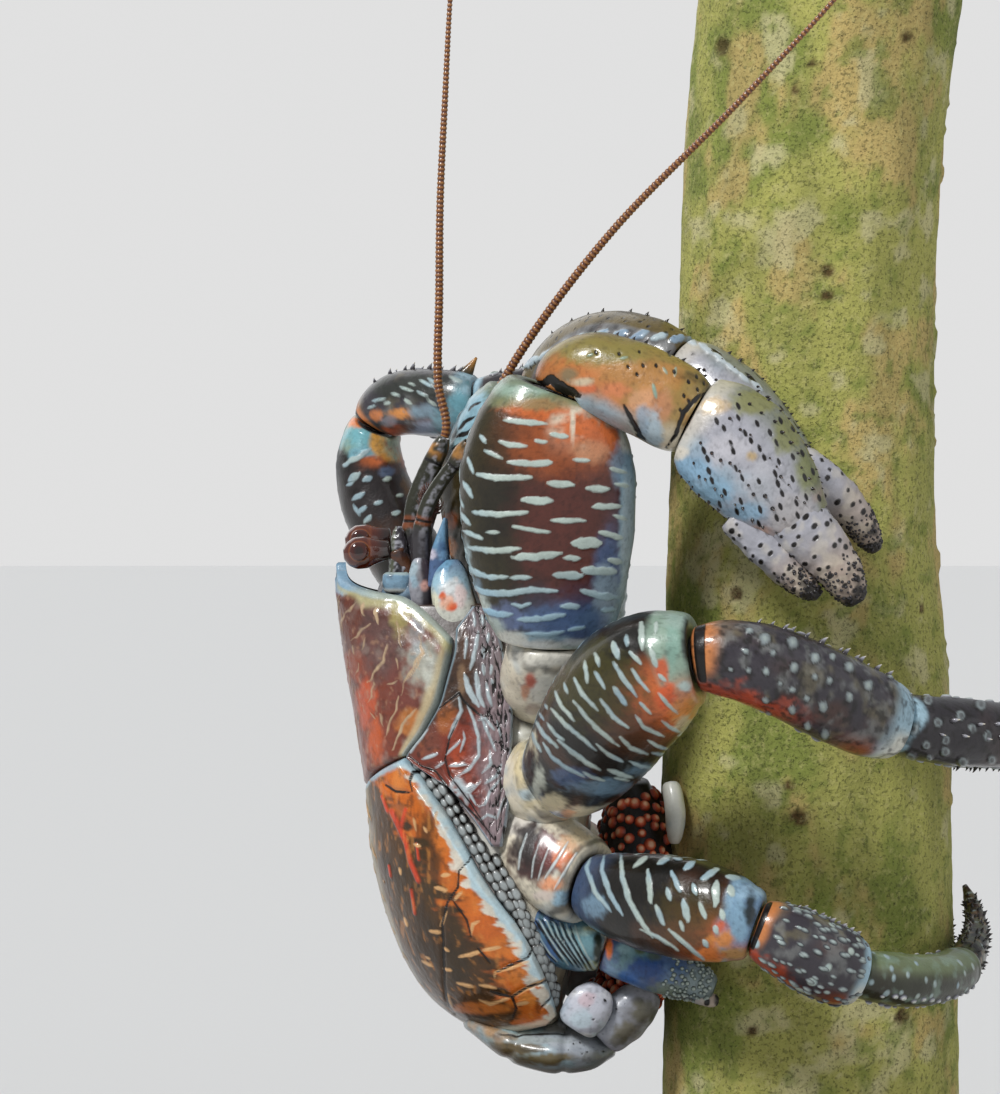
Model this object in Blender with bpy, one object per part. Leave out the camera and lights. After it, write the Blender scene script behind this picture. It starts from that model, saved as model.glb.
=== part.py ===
# Coconut crab climbing a cut length of trunk, on a flat base with one short rod.
# Head up, back toward -X, belly toward the trunk, right side toward -Y. Positions are in
# millimetres and are scaled to metres when each mesh is made.
import math
import random

import bpy
import bmesh
from mathutils import Vector

mm = 0.001
touch = 0.32                # clearance where two pieces meet
joint_gap = 0.36            # thin cut between two segments of a limb
plate_gap = 0.9             # groove between two shell plates
plate_thick = 3.2           # shell plates of the back
core_inset = 4.0            # the thorax lies this far under the outer surface of the shell
core_taper = 1.6            # and this much deeper where the shell curves in below
front_view = Vector((0, 1, 0))
limb_sides = 10
limb_power = 2.3            # a limb's cross section, between an ellipse and a rounded box
body_power = 2.15
smooth_angle = math.radians(40)

spine_sides = 5
spine_root = 1.1            # how deep a spine's root is sunk
spine_lean = 0.35           # how far its tip leans along the limb, as a share of its height

base_radius = 118.0
base_height = 14.0
base_sides = 48
rod_radius = 8.0
rod_sides = 20
trunk_sides = 24
trunk_foot_x = 38.6         # the rod stands under the middle of the trunk's foot
trunk_bottom = 50.0
trunk_top = 380.0

# Outline of the fore body, one row per height: back, widest place and belly along X, half width.
body_rows = (
    (74.0, -58.0, -37.0, -29.0, 27.0),
    (79.5, -66.7, -37.5, -27.3, 33.0),
    (86.6, -73.7, -40.3, -25.9, 40.0),
    (96.7, -79.5, -43.3, -23.8, 44.0),
    (111.2, -84.4, -47.0, -21.5, 45.0),
    (125.7, -88.2, -49.0, -20.3, 43.0),
    (143.1, -89.4, -48.8, -19.8, 39.0),
    (154.7, -91.1, -49.0, -20.0, 36.0),
    (169.2, -93.4, -49.0, -21.5, 33.0),
    (183.7, -96.3, -50.5, -24.4, 30.0),
    (198.2, -97.5, -53.4, -33.0, 24.0),
    (202.6, -97.8, -54.9, -37.5, 21.0),
    (210.0, -98.6, -59.2, -44.7, 16.0),
)

# Half angles round the back at which the shield, and then the rear shell, end on each side.
shield_edge = ((154.0, 47.0), (161.0, 58.0), (169.2, 66.0), (183.7, 74.0), (198.2, 78.0))
rear_edge = ((79.0, 113.5), (88.0, 109.0), (96.7, 102.0), (107.5, 92.5), (118.6, 83.0),
             (128.4, 76.0), (137.3, 67.5), (146.5, 57.0), (154.0, 47.0))
side_plate_foot = 130.0
side_plate_head = 196.8
side_plate_belly = 94.0     # half angle at which a side plate ends toward the belly
side_plate_narrowing = 3.0
side_plate_middle = 165.0
side_plate_tip = 2.0        # how much narrower its lower end gets
side_plate_tip_rise = 18.0
side_plate_scutes = 10.0    # angle left free for the row of scutes beside the rear shell
side_plate_scutes_rise = 8.0
side_plate_cheek = 190.5    # above this its upper end leans in along the cheek
side_plate_cheek_lean = 5.5

# Height of each shell's edge over s, which runs from -1 to 1 across the back.
shield_top = 209.2
shield_top_drop = 11.0
shield_top_bow = 0.45
shield_slope = 10.5         # how much lower the top edge ends over each cheek
shield_slope_start = 0.72
shield_slope_bow = 1.7
seam_middle = 144.0
seam_rise = 10.3
rear_foot = 79.6
rear_foot_sag = 5.0
rear_foot_rise = 2.5
seam_to_side = 154.0        # above this height the side plate borders on the shield

shell_columns = 15
shield_rows = 9
rear_rows = 11
side_rows = 9
side_columns = 5
core_sides = 20

shell = (0.36, 0.11, 0.05)
shell_dark = (0.10, 0.05, 0.04)
blue_grey = (0.30, 0.42, 0.50)
blue_black = (0.04, 0.05, 0.07)
cream = (0.62, 0.58, 0.50)
bark = (0.20, 0.21, 0.10)


def clear_scene():
    for old in list(bpy.data.objects):
        bpy.data.objects.remove(old, do_unlink=True)


def finish(name, colour, roughness=0.35, metallic=0.0):
    material = bpy.data.materials.new(name)
    material.use_nodes = True
    shader = material.node_tree.nodes["Principled BSDF"]
    shader.inputs["Base Color"].default_value = (*colour, 1.0)
    shader.inputs["Roughness"].default_value = roughness
    shader.inputs["Metallic"].default_value = metallic
    return material


def blend(rows, at, column=1):
    """Value of one column at a place between the rows, which rise in their first column."""
    if at <= rows[0][0]:
        return rows[0][column]
    for low, high in zip(rows, rows[1:]):
        if at <= high[0]:
            share = (at - low[0]) / (high[0] - low[0])
            return low[column] + (high[column] - low[column]) * share
    return rows[-1][column]


def rounded(angle, power):
    """Point of a superellipse of unit size."""
    c, s = math.cos(angle), math.sin(angle)
    return (math.copysign(abs(c) ** (2 / power), c), math.copysign(abs(s) ** (2 / power), s))


def add_object(name, points, faces, colour, roughness):
    mesh = bpy.data.meshes.new(name)
    centre = sum(points, Vector()) / len(points)
    mesh.from_pydata([(p - centre) * mm for p in points], [], faces)
    mesh.update()
    work = bmesh.new()
    work.from_mesh(mesh)
    bmesh.ops.remove_doubles(work, verts=work.verts, dist=1e-7)
    bmesh.ops.recalc_face_normals(work, faces=work.faces)
    work.to_mesh(mesh)
    work.free()
    node = bpy.data.objects.new(name, mesh)
    node.location = centre * mm
    bpy.context.scene.collection.objects.link(node)
    mesh.materials.append(finish(name, colour, roughness))
    mesh.shade_smooth()
    mesh.set_sharp_from_angle(angle=smooth_angle)
    return node


def loft(name, rings, colour, roughness=0.35):
    """One closed body through rings of equal count, its two ends closed by a fan."""
    count = len(rings[0])
    points = [p for ring in rings for p in ring]
    faces = []
    for row in range(len(rings) - 1):
        for i in range(count):
            a = row * count + i
            b = row * count + (i + 1) % count
            faces.append((a, b, b + count))
            faces.append((a, b + count, a + count))
    for row, turn in ((0, False), (len(rings) - 1, True)):
        points.append(sum(rings[row], Vector()) / count)
        hub = len(points) - 1
        for i in range(count):
            a = row * count + i
            b = row * count + (i + 1) % count
            faces.append((a, hub, b) if not turn else (b, hub, a))
    return add_object(name, points, faces, colour, roughness)


def path_at(points, leans, t):
    """Place and direction on a smooth path through the points, t from 0 to 1 by length."""
    spans = [(b - a).length for a, b in zip(points, points[1:])]
    reach = t * sum(spans)
    k = 0
    while k < len(spans) - 1 and reach > spans[k]:
        reach -= spans[k]
        k += 1
    s = reach / spans[k]
    a, b = points[k], points[k + 1]
    u, v = leans[k] * spans[k], leans[k + 1] * spans[k]
    place = (a * (2 * s ** 3 - 3 * s ** 2 + 1) + u * (s ** 3 - 2 * s ** 2 + s)
             + b * (3 * s ** 2 - 2 * s ** 3) + v * (s ** 3 - s ** 2))
    slope = (a * (6 * s ** 2 - 6 * s) + u * (3 * s ** 2 - 4 * s + 1)
             + b * (6 * s - 6 * s ** 2) + v * (3 * s ** 2 - 2 * s))
    return place, slope.normalized()


def leans_of(points):
    """Direction of a smooth path at each of its points."""
    steps = [(b - a).normalized() for a, b in zip(points, points[1:])]
    inner = [(a + b).normalized() for a, b in zip(steps, steps[1:])]
    return [steps[0]] + inner + [steps[-1]]


def frame_at(points, leans, t, face):
    """Place on the path with its direction, and the two directions across it."""
    place, along = path_at(points, leans, t)
    across = along.cross(Vector(face)).normalized()
    depth = across.cross(along).normalized()
    return place, along, across, depth


def tube(name, points, sizes, colour, leans=None, sides=limb_sides, power=limb_power,
         face=front_view, ends=(0.0, 0.0), roughness=0.3):
    """A bent, tapering solid. sizes holds (t, half size across the view, half size along it)."""
    points = [Vector(p) for p in points]
    leans = leans or leans_of(points)
    rings = []
    for t, wide, thick in sizes:
        pad = ends[0] * (t == sizes[0][0]) - ends[1] * (t == sizes[-1][0])
        place, along, across, depth = frame_at(points, leans, t, face)
        ring = []
        for i in range(sides):
            c, s = rounded(2 * math.pi * i / sides, power)
            ring.append(place + along * pad + across * wide * c + depth * thick * s)
        rings.append(ring)
    return loft(name, rings, colour, roughness)


def add_spines(node, points, leans, sizes, face, rows, length, thick, seed):
    """Short spines in rows along a limb, joined to it. A row is (angle, first t, last t, count)."""
    chance = random.Random(seed)
    corners, faces = [], []
    for turn, first, last, count in rows:
        for i in range(count):
            t = first + (last - first) * (i + chance.uniform(0.3, 0.7)) / count
            angle = math.radians(turn + chance.uniform(-7, 7))
            place, along, across, depth = frame_at(points, leans, t, face)
            wide = blend(sizes, t, 1)
            deep = blend(sizes, t, 2)
            c, s = rounded(angle, limb_power)
            out = (across * c / wide + depth * s / deep).normalized()
            root = place + across * wide * c + depth * deep * s
            scale = chance.uniform(0.8, 1.2)
            tall = length * scale
            broad = thick * scale
            side_a = out.cross(along).normalized()
            side_b = side_a.cross(out)
            base = len(corners)
            for k in range(spine_sides):
                around = 2 * math.pi * k / spine_sides
                corners.append(root - out * spine_root
                               + (side_a * math.cos(around) + side_b * math.sin(around)) * broad)
            corners.append(root + out * tall + along * tall * spine_lean)
            tip = len(corners) - 1
            for k in range(spine_sides):
                faces.append((base + k, base + (k + 1) % spine_sides, tip))
            faces.append(tuple(base + k for k in reversed(range(spine_sides))))
    spines = add_object(node.name + " spines", corners, faces, blue_black, 0.4)
    join(node, [spines])


def scaled(profile, wide, thick):
    return [(t, wide * w, thick * h) for t, w, h in profile]


# Share of the full half sizes along each kind of segment.
ischium_form = ((0.0, 0.85, 0.85), (0.45, 1.0, 1.0), (0.85, 0.98, 0.98), (1.0, 0.84, 0.84))
merus_form = ((0.0, 0.62, 0.66), (0.07, 0.74, 0.80), (0.2, 0.85, 0.92), (0.42, 0.98, 1.0),
              (0.68, 1.0, 1.0), (0.86, 0.88, 0.92), (0.96, 0.72, 0.80), (1.0, 0.62, 0.70))
carpus_form = ((0.0, 0.68, 0.68), (0.08, 0.82, 0.84), (0.3, 0.94, 0.98), (0.62, 1.0, 1.0),
               (0.88, 0.97, 0.94), (1.0, 0.80, 0.80))
propodus_form = ((0.0, 0.80, 0.80), (0.07, 0.92, 0.92), (0.3, 1.0, 1.0), (0.65, 0.92, 0.92),
                 (0.93, 0.80, 0.80), (1.0, 0.66, 0.66))
dactylus_form = ((0.0, 0.86, 0.86), (0.1, 1.0, 1.0), (0.4, 0.86, 0.86), (0.7, 0.62, 0.62),
                 (0.9, 0.38, 0.38), (1.0, 0.14, 0.14))
hand_form = ((0.0, 0.76, 0.72), (0.12, 0.92, 0.9), (0.35, 1.0, 1.0), (0.6, 0.9, 0.92),
             (0.82, 0.7, 0.72), (1.0, 0.46, 0.48))
palm_form = ((0.0, 0.76, 0.72), (0.12, 0.92, 0.9), (0.4, 1.0, 1.0), (0.7, 0.92, 0.92),
             (0.9, 0.7, 0.7), (1.0, 0.42, 0.45))
tip_form = ((0.0, 0.92, 0.9), (0.3, 1.04, 1.0), (0.6, 0.84, 0.88), (0.85, 0.62, 0.68),
            (0.96, 0.42, 0.45), (1.0, 0.2, 0.2))
finger_form = ((0.0, 0.7, 0.7), (0.3, 1.0, 1.0), (0.6, 0.86, 0.9), (0.85, 0.66, 0.7),
               (0.96, 0.42, 0.45), (1.0, 0.2, 0.2))


def limb(side, joints, leans, segments, spines=None):
    """Segments end to end along one bent path, parted by thin cuts square to the path."""
    spines = spines or {}
    points = [Vector(p) for p in joints]
    path_leans = leans_of(points)
    for k, lean in leans.items():
        path_leans[k] = Vector(lean).normalized()
    made = []
    for k, (name, form, wide, thick, colour, face) in enumerate(segments):
        half = joint_gap / 2
        last = k == len(segments) - 1
        ends = (half if k else 0.0, 0.0 if last else half)
        sizes = scaled(form, wide, thick)
        node = tube(name + "_" + side, points[k:k + 2], sizes, colour,
                    leans=path_leans[k:k + 2], face=face, ends=ends)
        if name in spines:
            rows, tall, broad = spines[name]
            add_spines(node, points[k:k + 2], path_leans[k:k + 2], sizes, face, rows, tall,
                       broad, seed=name + side)
        made.append(node)
    return made


def keep_largest(node):
    """Leaves only the node's largest closed surface."""
    work = bmesh.new()
    work.from_mesh(node.data)
    left = set(work.verts)
    parts = []
    while left:
        seed = left.pop()
        part, edge = {seed}, [seed]
        while edge:
            vert = edge.pop()
            for link in vert.link_edges:
                other = link.other_vert(vert)
                if other in left:
                    left.discard(other)
                    part.add(other)
                    edge.append(other)
        parts.append(part)
    parts.sort(key=len, reverse=True)
    for part in parts[1:]:
        bmesh.ops.delete(work, geom=list(part), context="VERTS")
    work.to_mesh(node.data)
    work.free()


def apply_boolean(node, others, operation):
    """Joins or cuts with the other objects. MANIFOLD steps in where EXACT leaves nothing."""
    group = bpy.data.collections.new(node.name + " pieces")
    bpy.context.scene.collection.children.link(group)
    for other in others:
        group.objects.link(other)
    change = node.modifiers.new(operation.title(), "BOOLEAN")
    change.operation = operation
    change.operand_type = "COLLECTION"
    change.collection = group
    for solver in ("EXACT", "MANIFOLD"):
        change.solver = solver
        bpy.context.view_layer.update()
        seen = node.evaluated_get(bpy.context.evaluated_depsgraph_get())
        mesh = bpy.data.meshes.new_from_object(seen)
        if mesh.polygons:
            break
    node.modifiers.remove(change)
    node.data = mesh
    for other in others:
        bpy.data.objects.remove(other, do_unlink=True)
    bpy.data.collections.remove(group)
    keep_largest(node)
    node.data.shade_smooth()
    node.data.set_sharp_from_angle(angle=smooth_angle)


def join(node, others):
    apply_boolean(node, others, "UNION")


def grown_copy(other, by):
    """The other node's shape with every point moved out along its normal."""
    work = bmesh.new()
    work.from_mesh(other.data)
    work.normal_update()
    shifts = [(vert, vert.normal * vert.calc_shell_factor() * by * mm) for vert in work.verts]
    for vert, shift in shifts:
        vert.co += shift
    mesh = bpy.data.meshes.new(other.name + " room")
    work.to_mesh(mesh)
    work.free()
    room = bpy.data.objects.new(other.name + " room", mesh)
    room.matrix_world = other.matrix_world
    room.location = other.location
    bpy.context.scene.collection.objects.link(room)
    return room


def clear(node, others, by=touch):
    """Cuts the node back wherever it would reach into the others, leaving a small gap."""
    for other in others:
        apply_boolean(node, [grown_copy(other, by)], "DIFFERENCE")


def body_point(height, angle, inset=0.0):
    """Point of the fore body's outer surface. Angle 0 is the back, 180 degrees the belly."""
    back, widest, belly, half = (blend(body_rows, height, k) for k in (1, 2, 3, 4))
    turn = math.radians(abs(angle))
    c, s = rounded(turn, body_power)
    x = widest - (widest - back - inset) * c if c > 0 else widest - (belly - inset - widest) * c
    return Vector((x, -math.copysign((half - inset) * s, angle), height))


def shell_plate(name, grid, colour, roughness=0.3):
    """A curved plate from a grid of (height, angle), as thick as plate_thick, one closed body."""
    rows, columns = len(grid), len(grid[0])
    outer = [body_point(h, a) for row in grid for h, a in row]
    inner = [body_point(h, a, plate_thick) for row in grid for h, a in row]
    points = outer + inner
    count = rows * columns
    faces = []
    for r in range(rows - 1):
        for c in range(columns - 1):
            a = r * columns + c
            b, d, e = a + 1, a + columns, a + columns + 1
            faces += [(a, b, e), (a, e, d)]
            faces += [(a + count, e + count, b + count), (a + count, d + count, e + count)]
    rim = [c for c in range(columns)]
    rim += [r * columns + columns - 1 for r in range(1, rows)]
    rim += [(rows - 1) * columns + c for c in range(columns - 2, -1, -1)]
    rim += [r * columns for r in range(rows - 2, 0, -1)]
    for a, b in zip(rim, rim[1:] + rim[:1]):
        faces += [(a, a + count, b + count), (a, b + count, b)]
    return add_object(name, points, faces, colour, roughness)


def side_angle(edge, height, gap):
    """Angle of a plate's edge at one height, moved back by half the groove."""
    half = blend(body_rows, height, 4)
    return blend(edge, height) - math.degrees(gap / half)


def seam(s):
    """Height of the seam between the shield and the rear shell."""
    return seam_middle + seam_rise * abs(s)


def shield_head(s):
    """Height of the shield's top edge, which slopes down over each cheek."""
    slope = max(0.0, abs(s) - shield_slope_start) / (1 - shield_slope_start)
    return (shield_top - shield_top_drop * abs(s) ** shield_top_bow
            - shield_slope * slope ** shield_slope_bow)


def shell_grid(rows, foot, head, edge):
    """Heights and angles of a plate that spans the back, between its foot and head lines."""
    grid = []
    for r in range(rows):
        t = r / (rows - 1)
        row = []
        for c in range(shell_columns):
            s = -1 + 2 * c / (shell_columns - 1)
            row.append((foot(s) + (head(s) - foot(s)) * t, s))
        reach = side_angle(edge, row[0][0], plate_gap / 2)
        grid.append([(h, s * reach) for h, s in row])
    return grid


def add_carapace():
    plates = [
        shell_plate("carapace_shield", shell_grid(
            shield_rows, lambda s: seam(s) + plate_gap / 2, shield_head, shield_edge), shell),
        shell_plate("carapace_rear", shell_grid(
            rear_rows,
            lambda s: rear_foot - rear_foot_sag * math.sin(math.pi * abs(s))
            + rear_foot_rise * abs(s),
            lambda s: seam(s) - plate_gap / 2, rear_edge), shell)]
    for side, sign in (("right", 1), ("left", -1)):
        grid = []
        for r in range(side_rows):
            h = side_plate_foot + (side_plate_head - side_plate_foot) * r / (side_rows - 1)
            edge = rear_edge if h < seam_to_side else shield_edge
            above = max(0.0, h - side_plate_cheek) / (side_plate_head - side_plate_cheek)
            near = side_angle(edge, h, -plate_gap / 2) + side_plate_cheek_lean * above
            free = max(0.0, seam_to_side - h) / side_plate_scutes_rise
            near += side_plate_scutes * min(1.0, free)
            away = abs(h - side_plate_middle) / (side_plate_middle - side_plate_foot)
            below = max(0.0, side_plate_foot + side_plate_tip_rise - h) / side_plate_tip_rise
            far = side_plate_belly - side_plate_narrowing * away - side_plate_tip * below ** 1.5
            last = side_columns - 1
            grid.append([(h, sign * (near + (far - near) * c / last))
                         for c in range(side_columns)])
        plates.append(shell_plate("side_plate_" + side, grid, shell_dark))
    return plates


def add_thorax():
    rings = []
    for h in (78.5, 86.6, 96.7, 111.2, 125.7, 143.1, 154.7, 169.2, 183.7, 197.0):
        inset = core_inset + core_taper * max(0.0, (108.0 - h) / 30.0)
        step = 360 / core_sides
        rings.append([body_point(h, step * (i + 0.001) - 180, inset)
                      for i in range(core_sides)])
    return loft("thorax", rings, cream, 0.45)


def add_head(thorax, shield):
    head = tube("head", [(-73.5, 0, 190), (-73.5, 0, 205.6)],
                [(0, 13, 12.5), (0.6, 13, 12.5), (0.88, 11.5, 11.5), (1, 8, 9)], blue_grey,
                sides=12)
    pieces = []
    for sign in (-1, 1):
        cheek = tube("cheek", [(-60.5, 18.8 * sign, 186), (-64.2, 16.5 * sign, 200),
                               (-65.0, 14.0 * sign, 209.6)],
                     scaled(palm_form, 6.2, 4.2), blue_grey, sides=8)
        scale = tube("eye scale", [(-79.6, 5.6 * sign, 198), (-79.9, 5.9 * sign, 219.6)],
                     scaled(finger_form, 3.1, 2.7), blue_grey, sides=7)
        perch = tube("eye root", [(-75.5, 4.5 * sign, 201), (-80.6, 6.3 * sign, 213.0)],
                     [(0, 3.0, 3.0), (1, 2.5, 2.5)], blue_grey, sides=6)
        plate = tube("brow plate", [(-73.0, 10.6 * sign, 196), (-73.3, 10.8 * sign, 211)],
                     scaled(palm_form, 3.7, 3.2), blue_grey, sides=6)
        spine = tube("brow spine", [(-68.0, 14.0 * sign, 202), (-67.8, 14.2 * sign, 212),
                                    (-66.3, 14.4 * sign, 222)],
                     [(0, 3.2, 2.6), (0.5, 2.6, 2.2), (0.78, 1.3, 1.2), (1, 0.35, 0.35)],
                     blue_grey, sides=6)
        pieces += [cheek, scale, perch, plate, spine]
    join(head, pieces)
    clear(head, [thorax, shield])

    others = []
    for side, sign in (("right", -1), ("left", 1)):
        lift = 0.0 if sign < 0 else 3.6
        eye = tube("eye_" + side,
                   [(-82.3, 6.5 * sign, 212.8 + lift), (-95.6, 7.0 * sign, 211.4 + lift)],
                   [(0, 2.6, 2.3), (0.25, 3.4, 3.0), (0.5, 4.5, 3.8), (0.75, 4.5, 3.9),
                    (0.92, 3.0, 2.8), (1, 1.3, 1.3)], (0.14, 0.03, 0.02), sides=12, power=2.1,
                   roughness=0.08)
        clear(eye, [head, shield])
        antennule = tube("antennule_" + side,
                         [(-73.5, 2.6 * sign, 203), (-72.4, 2.6 * sign, 214),
                          (-70.6, 2.9 * sign, 223), (-71.6, 3.4 * sign, 230.5)],
                         [(0, 2.0, 1.7), (0.4, 1.5, 1.3), (0.65, 1.2, 1.2), (0.8, 2.4, 1.4),
                          (0.93, 1.5, 1.1), (1, 0.4, 0.4)], (0.16, 0.05, 0.04), sides=8)
        clear(antennule, [head])
        others += [eye, antennule]
    return head, others


def add_feelers(head):
    """The jointed base of each long antenna and its whip."""
    right_base = [(-73.0, -8.6, 203.5), (-71.9, -12.0, 223.6), (-59.1, -20, 243.4)]
    left_base = [(-74.5, 8, 203.5), (-75.0, 8.5, 225.0), (-66.8, 8, 245.6)]
    right_whip = [(-59.1, -20, 243.4), (-44.8, -27.5, 268.5), (-19.8, -41, 301.0),
                  (15.1, -62, 335.5), (39.4, -73, 361.0), (57.0, -79, 382.0)]
    left_whip = [(-66.8, 8, 245.6), (-68.6, 8, 262.0), (-68.3, 8.5, 286.0), (-68.0, 9, 315.0),
                 (-66.6, 10.5, 345.0), (-65.0, 12, 376.0), (-62.4, 14, 405.0)]
    made = []
    for side, base, whip, stout in (("right", right_base, right_whip, 1.0),
                                    ("left", left_base, left_whip, 1.45)):
        root = tube("antenna_base_" + side, base,
                    [(0, 3.2, 3.0), (0.3, 2.9 * stout, 2.7), (0.42, 2.2 * stout, 2.2),
                     (0.5, 2.3 * stout, 2.3), (0.8, 2.0 * stout, 2.0), (0.92, 2.7, 2.6),
                     (1, 1.9, 1.9)], shell_dark, sides=10, ends=(0, joint_gap / 2))
        clear(root, [head], 0.45)
        count = 22
        sizes = [(i / count, 1.3 - 0.85 * (i / count) ** 1.5, 1.3 - 0.85 * (i / count) ** 1.5)
                 for i in range(count + 1)]
        points = [Vector(p) for p in whip]
        first = (points[0] - Vector(base[-2])).normalized()
        smooth = leans_of(points)
        smooth[0] = first
        lash = tube("feeler_" + side, whip, sizes, (0.14, 0.06, 0.03), leans=smooth, sides=6,
                    power=2.0, ends=(joint_gap / 2, 0))
        made += [root, lash]
    return made


def add_mouth_legs(thorax, head):
    made = []
    for side, sign in (("right", -1), ("left", 1)):
        leg = tube("mouth_leg_" + side,
                   [(-49, 8.5 * sign, 192), (-50, 9 * sign, 206), (-56.0, 7.6 * sign, 221)],
                   [(0, 4.6, 3.6), (0.25, 5.0, 4.0), (0.5, 4.0, 3.6), (0.75, 3.2, 3.0),
                    (0.93, 2.0, 2.0), (1, 0.8, 0.8)], shell_dark, sides=9)
        clear(leg, [thorax, head])
        made.append(leg)
    return made


# Rows of spines: angle round the limb in degrees, first and last t, count; then height and
# half width. Angle 0 is the upper edge of a limb that runs toward the trunk, -90 faces front.
claw_spines = {
    "claw_carpus": (((12, 0.2, 0.92, 7), (-22, 0.3, 0.95, 6), (45, 0.3, 0.9, 5)), 1.7, 0.95),
    "claw_hand": (((15, 0.12, 0.75, 6), (-25, 0.1, 0.85, 7), (-60, 0.15, 0.85, 7),
                   (-100, 0.2, 0.85, 6)), 1.1, 0.9),
}
leg_spines = {
    "leg2_carpus": (((10, 0.15, 0.95, 7), (-35, 0.15, 0.9, 6), (55, 0.2, 0.9, 5)), 1.6, 1.1),
    "leg2_propodus": (((10, 0.1, 0.9, 8), (-45, 0.1, 0.9, 8), (-100, 0.1, 0.9, 7)), 1.3, 1.0),
    "leg2_dactylus": (((20, 0.1, 0.8, 7), (110, 0.1, 0.8, 7), (-70, 0.1, 0.8, 7)), 1.3, 0.8),
    "leg3_carpus": (((10, 0.15, 0.95, 6), (-35, 0.15, 0.9, 5)), 1.4, 1.0),
    "leg3_propodus": (((190, 0.1, 0.9, 7), (140, 0.1, 0.9, 6), (20, 0.1, 0.9, 6)), 1.2, 0.9),
    "leg3_dactylus": (((0, 0.08, 0.8, 7), (60, 0.08, 0.8, 6), (-60, 0.08, 0.8, 6)), 1.3, 0.7),
}


def add_claw(side, joints, leans, finger, tip, size, hand_width, tip_width):
    """Cheliped: ischium, merus, carpus, hand with its fixed finger, and the moving finger."""
    view = front_view
    made = limb(side, joints, leans, (
        ("claw_ischium", ischium_form, 13 * size, 12 * size, cream, view),
        ("claw_merus", merus_form, 24.3 * size, 14 * size, blue_black, view),
        ("claw_carpus", carpus_form, 12.4, 11.5, shell, view),
        ("claw_hand", hand_form, hand_width, 11.0, blue_grey, view)), claw_spines)
    fixed = tube("fixed finger", tip, scaled(tip_form, tip_width, 6.4), blue_grey)
    join(made[3], [fixed])
    clear(made[2], [made[1]])
    dactyl = tube("claw_finger_" + side, finger, scaled(finger_form, 5.3 * size, 5.4 * size),
                  blue_grey)
    clear(made[3], [dactyl])
    return made + [dactyl]


def add_leg(side, names, joints, leans, sizes, faces):
    forms = (ischium_form, merus_form, carpus_form, propodus_form, dactylus_form)
    colours = (cream, blue_black, blue_black, blue_black, blue_grey)
    rows = [(n, f, w, t, c, face) for n, f, (w, t), c, face
            in zip(names, forms, sizes, colours, faces)]
    return limb(side, joints, leans, rows, leg_spines)


def leg_names(number):
    kinds = ("ischium", "merus", "carpus", "propodus", "dactylus")
    return ["leg%d_%s" % (number, kind) for kind in kinds]


def add_legs():
    view = front_view
    second = ((12.4, 11.5), (18.0, 16), (12.0, 11), (10.6, 9.4), (7.0, 6.2))
    turned = ((12.0, 11), (11.8, 16), (10.3, 10), (9.2, 8.8), (6.6, 6.2))
    third = ((13.4, 12.4), (13.8, 11.4), (10.6, 9.6), (8.4, 7.4), (5.6, 4.8))
    legs = {}
    legs["right2"] = add_leg(
        "right", leg_names(2),
        [(-42, -24, 147.5), (-34.5, -41, 149.0), (1.6, -92, 184.0), (55.7, -72, 166.3),
         (103.1, -20, 158.1), (73.4, 26.5, 150.0)],
        {0: (0.2, -0.95, 0.1), 1: (0.52, -0.76, 0.39), 5: (-0.9, 0.1, -0.1)},
        second, (view, view, view, (0, 0, 1), (0, 0, 1)))
    legs["left2"] = add_leg(
        "left", leg_names(2),
        [(-44, 24, 150), (-59, 50, 177), (-88.6, 68, 251.4), (-57.1, 46, 257.0),
         (7.3, 54, 259.8), (33.5, 41.0, 247.0)],
        {0: (-0.1, 0.9, 0.4), 1: (-0.35, 0.4, 0.84), 5: (0.75, -0.5, -0.4)},
        turned, (view, view, view, view, (0, 0, 1)))
    legs["right3"] = add_leg(
        "right", leg_names(3),
        [(-44.5, -26, 130.0), (-25.6, -43, 119.6), (18.5, -78, 111.4), (45.0, -70, 98.6),
         (79.1, -33, 96.1), (84.6, 3, 115.2)],
        {0: (0.4, -0.9, 0.0), 5: (-0.35, 0.35, 0.87)},
        third, (view, view, view, (0, 0, 1), (1, 0, 0)))
    legs["left3"] = add_leg(
        "left", leg_names(3),
        [(-44.5, 26, 129.0), (-25.0, 43, 117), (14, 76, 105), (40, 73, 95), (80, 44, 94),
         (73.2, 29.2, 112)],
        {0: (0.4, 0.9, 0.0), 5: (-0.6, -0.5, 0.6)},
        third, (view, view, view, (0, 0, 1), (0, 0, 1)))
    spike = tube("spike", [(-64, 49, 261.5), (-60.5, 47.4, 266.5), (-57.6, 46.6, 271.0)],
                 [(0, 3.4, 3.0), (0.5, 2.2, 1.9), (1, 0.3, 0.3)], blue_black, sides=6)
    join(legs["left2"][2], [spike])
    for side, sign in (("right", -1), ("left", 1)):
        points = [Vector(p) for p in ((-49, 35 * sign, 108.5), (-21.5, 37 * sign, 100.4),
                                      (9.5, 41 * sign, 90.4))]
        leans = leans_of(points)
        upper = tube("leg4_merus_" + side, points[:2], scaled(merus_form, 8.0, 6.6), blue_grey,
                     leans=leans[:2], ends=(0, joint_gap / 2))
        hand = tube("leg4_hand_" + side, points[1:], scaled(palm_form, 6.6, 5.2), blue_grey,
                    leans=leans[1:], ends=(joint_gap / 2, 0))
        nipper = tube("nipper", [(1, 38.5 * sign, 90.3), (10.3, 42 * sign, 86.4)],
                      scaled(finger_form, 2.6, 2.2), blue_grey, sides=8)
        join(hand, [nipper])
        legs[side + "4"] = [upper, hand]
    return legs


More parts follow.
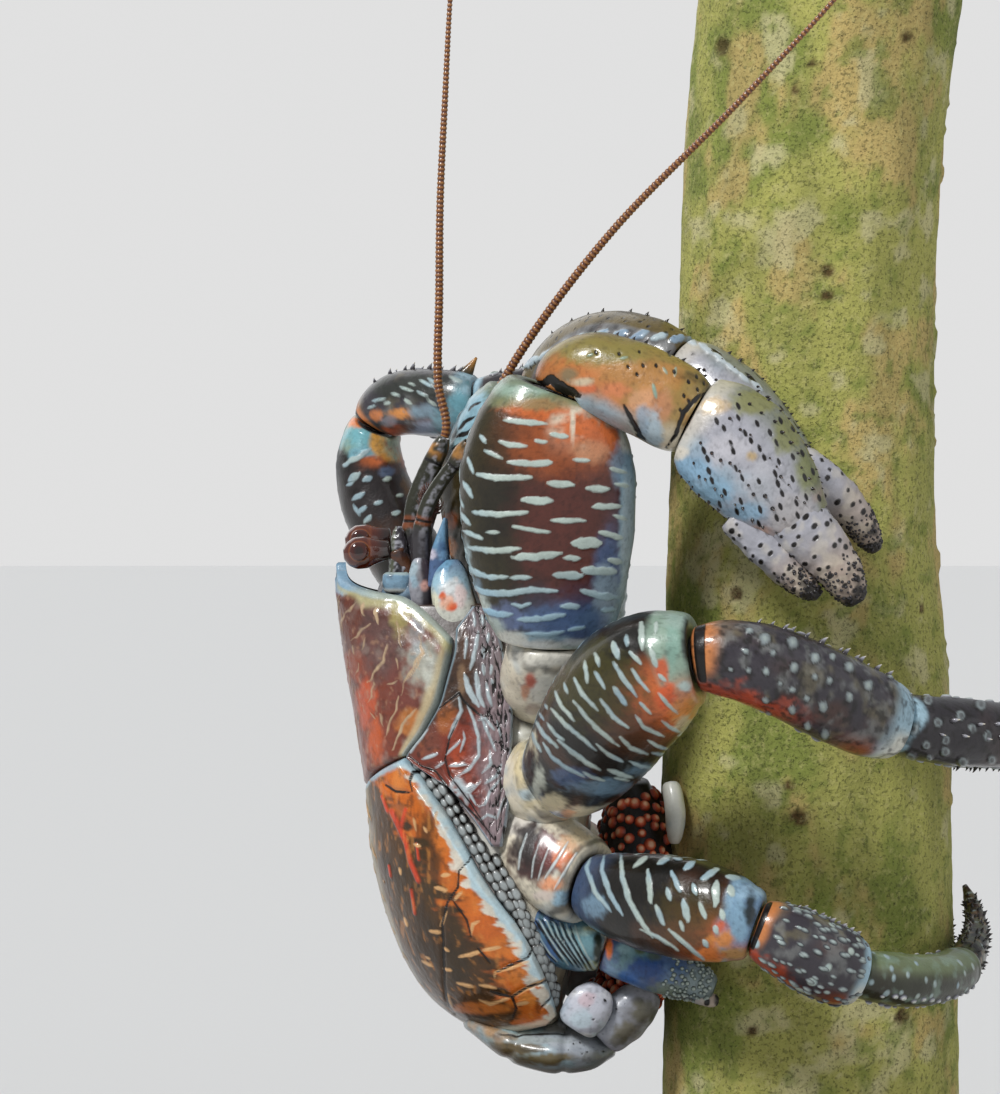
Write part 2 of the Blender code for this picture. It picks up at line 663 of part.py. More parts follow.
def add_abdomen(thorax, rear, trunk):
    base = tube("abdomen_base", [(-60, 0, 79), (-44.5, 0, 72.5), (-30, 0, 71), (-17.6, 0, 72)],
                [(0, 3.5, 22), (0.3, 6.5, 33), (0.6, 8.2, 37), (0.85, 7.5, 34), (1, 4.2, 25)],
                blue_grey, sides=16)
    clear(base, [thorax, rear])
    soft = tube("abdomen_middle",
                [(-22, 0, 77), (-12, 0, 88), (-11.2, 0, 108), (-10.8, 0, 130), (-12.5, 0, 146)],
                [(0, 7.5, 28), (0.2, 9.5, 28), (0.4, 12, 25.5), (0.65, 12, 24), (0.85, 10, 21),
                 (1, 4.5, 13)], shell_dark, sides=16)
    clear(soft, [thorax, base, trunk])
    made = [base, soft]
    for side, sign in (("right", -1), ("left", 1)):
        low = tube("abdomen_plate_" + side,
                   [(-22.0, 29 * sign, 75.0), (-7.5, 30 * sign, 88.8)],
                   scaled(palm_form, 7.2, 5.5), blue_grey, sides=12, power=2.0)
        clear(low, [soft, base])
        oval = tube("abdomen_oval_" + side,
                    [(-29.5, 35 * sign, 78.5), (-26.0, 35.6 * sign, 84.0),
                     (-21.5, 35 * sign, 90.0)],
                    scaled(palm_form, 6.6, 3.4), blue_grey, sides=12, power=2.0)
        clear(oval, [low, base, thorax, soft, rear])
        made += [low, oval]
    tail = tube("tail_fan", [(-2.0, -21.5, 146.5), (-0.8, -24.6, 138), (-1.0, -25, 129.5)],
                scaled(palm_form, 3.0, 3.2), cream, sides=10, power=2.0)
    clear(tail, [soft, trunk])
    made.append(tail)
    return made


def add_trunk():
    rows = ((trunk_bottom, trunk_foot_x, 42.6), (110, 38.8, 42.2), (169, 38.8, 41.2), (210, 36.8, 39.0),
            (285, 37.6, 36.6), (335, 41.5, 37.4), (trunk_top, 46.4, 38.6))
    rings = []
    for h in (trunk_bottom, 75, 105, 135, 169, 190, 210, 235, 260, 285, 310, 335, 358,
              trunk_top):
        centre, radius = blend(rows, h, 1), blend(rows, h, 2)
        ring = []
        for i in range(trunk_sides):
            turn = 2 * math.pi * i / trunk_sides
            swell = 0.5 * math.sin(3 * turn + h / 31) + 0.35 * math.sin(5 * turn - h / 17)
            r = radius + swell
            ring.append(Vector((centre + r * math.cos(turn), r * math.sin(turn), h)))
        rings.append(ring)
    return loft("trunk", rings, bark, 0.85)


def circle(x, radius, height, sides):
    turns = [2 * math.pi * i / sides for i in range(sides)]
    return [Vector((x + radius * math.cos(a), radius * math.sin(a), height)) for a in turns]


def add_stand():
    """A flat round base with an eased edge, and one rod up to the trunk."""
    profile = ((base_radius - 1.5, 0), (base_radius, 1.5), (base_radius, base_height - 2.5),
               (base_radius - 2.5, base_height))
    base = loft("stand_base", [circle(0, r, h, base_sides) for r, h in profile],
                (0.05, 0.05, 0.05), 0.4)
    rod = loft("stand_rod", [circle(trunk_foot_x, rod_radius, h, rod_sides)
                             for h in (base_height + touch, trunk_bottom - touch)],
               (0.5, 0.5, 0.5), 0.25)
    return base, rod


def main():
    clear_scene()
    shield, rear, side_right, side_left = add_carapace()
    thorax = add_thorax()
    head, small = add_head(thorax, shield)
    add_feelers(head)
    add_mouth_legs(thorax, head)
    right_claw = add_claw(
        "right",
        [(-39.2, -22, 171.4), (-35.8, -45, 188.6), (-33, -56, 256), (2.6, -67, 248.4),
         (32.8, -71, 218.6)],
        {0: (0.1, -0.8, 0.5), 1: (0.02, -0.4, 0.9), 2: (0.35, -0.15, 0.93)},
        [(11.5, -70, 221.5), (17.5, -70, 217), (27.5, -70.2, 207), (35.8, -70.2, 200)],
        [(18, -70, 230), (32, -71, 218), (40.5, -71, 208.3), (46.3, -70.5, 198.2)], 1.0,
        16.3, 8.6)
    left_claw = add_claw(
        "left",
        [(-38.6, 22, 168), (-33, 35, 184), (-37.5, 11, 255), (-1.0, -35.5, 262.6),
         (34.5, -50.5, 231)],
        {0: (0.0, 0.8, 0.5), 1: (-0.05, 0.1, 0.95), 2: (0.42, -0.25, 0.87),
         3: (0.8, -0.42, -0.42)},
        [(23, -49.5, 230), (29, -49.5, 224), (37, -48, 216), (42, -46, 208)],
        [(22, -49.5, 242), (36, -49.5, 233), (46.5, -47, 224), (54.2, -43.8, 212.5)], 1.12,
        12.8, 6.6)
    legs = add_legs()
    trunk = add_trunk()
    add_abdomen(thorax, rear, trunk)
    add_stand()
    for claw, side_plate in ((right_claw, side_right), (left_claw, side_left)):
        clear(claw[0], [thorax, side_plate])
    clear(right_claw[0], [legs["right2"][0], legs["right2"][1]])
    clear(legs["left2"][0], [left_claw[0], left_claw[1]])
    clear(legs["left2"][1], [left_claw[1]])
    clear(left_claw[0], [left_claw[1]])
    clear(left_claw[1], [side_left])
    clear(left_claw[3], [trunk])
    for side, plate in (("right", side_right), ("left", side_left)):
        clear(legs[side + "3"][0], [legs[side + "2"][0]])
        clear(legs[side + "4"][0], [legs[side + "3"][0], legs[side + "3"][1]])
        for number in "234":
            clear(legs[side + number][0], [thorax, plate, rear])


main()
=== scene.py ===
# Coconut crab climbing a cut trunk, a still model on a small stand.
# Lengths are in mm until a mesh is made. Head up, back toward -x, right side toward -y.
import math
from types import SimpleNamespace

import bpy
import numpy as np
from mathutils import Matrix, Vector


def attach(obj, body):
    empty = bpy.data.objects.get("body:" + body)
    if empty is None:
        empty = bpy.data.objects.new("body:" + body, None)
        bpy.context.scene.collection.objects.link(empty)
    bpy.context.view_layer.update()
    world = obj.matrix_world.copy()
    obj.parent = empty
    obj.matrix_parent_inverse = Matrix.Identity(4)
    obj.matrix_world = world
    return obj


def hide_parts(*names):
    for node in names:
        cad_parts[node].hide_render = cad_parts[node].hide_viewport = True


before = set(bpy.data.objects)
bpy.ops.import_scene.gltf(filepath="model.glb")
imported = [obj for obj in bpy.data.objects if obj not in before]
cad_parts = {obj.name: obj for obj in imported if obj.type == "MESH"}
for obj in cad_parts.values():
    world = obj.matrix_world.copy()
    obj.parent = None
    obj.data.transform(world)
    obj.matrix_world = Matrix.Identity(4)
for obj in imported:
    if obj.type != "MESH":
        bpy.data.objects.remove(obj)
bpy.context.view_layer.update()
print("solids loaded")

# small tools
view, up = (0, 1, 0), (0, 0, 1)     # away from the viewer, and up
fineStep = 0.45      # mesh spacing on the side that faces the viewer
farStep = 0.75       # and on the far side
noMark = -9.0        # depth far outside any mark
viewGap = 1050.0     # from the viewer to the middle plane of the model
viewMiddle = (-50.5, 213.6)     # across and height of the middle of the view


def tone(red, green, blue):
    level = np.array((red, green, blue), float) / 255
    return np.where(level > 0.04045, ((level + 0.055) / 1.055) ** 2.4, level / 12.92)


def ramp(value, low, high):
    share = np.clip((value - low) / (high - low), 0, 1)
    return share * share * (3 - 2 * share)


def layer(under, over, share):
    return under + (np.asarray(over) - under) * np.asarray(share)[..., None]


def lot(cells, seed):     # a fixed random number for each whole-number cell
    low = np.uint64(0xFFFFFFFF)
    mix = np.full(cells.shape[:-1], (seed * 2654435761 + 97) & 0xFFFFFFFF, np.uint64)
    for k in range(cells.shape[-1]):
        mix = (mix ^ cells[..., k].astype(np.int64).astype(np.uint64)) & low
        mix = (mix * np.uint64(2246822519)) & low
        mix ^= mix >> np.uint64(15)
        mix = (mix * np.uint64(3266489917)) & low
        mix ^= mix >> np.uint64(13)
    return mix.astype(float) / 4294967295


def grain(points, size, seed=0, layers=1):     # soft noise from -1 to 1
    total, weight, full = 0, 1.0, 0.0
    place = points / size
    for step in range(layers):
        base = np.floor(place)
        f = place - base
        f = f * f * (3 - 2 * f)
        value = 0
        for corner in np.ndindex(2, 2, 2):
            share = np.prod(np.where(corner, f, 1 - f), axis=-1)
            value = value + lot(base + corner, seed + step) * share
        total = total + weight * (2 * value - 1)
        full += weight
        place = place * 2.03 + 17.1
        weight *= 0.5
    return total / full


def blot(k, size, seed, layers, low, high):     # soft-edged patches of noise
    return ramp(grain(k.p, size, seed, layers), low, high)


def near(points, spot, size, seed=1, fuzz=0.3):     # 1 close to a spot, 0 beyond it
    reach = np.linalg.norm((points - np.array(spot)) / np.array(size), axis=-1)
    reach = reach + fuzz * grain(points, np.mean(size) * 0.5, seed, 2)
    return 1 - ramp(reach, 0.65, 1.15)


def lineDepth(points, line, width):     # how far inside a line of this half width, in mm
    best = np.full(points.shape[:-1], 1e3)
    for a, b in zip(line, line[1:]):
        a, b = np.array(a), np.array(b)
        span = b - a
        share = np.clip((points - a) @ span / (span @ span), 0, 1)
        gap = np.linalg.norm(points - a - share[..., None] * span, axis=-1)
        best = np.minimum(best, gap)
    return width - best


def marks(k, seed, row, pitch, long, wide, turn=0, swing=8, keep=0.9, loose=0.6, dots=False):
    # Depth inside the nearest of many marks, in rows along a piece, a pitch apart round it.
    count = max(int(round(float(np.mean(k.girth)) / pitch)), 1)
    share = k.v / k.girth * count
    best = np.full(k.u.shape, noMark)
    for i in (-1, 0, 1):
        line = np.floor(k.u / row) + i
        shift = share - lot(line[..., None], seed) - 0.5 * (line % 2)
        for j in (-1, 0, 1):
            column = np.floor(shift) + j
            cell = np.stack([line, column % count], -1)
            r = [lot(cell, seed + n) for n in (1, 2, 3, 4, 5)]
            du = k.u - (line + 0.5 + loose * (r[0] - 0.5)) * row
            dv = (shift - column - 0.5 - loose * (r[1] - 0.5)) * k.girth / count
            angle = np.radians(turn + swing * (2 * r[4] - 1))
            along = dv * np.cos(angle) + du * np.sin(angle)
            aside = du * np.cos(angle) - dv * np.sin(angle)
            reach, depth = long * (0.55 + 0.9 * r[2]), wide * (0.7 + 0.6 * r[2])
            if dots:
                inside = depth * (1 - np.hypot(along / reach, aside / depth))
            else:
                inside = depth * (1 - (along / reach) ** 2) - np.abs(aside)
            best = np.maximum(best, np.where(r[3] < keep, inside, noMark))
    return best


def seen(points, mirror=False):
    # Across and up as a viewer in front sees it, in millimetres at the middle of the model.
    x, y, z = np.moveaxis(points, -1, 0)
    share = viewGap / (viewGap + (-np.abs(y) if mirror else y))
    return np.stack([(x - viewMiddle[0]) * share, (z - viewMiddle[1]) * share], -1)


def strokes(spot, lines, rough):
    # Depth inside drawn lines (half width, then the places along it), and how central it is.
    depth, middle = np.full(spot.shape[:2], noMark), np.zeros(spot.shape[:2])
    for width, *knots in lines:
        knots = np.array(knots).reshape(-1, 2)
        close = np.all((spot > knots.min(0) - width - 1) & (spot < knots.max(0) + width + 1), -1)
        here = spot[close]
        lengths = np.linalg.norm(np.diff(knots, axis=0), axis=1)
        starts = np.concatenate([[0], np.cumsum(lengths)])
        gap, along = np.full(len(here), 99.0), np.zeros(len(here))
        for k, reach in enumerate(lengths):
            run = knots[k + 1] - knots[k]
            share = np.clip((here - knots[k]) @ run / (run @ run + 1e-9), 0, 1)
            away = np.linalg.norm(here - knots[k] - share[:, None] * run, axis=-1)
            along = np.where(away < gap, starts[k] + share * reach, along)
            gap = np.minimum(gap, away)
        thin = 0.6 * min(1.0, starts[-1] / (4 * width))
        taper = 1 - thin * np.abs(2 * along / starts[-1] - 1) ** 3
        inside = width * (taper + 0.45 * rough[close]) - gap
        depth[close] = np.maximum(depth[close], inside)
        middle[close] = np.maximum(middle[close], 1 - gap / width)
    return depth, middle


def dabbed(spot, paint, dabs, rough):
    # Soft patches of colour: ink, strength, centre and half sizes.
    for ink, strength, x, z, wide, high in dabs:
        gap = np.hypot((spot[..., 0] - x) / wide, (spot[..., 1] - z) / high) + 0.45 * rough
        colour = inks[ink] if isinstance(ink, str) else tone(*ink)
        paint = layer(paint, colour, strength * (1 - ramp(gap, 0.5, 1.2)))
    return paint


def drawnOver(k, fields, drawn):
    # What is drawn on the side that faces the viewer, over the general pattern.
    spot = seen(k.p)
    front = ramp(-k.n[..., 1], -0.05, 0.2)
    rough = grain(k.p, drawn.get("grain", 5.0), 91, 3) + 0.6 * grain(k.p, 1.4, 92, 2)
    fine = grain(k.p, 1.5, 93, 2)
    paint = np.broadcast_to(fields["paint"], k.p.shape)
    dabs = dabbed(spot, paint, drawn.get("dabs", ()), rough)
    dabs = dabs * (1 - 0.3 * blot(k, 0.9, 94, 2, 0.05, 0.6))[..., None]
    fields = dict(fields, paint=layer(paint, dabs, front))
    if "marks" not in drawn:     # no marks of the general pattern among the drawn ones
        fields["mark"] = np.where(front > 0.5, noMark, fields.get("mark", noMark))
    relief = 0.3 * grain(k.p, 9, 97, 2)
    for key, name, raised in (("marks", "mark", drawn.get("rise", 0.2)), ("pits", "pit", -0.35)):
        if key in drawn:
            depth = strokes(spot, drawn[key], fine)[0]
            fields[name] = np.where(front > 0.5, depth, fields.get(name, noMark))
            relief = relief + raised * ramp(depth, -0.5, 0.5)
    if "spots" in drawn:     # waxy knobs, drawn as short strokes
        short = [(1.1 * w, a + 0.35 * (c - a), b + 0.35 * (d - b), c - 0.35 * (c - a) + 0.01,
                  d - 0.35 * (d - b)) for w, a, b, c, d in drawn["spots"]]
        middle = strokes(spot, short, 0.6 * fine)[1] * (front > 0.5)
        wax = middle + 0.25 * fine
        fields["paint"] = washes(k, fields["paint"], (
            ("black", 0.7 * ramp(wax, 0.0, 0.12)),
            (tone(140, 150, 152), 0.8 * ramp(wax, 0.15, 0.5)),
            ("pale", 0.5 * ramp(wax, 0.5, 0.95)),
            ("plum", drawn.get("ringed", 0.0) * ramp(middle, 0.5, 0.75))))
        relief = relief + 0.6 * np.sqrt(np.clip(middle, 0, 1))
    if "marks" in drawn or "spots" in drawn:
        fields["relief"] = fields.get("relief", 0.0) * (1 - front) + relief * front
    return fields


def unit(vectors):
    return vectors / np.maximum(np.linalg.norm(vectors, axis=-1, keepdims=True), 1e-9)


def rounded(angle, power):
    c, s = np.cos(angle), np.sin(angle)
    return np.sign(c) * np.abs(c) ** (2 / power), np.sign(s) * np.abs(s) ** (2 / power)


def eased(knots, at, column, reach):     # the knots' values with their corners eased
    knots = np.array(knots, float)
    total = 0
    for shift, weight in ((-1, 1), (-0.5, 2), (0, 2), (0.5, 2), (1, 1)):
        total = total + weight * np.interp(at + shift * reach, knots[:, 0], knots[:, column])
    return total / 8


def leansOf(points):
    steps = unit(np.diff(points, axis=0))
    inner = unit(steps[:-1] + steps[1:])
    return np.concatenate([steps[:1], inner, steps[-1:]])


def pathAt(points, leans, t):
    spans = np.linalg.norm(np.diff(points, axis=0), axis=1)
    reach = np.concatenate([[0], np.cumsum(spans)])
    at = np.clip(t, -0.05, 1.05) * reach[-1]
    k = np.clip(np.searchsorted(reach, at, side="right") - 1, 0, len(spans) - 1)
    size = spans[k][..., None]
    s = ((at - reach[k]) / spans[k])[..., None]
    a, b, u, v = points[k], points[k + 1], leans[k] * size, leans[k + 1] * size
    place = (a * (2 * s ** 3 - 3 * s ** 2 + 1) + u * (s ** 3 - 2 * s ** 2 + s)
             + b * (3 * s ** 2 - 2 * s ** 3) + v * (s ** 3 - s ** 2))
    slope = (a * (6 * s ** 2 - 6 * s) + u * (3 * s ** 2 - 4 * s + 1)
             + b * (6 * s - 6 * s ** 2) + v * (3 * s ** 2 - 2 * s))
    return place, unit(slope)


def gridNormals(points, wrap):
    if wrap:
        round_ = np.roll(points, -1, 1) - np.roll(points, 1, 1)
    else:
        round_ = np.gradient(points, axis=1)
    return unit(np.cross(round_, np.gradient(points, axis=0)))


def gridFaces(rows, columns, wrap):
    r = np.arange(rows - 1)[:, None]
    c = np.arange(columns if wrap else columns - 1)[None, :]
    a = r * columns + c
    b = r * columns + (c + 1) % columns
    return np.stack([a, b, b + columns, a + columns], -1).reshape(-1, 4)


def part(points, faces, **fields):
    # One sheet of mesh with its paint: base paint, inlaid marks, pits and dullness.
    points = points.reshape(-1, 3)
    count = len(points)
    made = {"points": points, "faces": faces}
    for key, plain in (("paint", tone(120, 120, 120)), ("inlay", tone(190, 200, 200))):
        made[key] = np.broadcast_to(fields.get(key, plain), (count, 3))
    for key, plain in (("mark", noMark), ("pit", noMark), ("dull", 0.0)):
        value = np.asarray(fields.get(key, plain), float)
        made[key] = np.broadcast_to(value.reshape(-1) if value.ndim else value, (count,))
    return made


def volume(points, faces):     # below 0 where the faces of a closed skin look in
    a, b, c = (points[faces[:, n]] for n in range(3))
    return np.einsum("ij,ij->i", a, np.cross(b, c)).sum()


def tubeFaces(points, rows, columns):
    # A wrapped grid closed by a fan at each end, round the last two points.
    index, top = np.arange(columns), (rows - 1) * columns
    beside = (index + 1) % columns
    faces = [gridFaces(rows, columns, True),
             np.stack([beside, index, np.full(columns, len(points) - 2)], -1),
             np.stack([top + index, top + beside, np.full(columns, len(points) - 1)], -1)]
    return faces if volume(points, faces[0]) > 0 else [f[:, ::-1] for f in faces]


def buildPiece(name, parts, finish):
    # One object of all its parts, in place of the solid of the same name.
    points = np.concatenate([p["points"] for p in parts]) * 0.001
    loops, totals, offset = [], [], 0
    for p in parts:
        for faces in p["faces"]:
            loops.append((faces + offset).reshape(-1))
            totals.append(np.full(len(faces), faces.shape[1]))
        offset += len(p["points"])
    loops, totals = np.concatenate(loops), np.concatenate(totals)
    mesh = bpy.data.meshes.new(name)
    mesh.vertices.add(len(points))
    mesh.vertices.foreach_set("co", points.ravel())
    mesh.loops.add(len(loops))
    mesh.loops.foreach_set("vertex_index", loops.astype(np.int32))
    mesh.polygons.add(len(totals))
    mesh.polygons.foreach_set("loop_start", np.concatenate([[0], np.cumsum(totals)[:-1]]))
    mesh.polygons.foreach_set("loop_total", totals)
    mesh.update(calc_edges=True)
    mesh.shade_smooth()
    for key in ("paint", "inlay"):
        colour = np.ones((len(points), 4))
        colour[:, :3] = np.concatenate([p[key] for p in parts])
        mesh.attributes.new(key, "FLOAT_COLOR", "POINT").data.foreach_set("color", colour.ravel())
    for key in ("mark", "pit", "dull"):
        value = np.concatenate([p[key] for p in parts])
        mesh.attributes.new(key, "FLOAT", "POINT").data.foreach_set("value", value)
    mesh.materials.append(finish)
    piece = bpy.data.objects.new(name, mesh)
    bpy.context.scene.collection.objects.link(piece)
    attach(piece, "root")
    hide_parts(name)


def limbSurface(look):
    # Place on a bent, tapering limb for t along it and the angle round it.
    path = np.array(look["path"], float)
    leans = unit(np.array(look["leans"], float)) if "leans" in look else leansOf(path)
    form, power = look["form"], look.get("power", 2.3)
    length = np.linalg.norm(np.diff(path, axis=0), axis=1).sum()
    soft, rims = look.get("soft", 0.05), look.get("rims", (1.2, 1.2))
    face = np.array(look.get("face", view), float)

    def sizeAt(t):
        return (look.get(key, 1) * eased(form, t, n, soft)
                for n, key in ((1, "wide"), (2, "thick")))

    def at(t, angle, grow=0.0):
        place, along = pathAt(path, leans, t)
        across = unit(np.cross(along, face))
        deep = unit(np.cross(across, along))
        wide, thick = sizeAt(t)
        curl = 1.0
        for gap, rim in ((t, rims[0]), (1 - t, rims[1])):
            if rim:
                inner = np.clip(1 - gap * length / rim, 0, 1)
                curl = curl * (1 - 0.22 * (1 - np.sqrt(1 - inner ** 2 * 0.96)))
        c, s = rounded(angle, power)
        wide, thick = wide * curl + grow, thick * curl + grow
        return place + across * (wide * c)[..., None] + deep * (thick * s)[..., None]

    girth = 2 * math.pi * float(np.sqrt(sum(size ** 2 for size in sizeAt(np.array(0.5))) / 2))
    return SimpleNamespace(at=at, length=length, girth=girth, path=path, leans=leans, look=look)


def limbSkin(look, step):
    # The dense skin of a limb: shape first, then paint and relief from its own paint function.
    surface = limbSurface(look)
    gap = look.get("gap", (0.18, 0.18))
    rows = max(int(surface.length / step), 8)
    columns = max(int(surface.girth / step), 12)
    first, last = gap[0] / surface.length, 1 - gap[1] / surface.length
    t, angle = np.linspace(first, last, rows), 2 * math.pi * np.arange(columns) / columns
    tt, aa = np.meshgrid(t, angle, indexing="ij")
    points = surface.at(tt, aa)
    centres = points.mean(1, keepdims=True)
    girth = np.linalg.norm(np.roll(points, -1, 1) - points, axis=-1).sum(1)[:, None]
    normal = gridNormals(points, True)
    if np.sum(normal * (points - centres)) < 0:
        normal = -normal
    turn = aa / (2 * math.pi)
    k = SimpleNamespace(p=points, t=tt, a=aa, n=normal, turn=turn, u=tt * surface.length,
                        v=turn * girth, girth=girth + 0 * tt, surface=surface)
    fields = look["paint"](k)
    if "drawn" in look:
        fields = drawnOver(k, fields, look["drawn"])
    fade = np.minimum(ramp(tt, first, first + 0.03), ramp(-tt, -last, -last + 0.03))
    points = points + normal * (fields.pop("relief", 0.0) * fade)[..., None]
    # the two closing caps, a flat root and a hollow far end
    _, along = pathAt(surface.path, surface.leans, np.array([first, last]))
    root = centres[0] + (points[0] - centres[0]) * 0.55
    end = centres[-1] + (points[-1] - centres[-1]) * 0.6 - along[1] * 0.6
    grid = np.concatenate([root[None], points, end[None]])
    flat = np.concatenate([grid.reshape(-1, 3), root.mean(0)[None], end.mean(0)[None]])
    full = {}
    for key, value in fields.items():
        tail = (3,) if key in ("paint", "inlay") else ()
        plain = tone(40, 32, 28) if tail else noMark if key in ("mark", "pit") else 0.0
        value = np.broadcast_to(value, (rows, columns, *tail))
        ends = np.broadcast_to(plain, (columns, *tail))
        joined = np.concatenate([ends[None], value, ends[None]]).reshape(-1, *tail)
        full[key] = np.concatenate([joined, ends[:2]])
    faces = tubeFaces(flat, rows + 2, columns)
    faces[2] = faces[2][:, ::-1]     # the far cap looks in, which keeps the gap at a joint dark
    return part(flat, faces, **full), k


def studs(at, t, angle, look, seed=0):
    # Many small domes or spines on a surface: at(t, angle) gives the place.
    t, angle = np.asarray(t, float), np.asarray(angle, float)
    place = at(t, angle)
    ahead = unit(at(t + 0.01, angle) - place)
    beside = unit(at(t, angle + 0.02) - place)
    out = unit(np.cross(beside, ahead))
    hub = at(t, angle + math.pi)
    out = np.where(((place - hub) * out).sum(-1, keepdims=True) < 0, -out, out)
    if "out" in look:
        out = look["out"](place, out)
    if look.get("behind"):      # none where the marks are drawn
        chosen = out[:, 1] > 0.0
        t, place, ahead, beside, out = (values[chosen]
                                        for values in (t, place, ahead, beside, out))
    beside = unit(np.cross(ahead, out))
    cells = np.stack([np.arange(len(t)), np.zeros(len(t))], -1)
    chance = [lot(cells, seed + n) for n in range(2)]
    size, shade = 0.75 + 0.5 * chance[0], 1 + 0.25 * (chance[1] - 0.5)
    sides, levels = look["sides"], len(look["rings"])
    around = 2 * math.pi * np.arange(sides) / sides
    circle = (ahead[:, None] * (np.cos(around) * look.get("stretch", 1.0))[None, :, None]
              + beside[:, None] * np.sin(around)[None, :, None])
    points, tones = [], []
    for wide, high, colour in look["rings"]:
        rise = look["height"] * size
        lean = look.get("lean", 0.0) * max(high, 0) ** 2 * rise
        centre = place + out * (high * rise)[:, None] + ahead * lean[:, None]
        points.append(centre[:, None] + circle * (look["radius"] * wide * size)[:, None, None])
        tones.append(np.broadcast_to(colour, (len(t), sides, 3)))
    tip = points[-1].mean(1, keepdims=True) + (out * look["height"] * 0.02)[:, None]
    points = np.concatenate(points + [tip], axis=1)      # studs, levels * sides + 1
    tones = np.concatenate(tones + [tones[-1][:, :1]], axis=1) * shade[:, None, None]
    per, index, top = points.shape[1], np.arange(sides), (levels - 1) * sides
    quads = gridFaces(levels, sides, True)
    caps = np.stack([top + index, top + (index + 1) % sides, np.full(sides, per - 1)], -1)
    if len(t) and volume(points[0] - points[0].mean(0), quads) < 0:
        quads, caps = quads[:, ::-1], caps[:, ::-1]
    base = (np.arange(len(t)) * per)[:, None, None]
    return part(points, [(quads + base).reshape(-1, 4), (caps + base).reshape(-1, 3)],
                paint=tones.reshape(-1, 3), dull=look.get("dull", 0.0))


def inRows(rows, perRow, tRange, turnRange, seed, loose=0.5):
    # Studs in rows along the limb.
    i, j = np.meshgrid(np.arange(rows), np.arange(perRow), indexing="ij")
    cells = np.stack([i, j], -1).reshape(-1, 2)
    i, j = i.reshape(-1), j.reshape(-1)
    t = (j + 0.5 + 0.5 * (i % 2) + loose * (lot(cells, seed) - 0.5)) / (perRow + 0.5)
    turn = (i + 0.5 + 0.6 * loose * (lot(cells, seed + 1) - 0.5)) / rows
    return (tRange[0] + (tRange[1] - tRange[0]) * t,
            2 * math.pi * (turnRange[0] + (turnRange[1] - turnRange[0]) * turn))


# finishes
def newFinish(name):
    # A new material, with short calls for its nodes.
    material = bpy.data.materials.new(name)
    material.use_nodes = True
    nodes, links = material.node_tree.nodes, material.node_tree.links
    place = nodes.new("ShaderNodeTexCoord").outputs["Object"]

    def put(node, values):     # a number, a colour or another node's output for each socket
        for key, value in values.items():
            if isinstance(value, bpy.types.NodeSocket):
                links.new(value, node.inputs[key])
            else:
                node.inputs[key].default_value = value
        return node.outputs

    def field(key, socket="Fac"):
        node = nodes.new("ShaderNodeAttribute")
        node.attribute_name = key
        return node.outputs[socket]

    def noise(scale, detail, rough=0.55, stretch=(1, 1, 1)):
        mapped = put(nodes.new("ShaderNodeMapping"), {"Vector": place, "Scale": stretch})[0]
        return put(nodes.new("ShaderNodeTexNoise"), {
            "Vector": mapped, "Scale": scale, "Detail": detail, "Roughness": rough})[0]

    def maths(kind, *values, clamp=False):
        node = nodes.new("ShaderNodeMath")
        node.operation, node.use_clamp = kind, clamp
        return put(node, dict(enumerate(values)))[0]

    def scaled(value, factor, more=0.0, clamp=False):
        return maths("MULTIPLY_ADD", value, factor, more, clamp=clamp)

    def tinted(colour, factor):
        node = nodes.new("ShaderNodeVectorMath")
        node.operation = "SCALE"
        return put(node, {0: colour, "Scale": factor})[0]

    def mix(share, under, over):
        node = nodes.new("ShaderNodeMix")
        node.data_type, node.clamp_factor = "RGBA", True
        return put(node, {0: share, 6: under, 7: over})[2]

    def done(values, height=None, strength=1.0):     # the shader's values and its bump
        if height is not None:
            bump = put(nodes.new("ShaderNodeBump"), {
                "Distance": 0.001, "Strength": strength, "Height": height})
            values = dict(values, Normal=bump[0])
        put(nodes["Principled BSDF"], values)
        return material

    return SimpleNamespace(field=field, noise=noise, maths=maths, scaled=scaled, tinted=tinted,
                           mix=mix, done=done)


def socketTone(red, green, blue):     # a plain colour for a socket
    return (*tone(red, green, blue), 1)


def shellFinish(name, look):
    # Horn and shell: painted base, raised pale marks, dark pits, fine grain and a wet gloss.
    m = newFinish(name)
    markShare = m.scaled(m.field("mark"), 2.0, 0.5, True)
    pitShare = m.scaled(m.field("pit"), 3.2, 0.5, True)
    fine, cloud = m.noise(1400.0, 4.0), m.noise(look.get("cloudScale", 160.0), 5.0, 0.6)
    base = m.mix(markShare, m.field("paint", "Color"), m.field("inlay", "Color"))
    low, high, speck = look.get("shade", 0.62), look.get("lift", 1.3), look.get("speck", 0.35)
    shade = m.maths("MULTIPLY", m.scaled(cloud, high - low, low),
                    m.scaled(fine, speck, 1 - 0.5 * speck))
    rough = m.scaled(m.field("dull"), 0.5, look["rough"] - 0.08)
    height = m.scaled(markShare, look.get("markRise", 0.16),
                      m.scaled(fine, look.get("fineRise", 0.08)))
    height = m.scaled(cloud, look.get("cloudRise", 0.35), m.scaled(pitShare, -0.35, height))
    return m.done({
        "Base Color": m.mix(pitShare, m.tinted(base, shade), socketTone(18, 13, 11)),
        "Roughness": m.scaled(cloud, 0.16, rough, True), "Coat Weight": look["coat"],
        "Coat Roughness": look.get("coatRough", 0.16),
        "Specular IOR Level": look.get("specular", 0.5)}, height, 0.9)


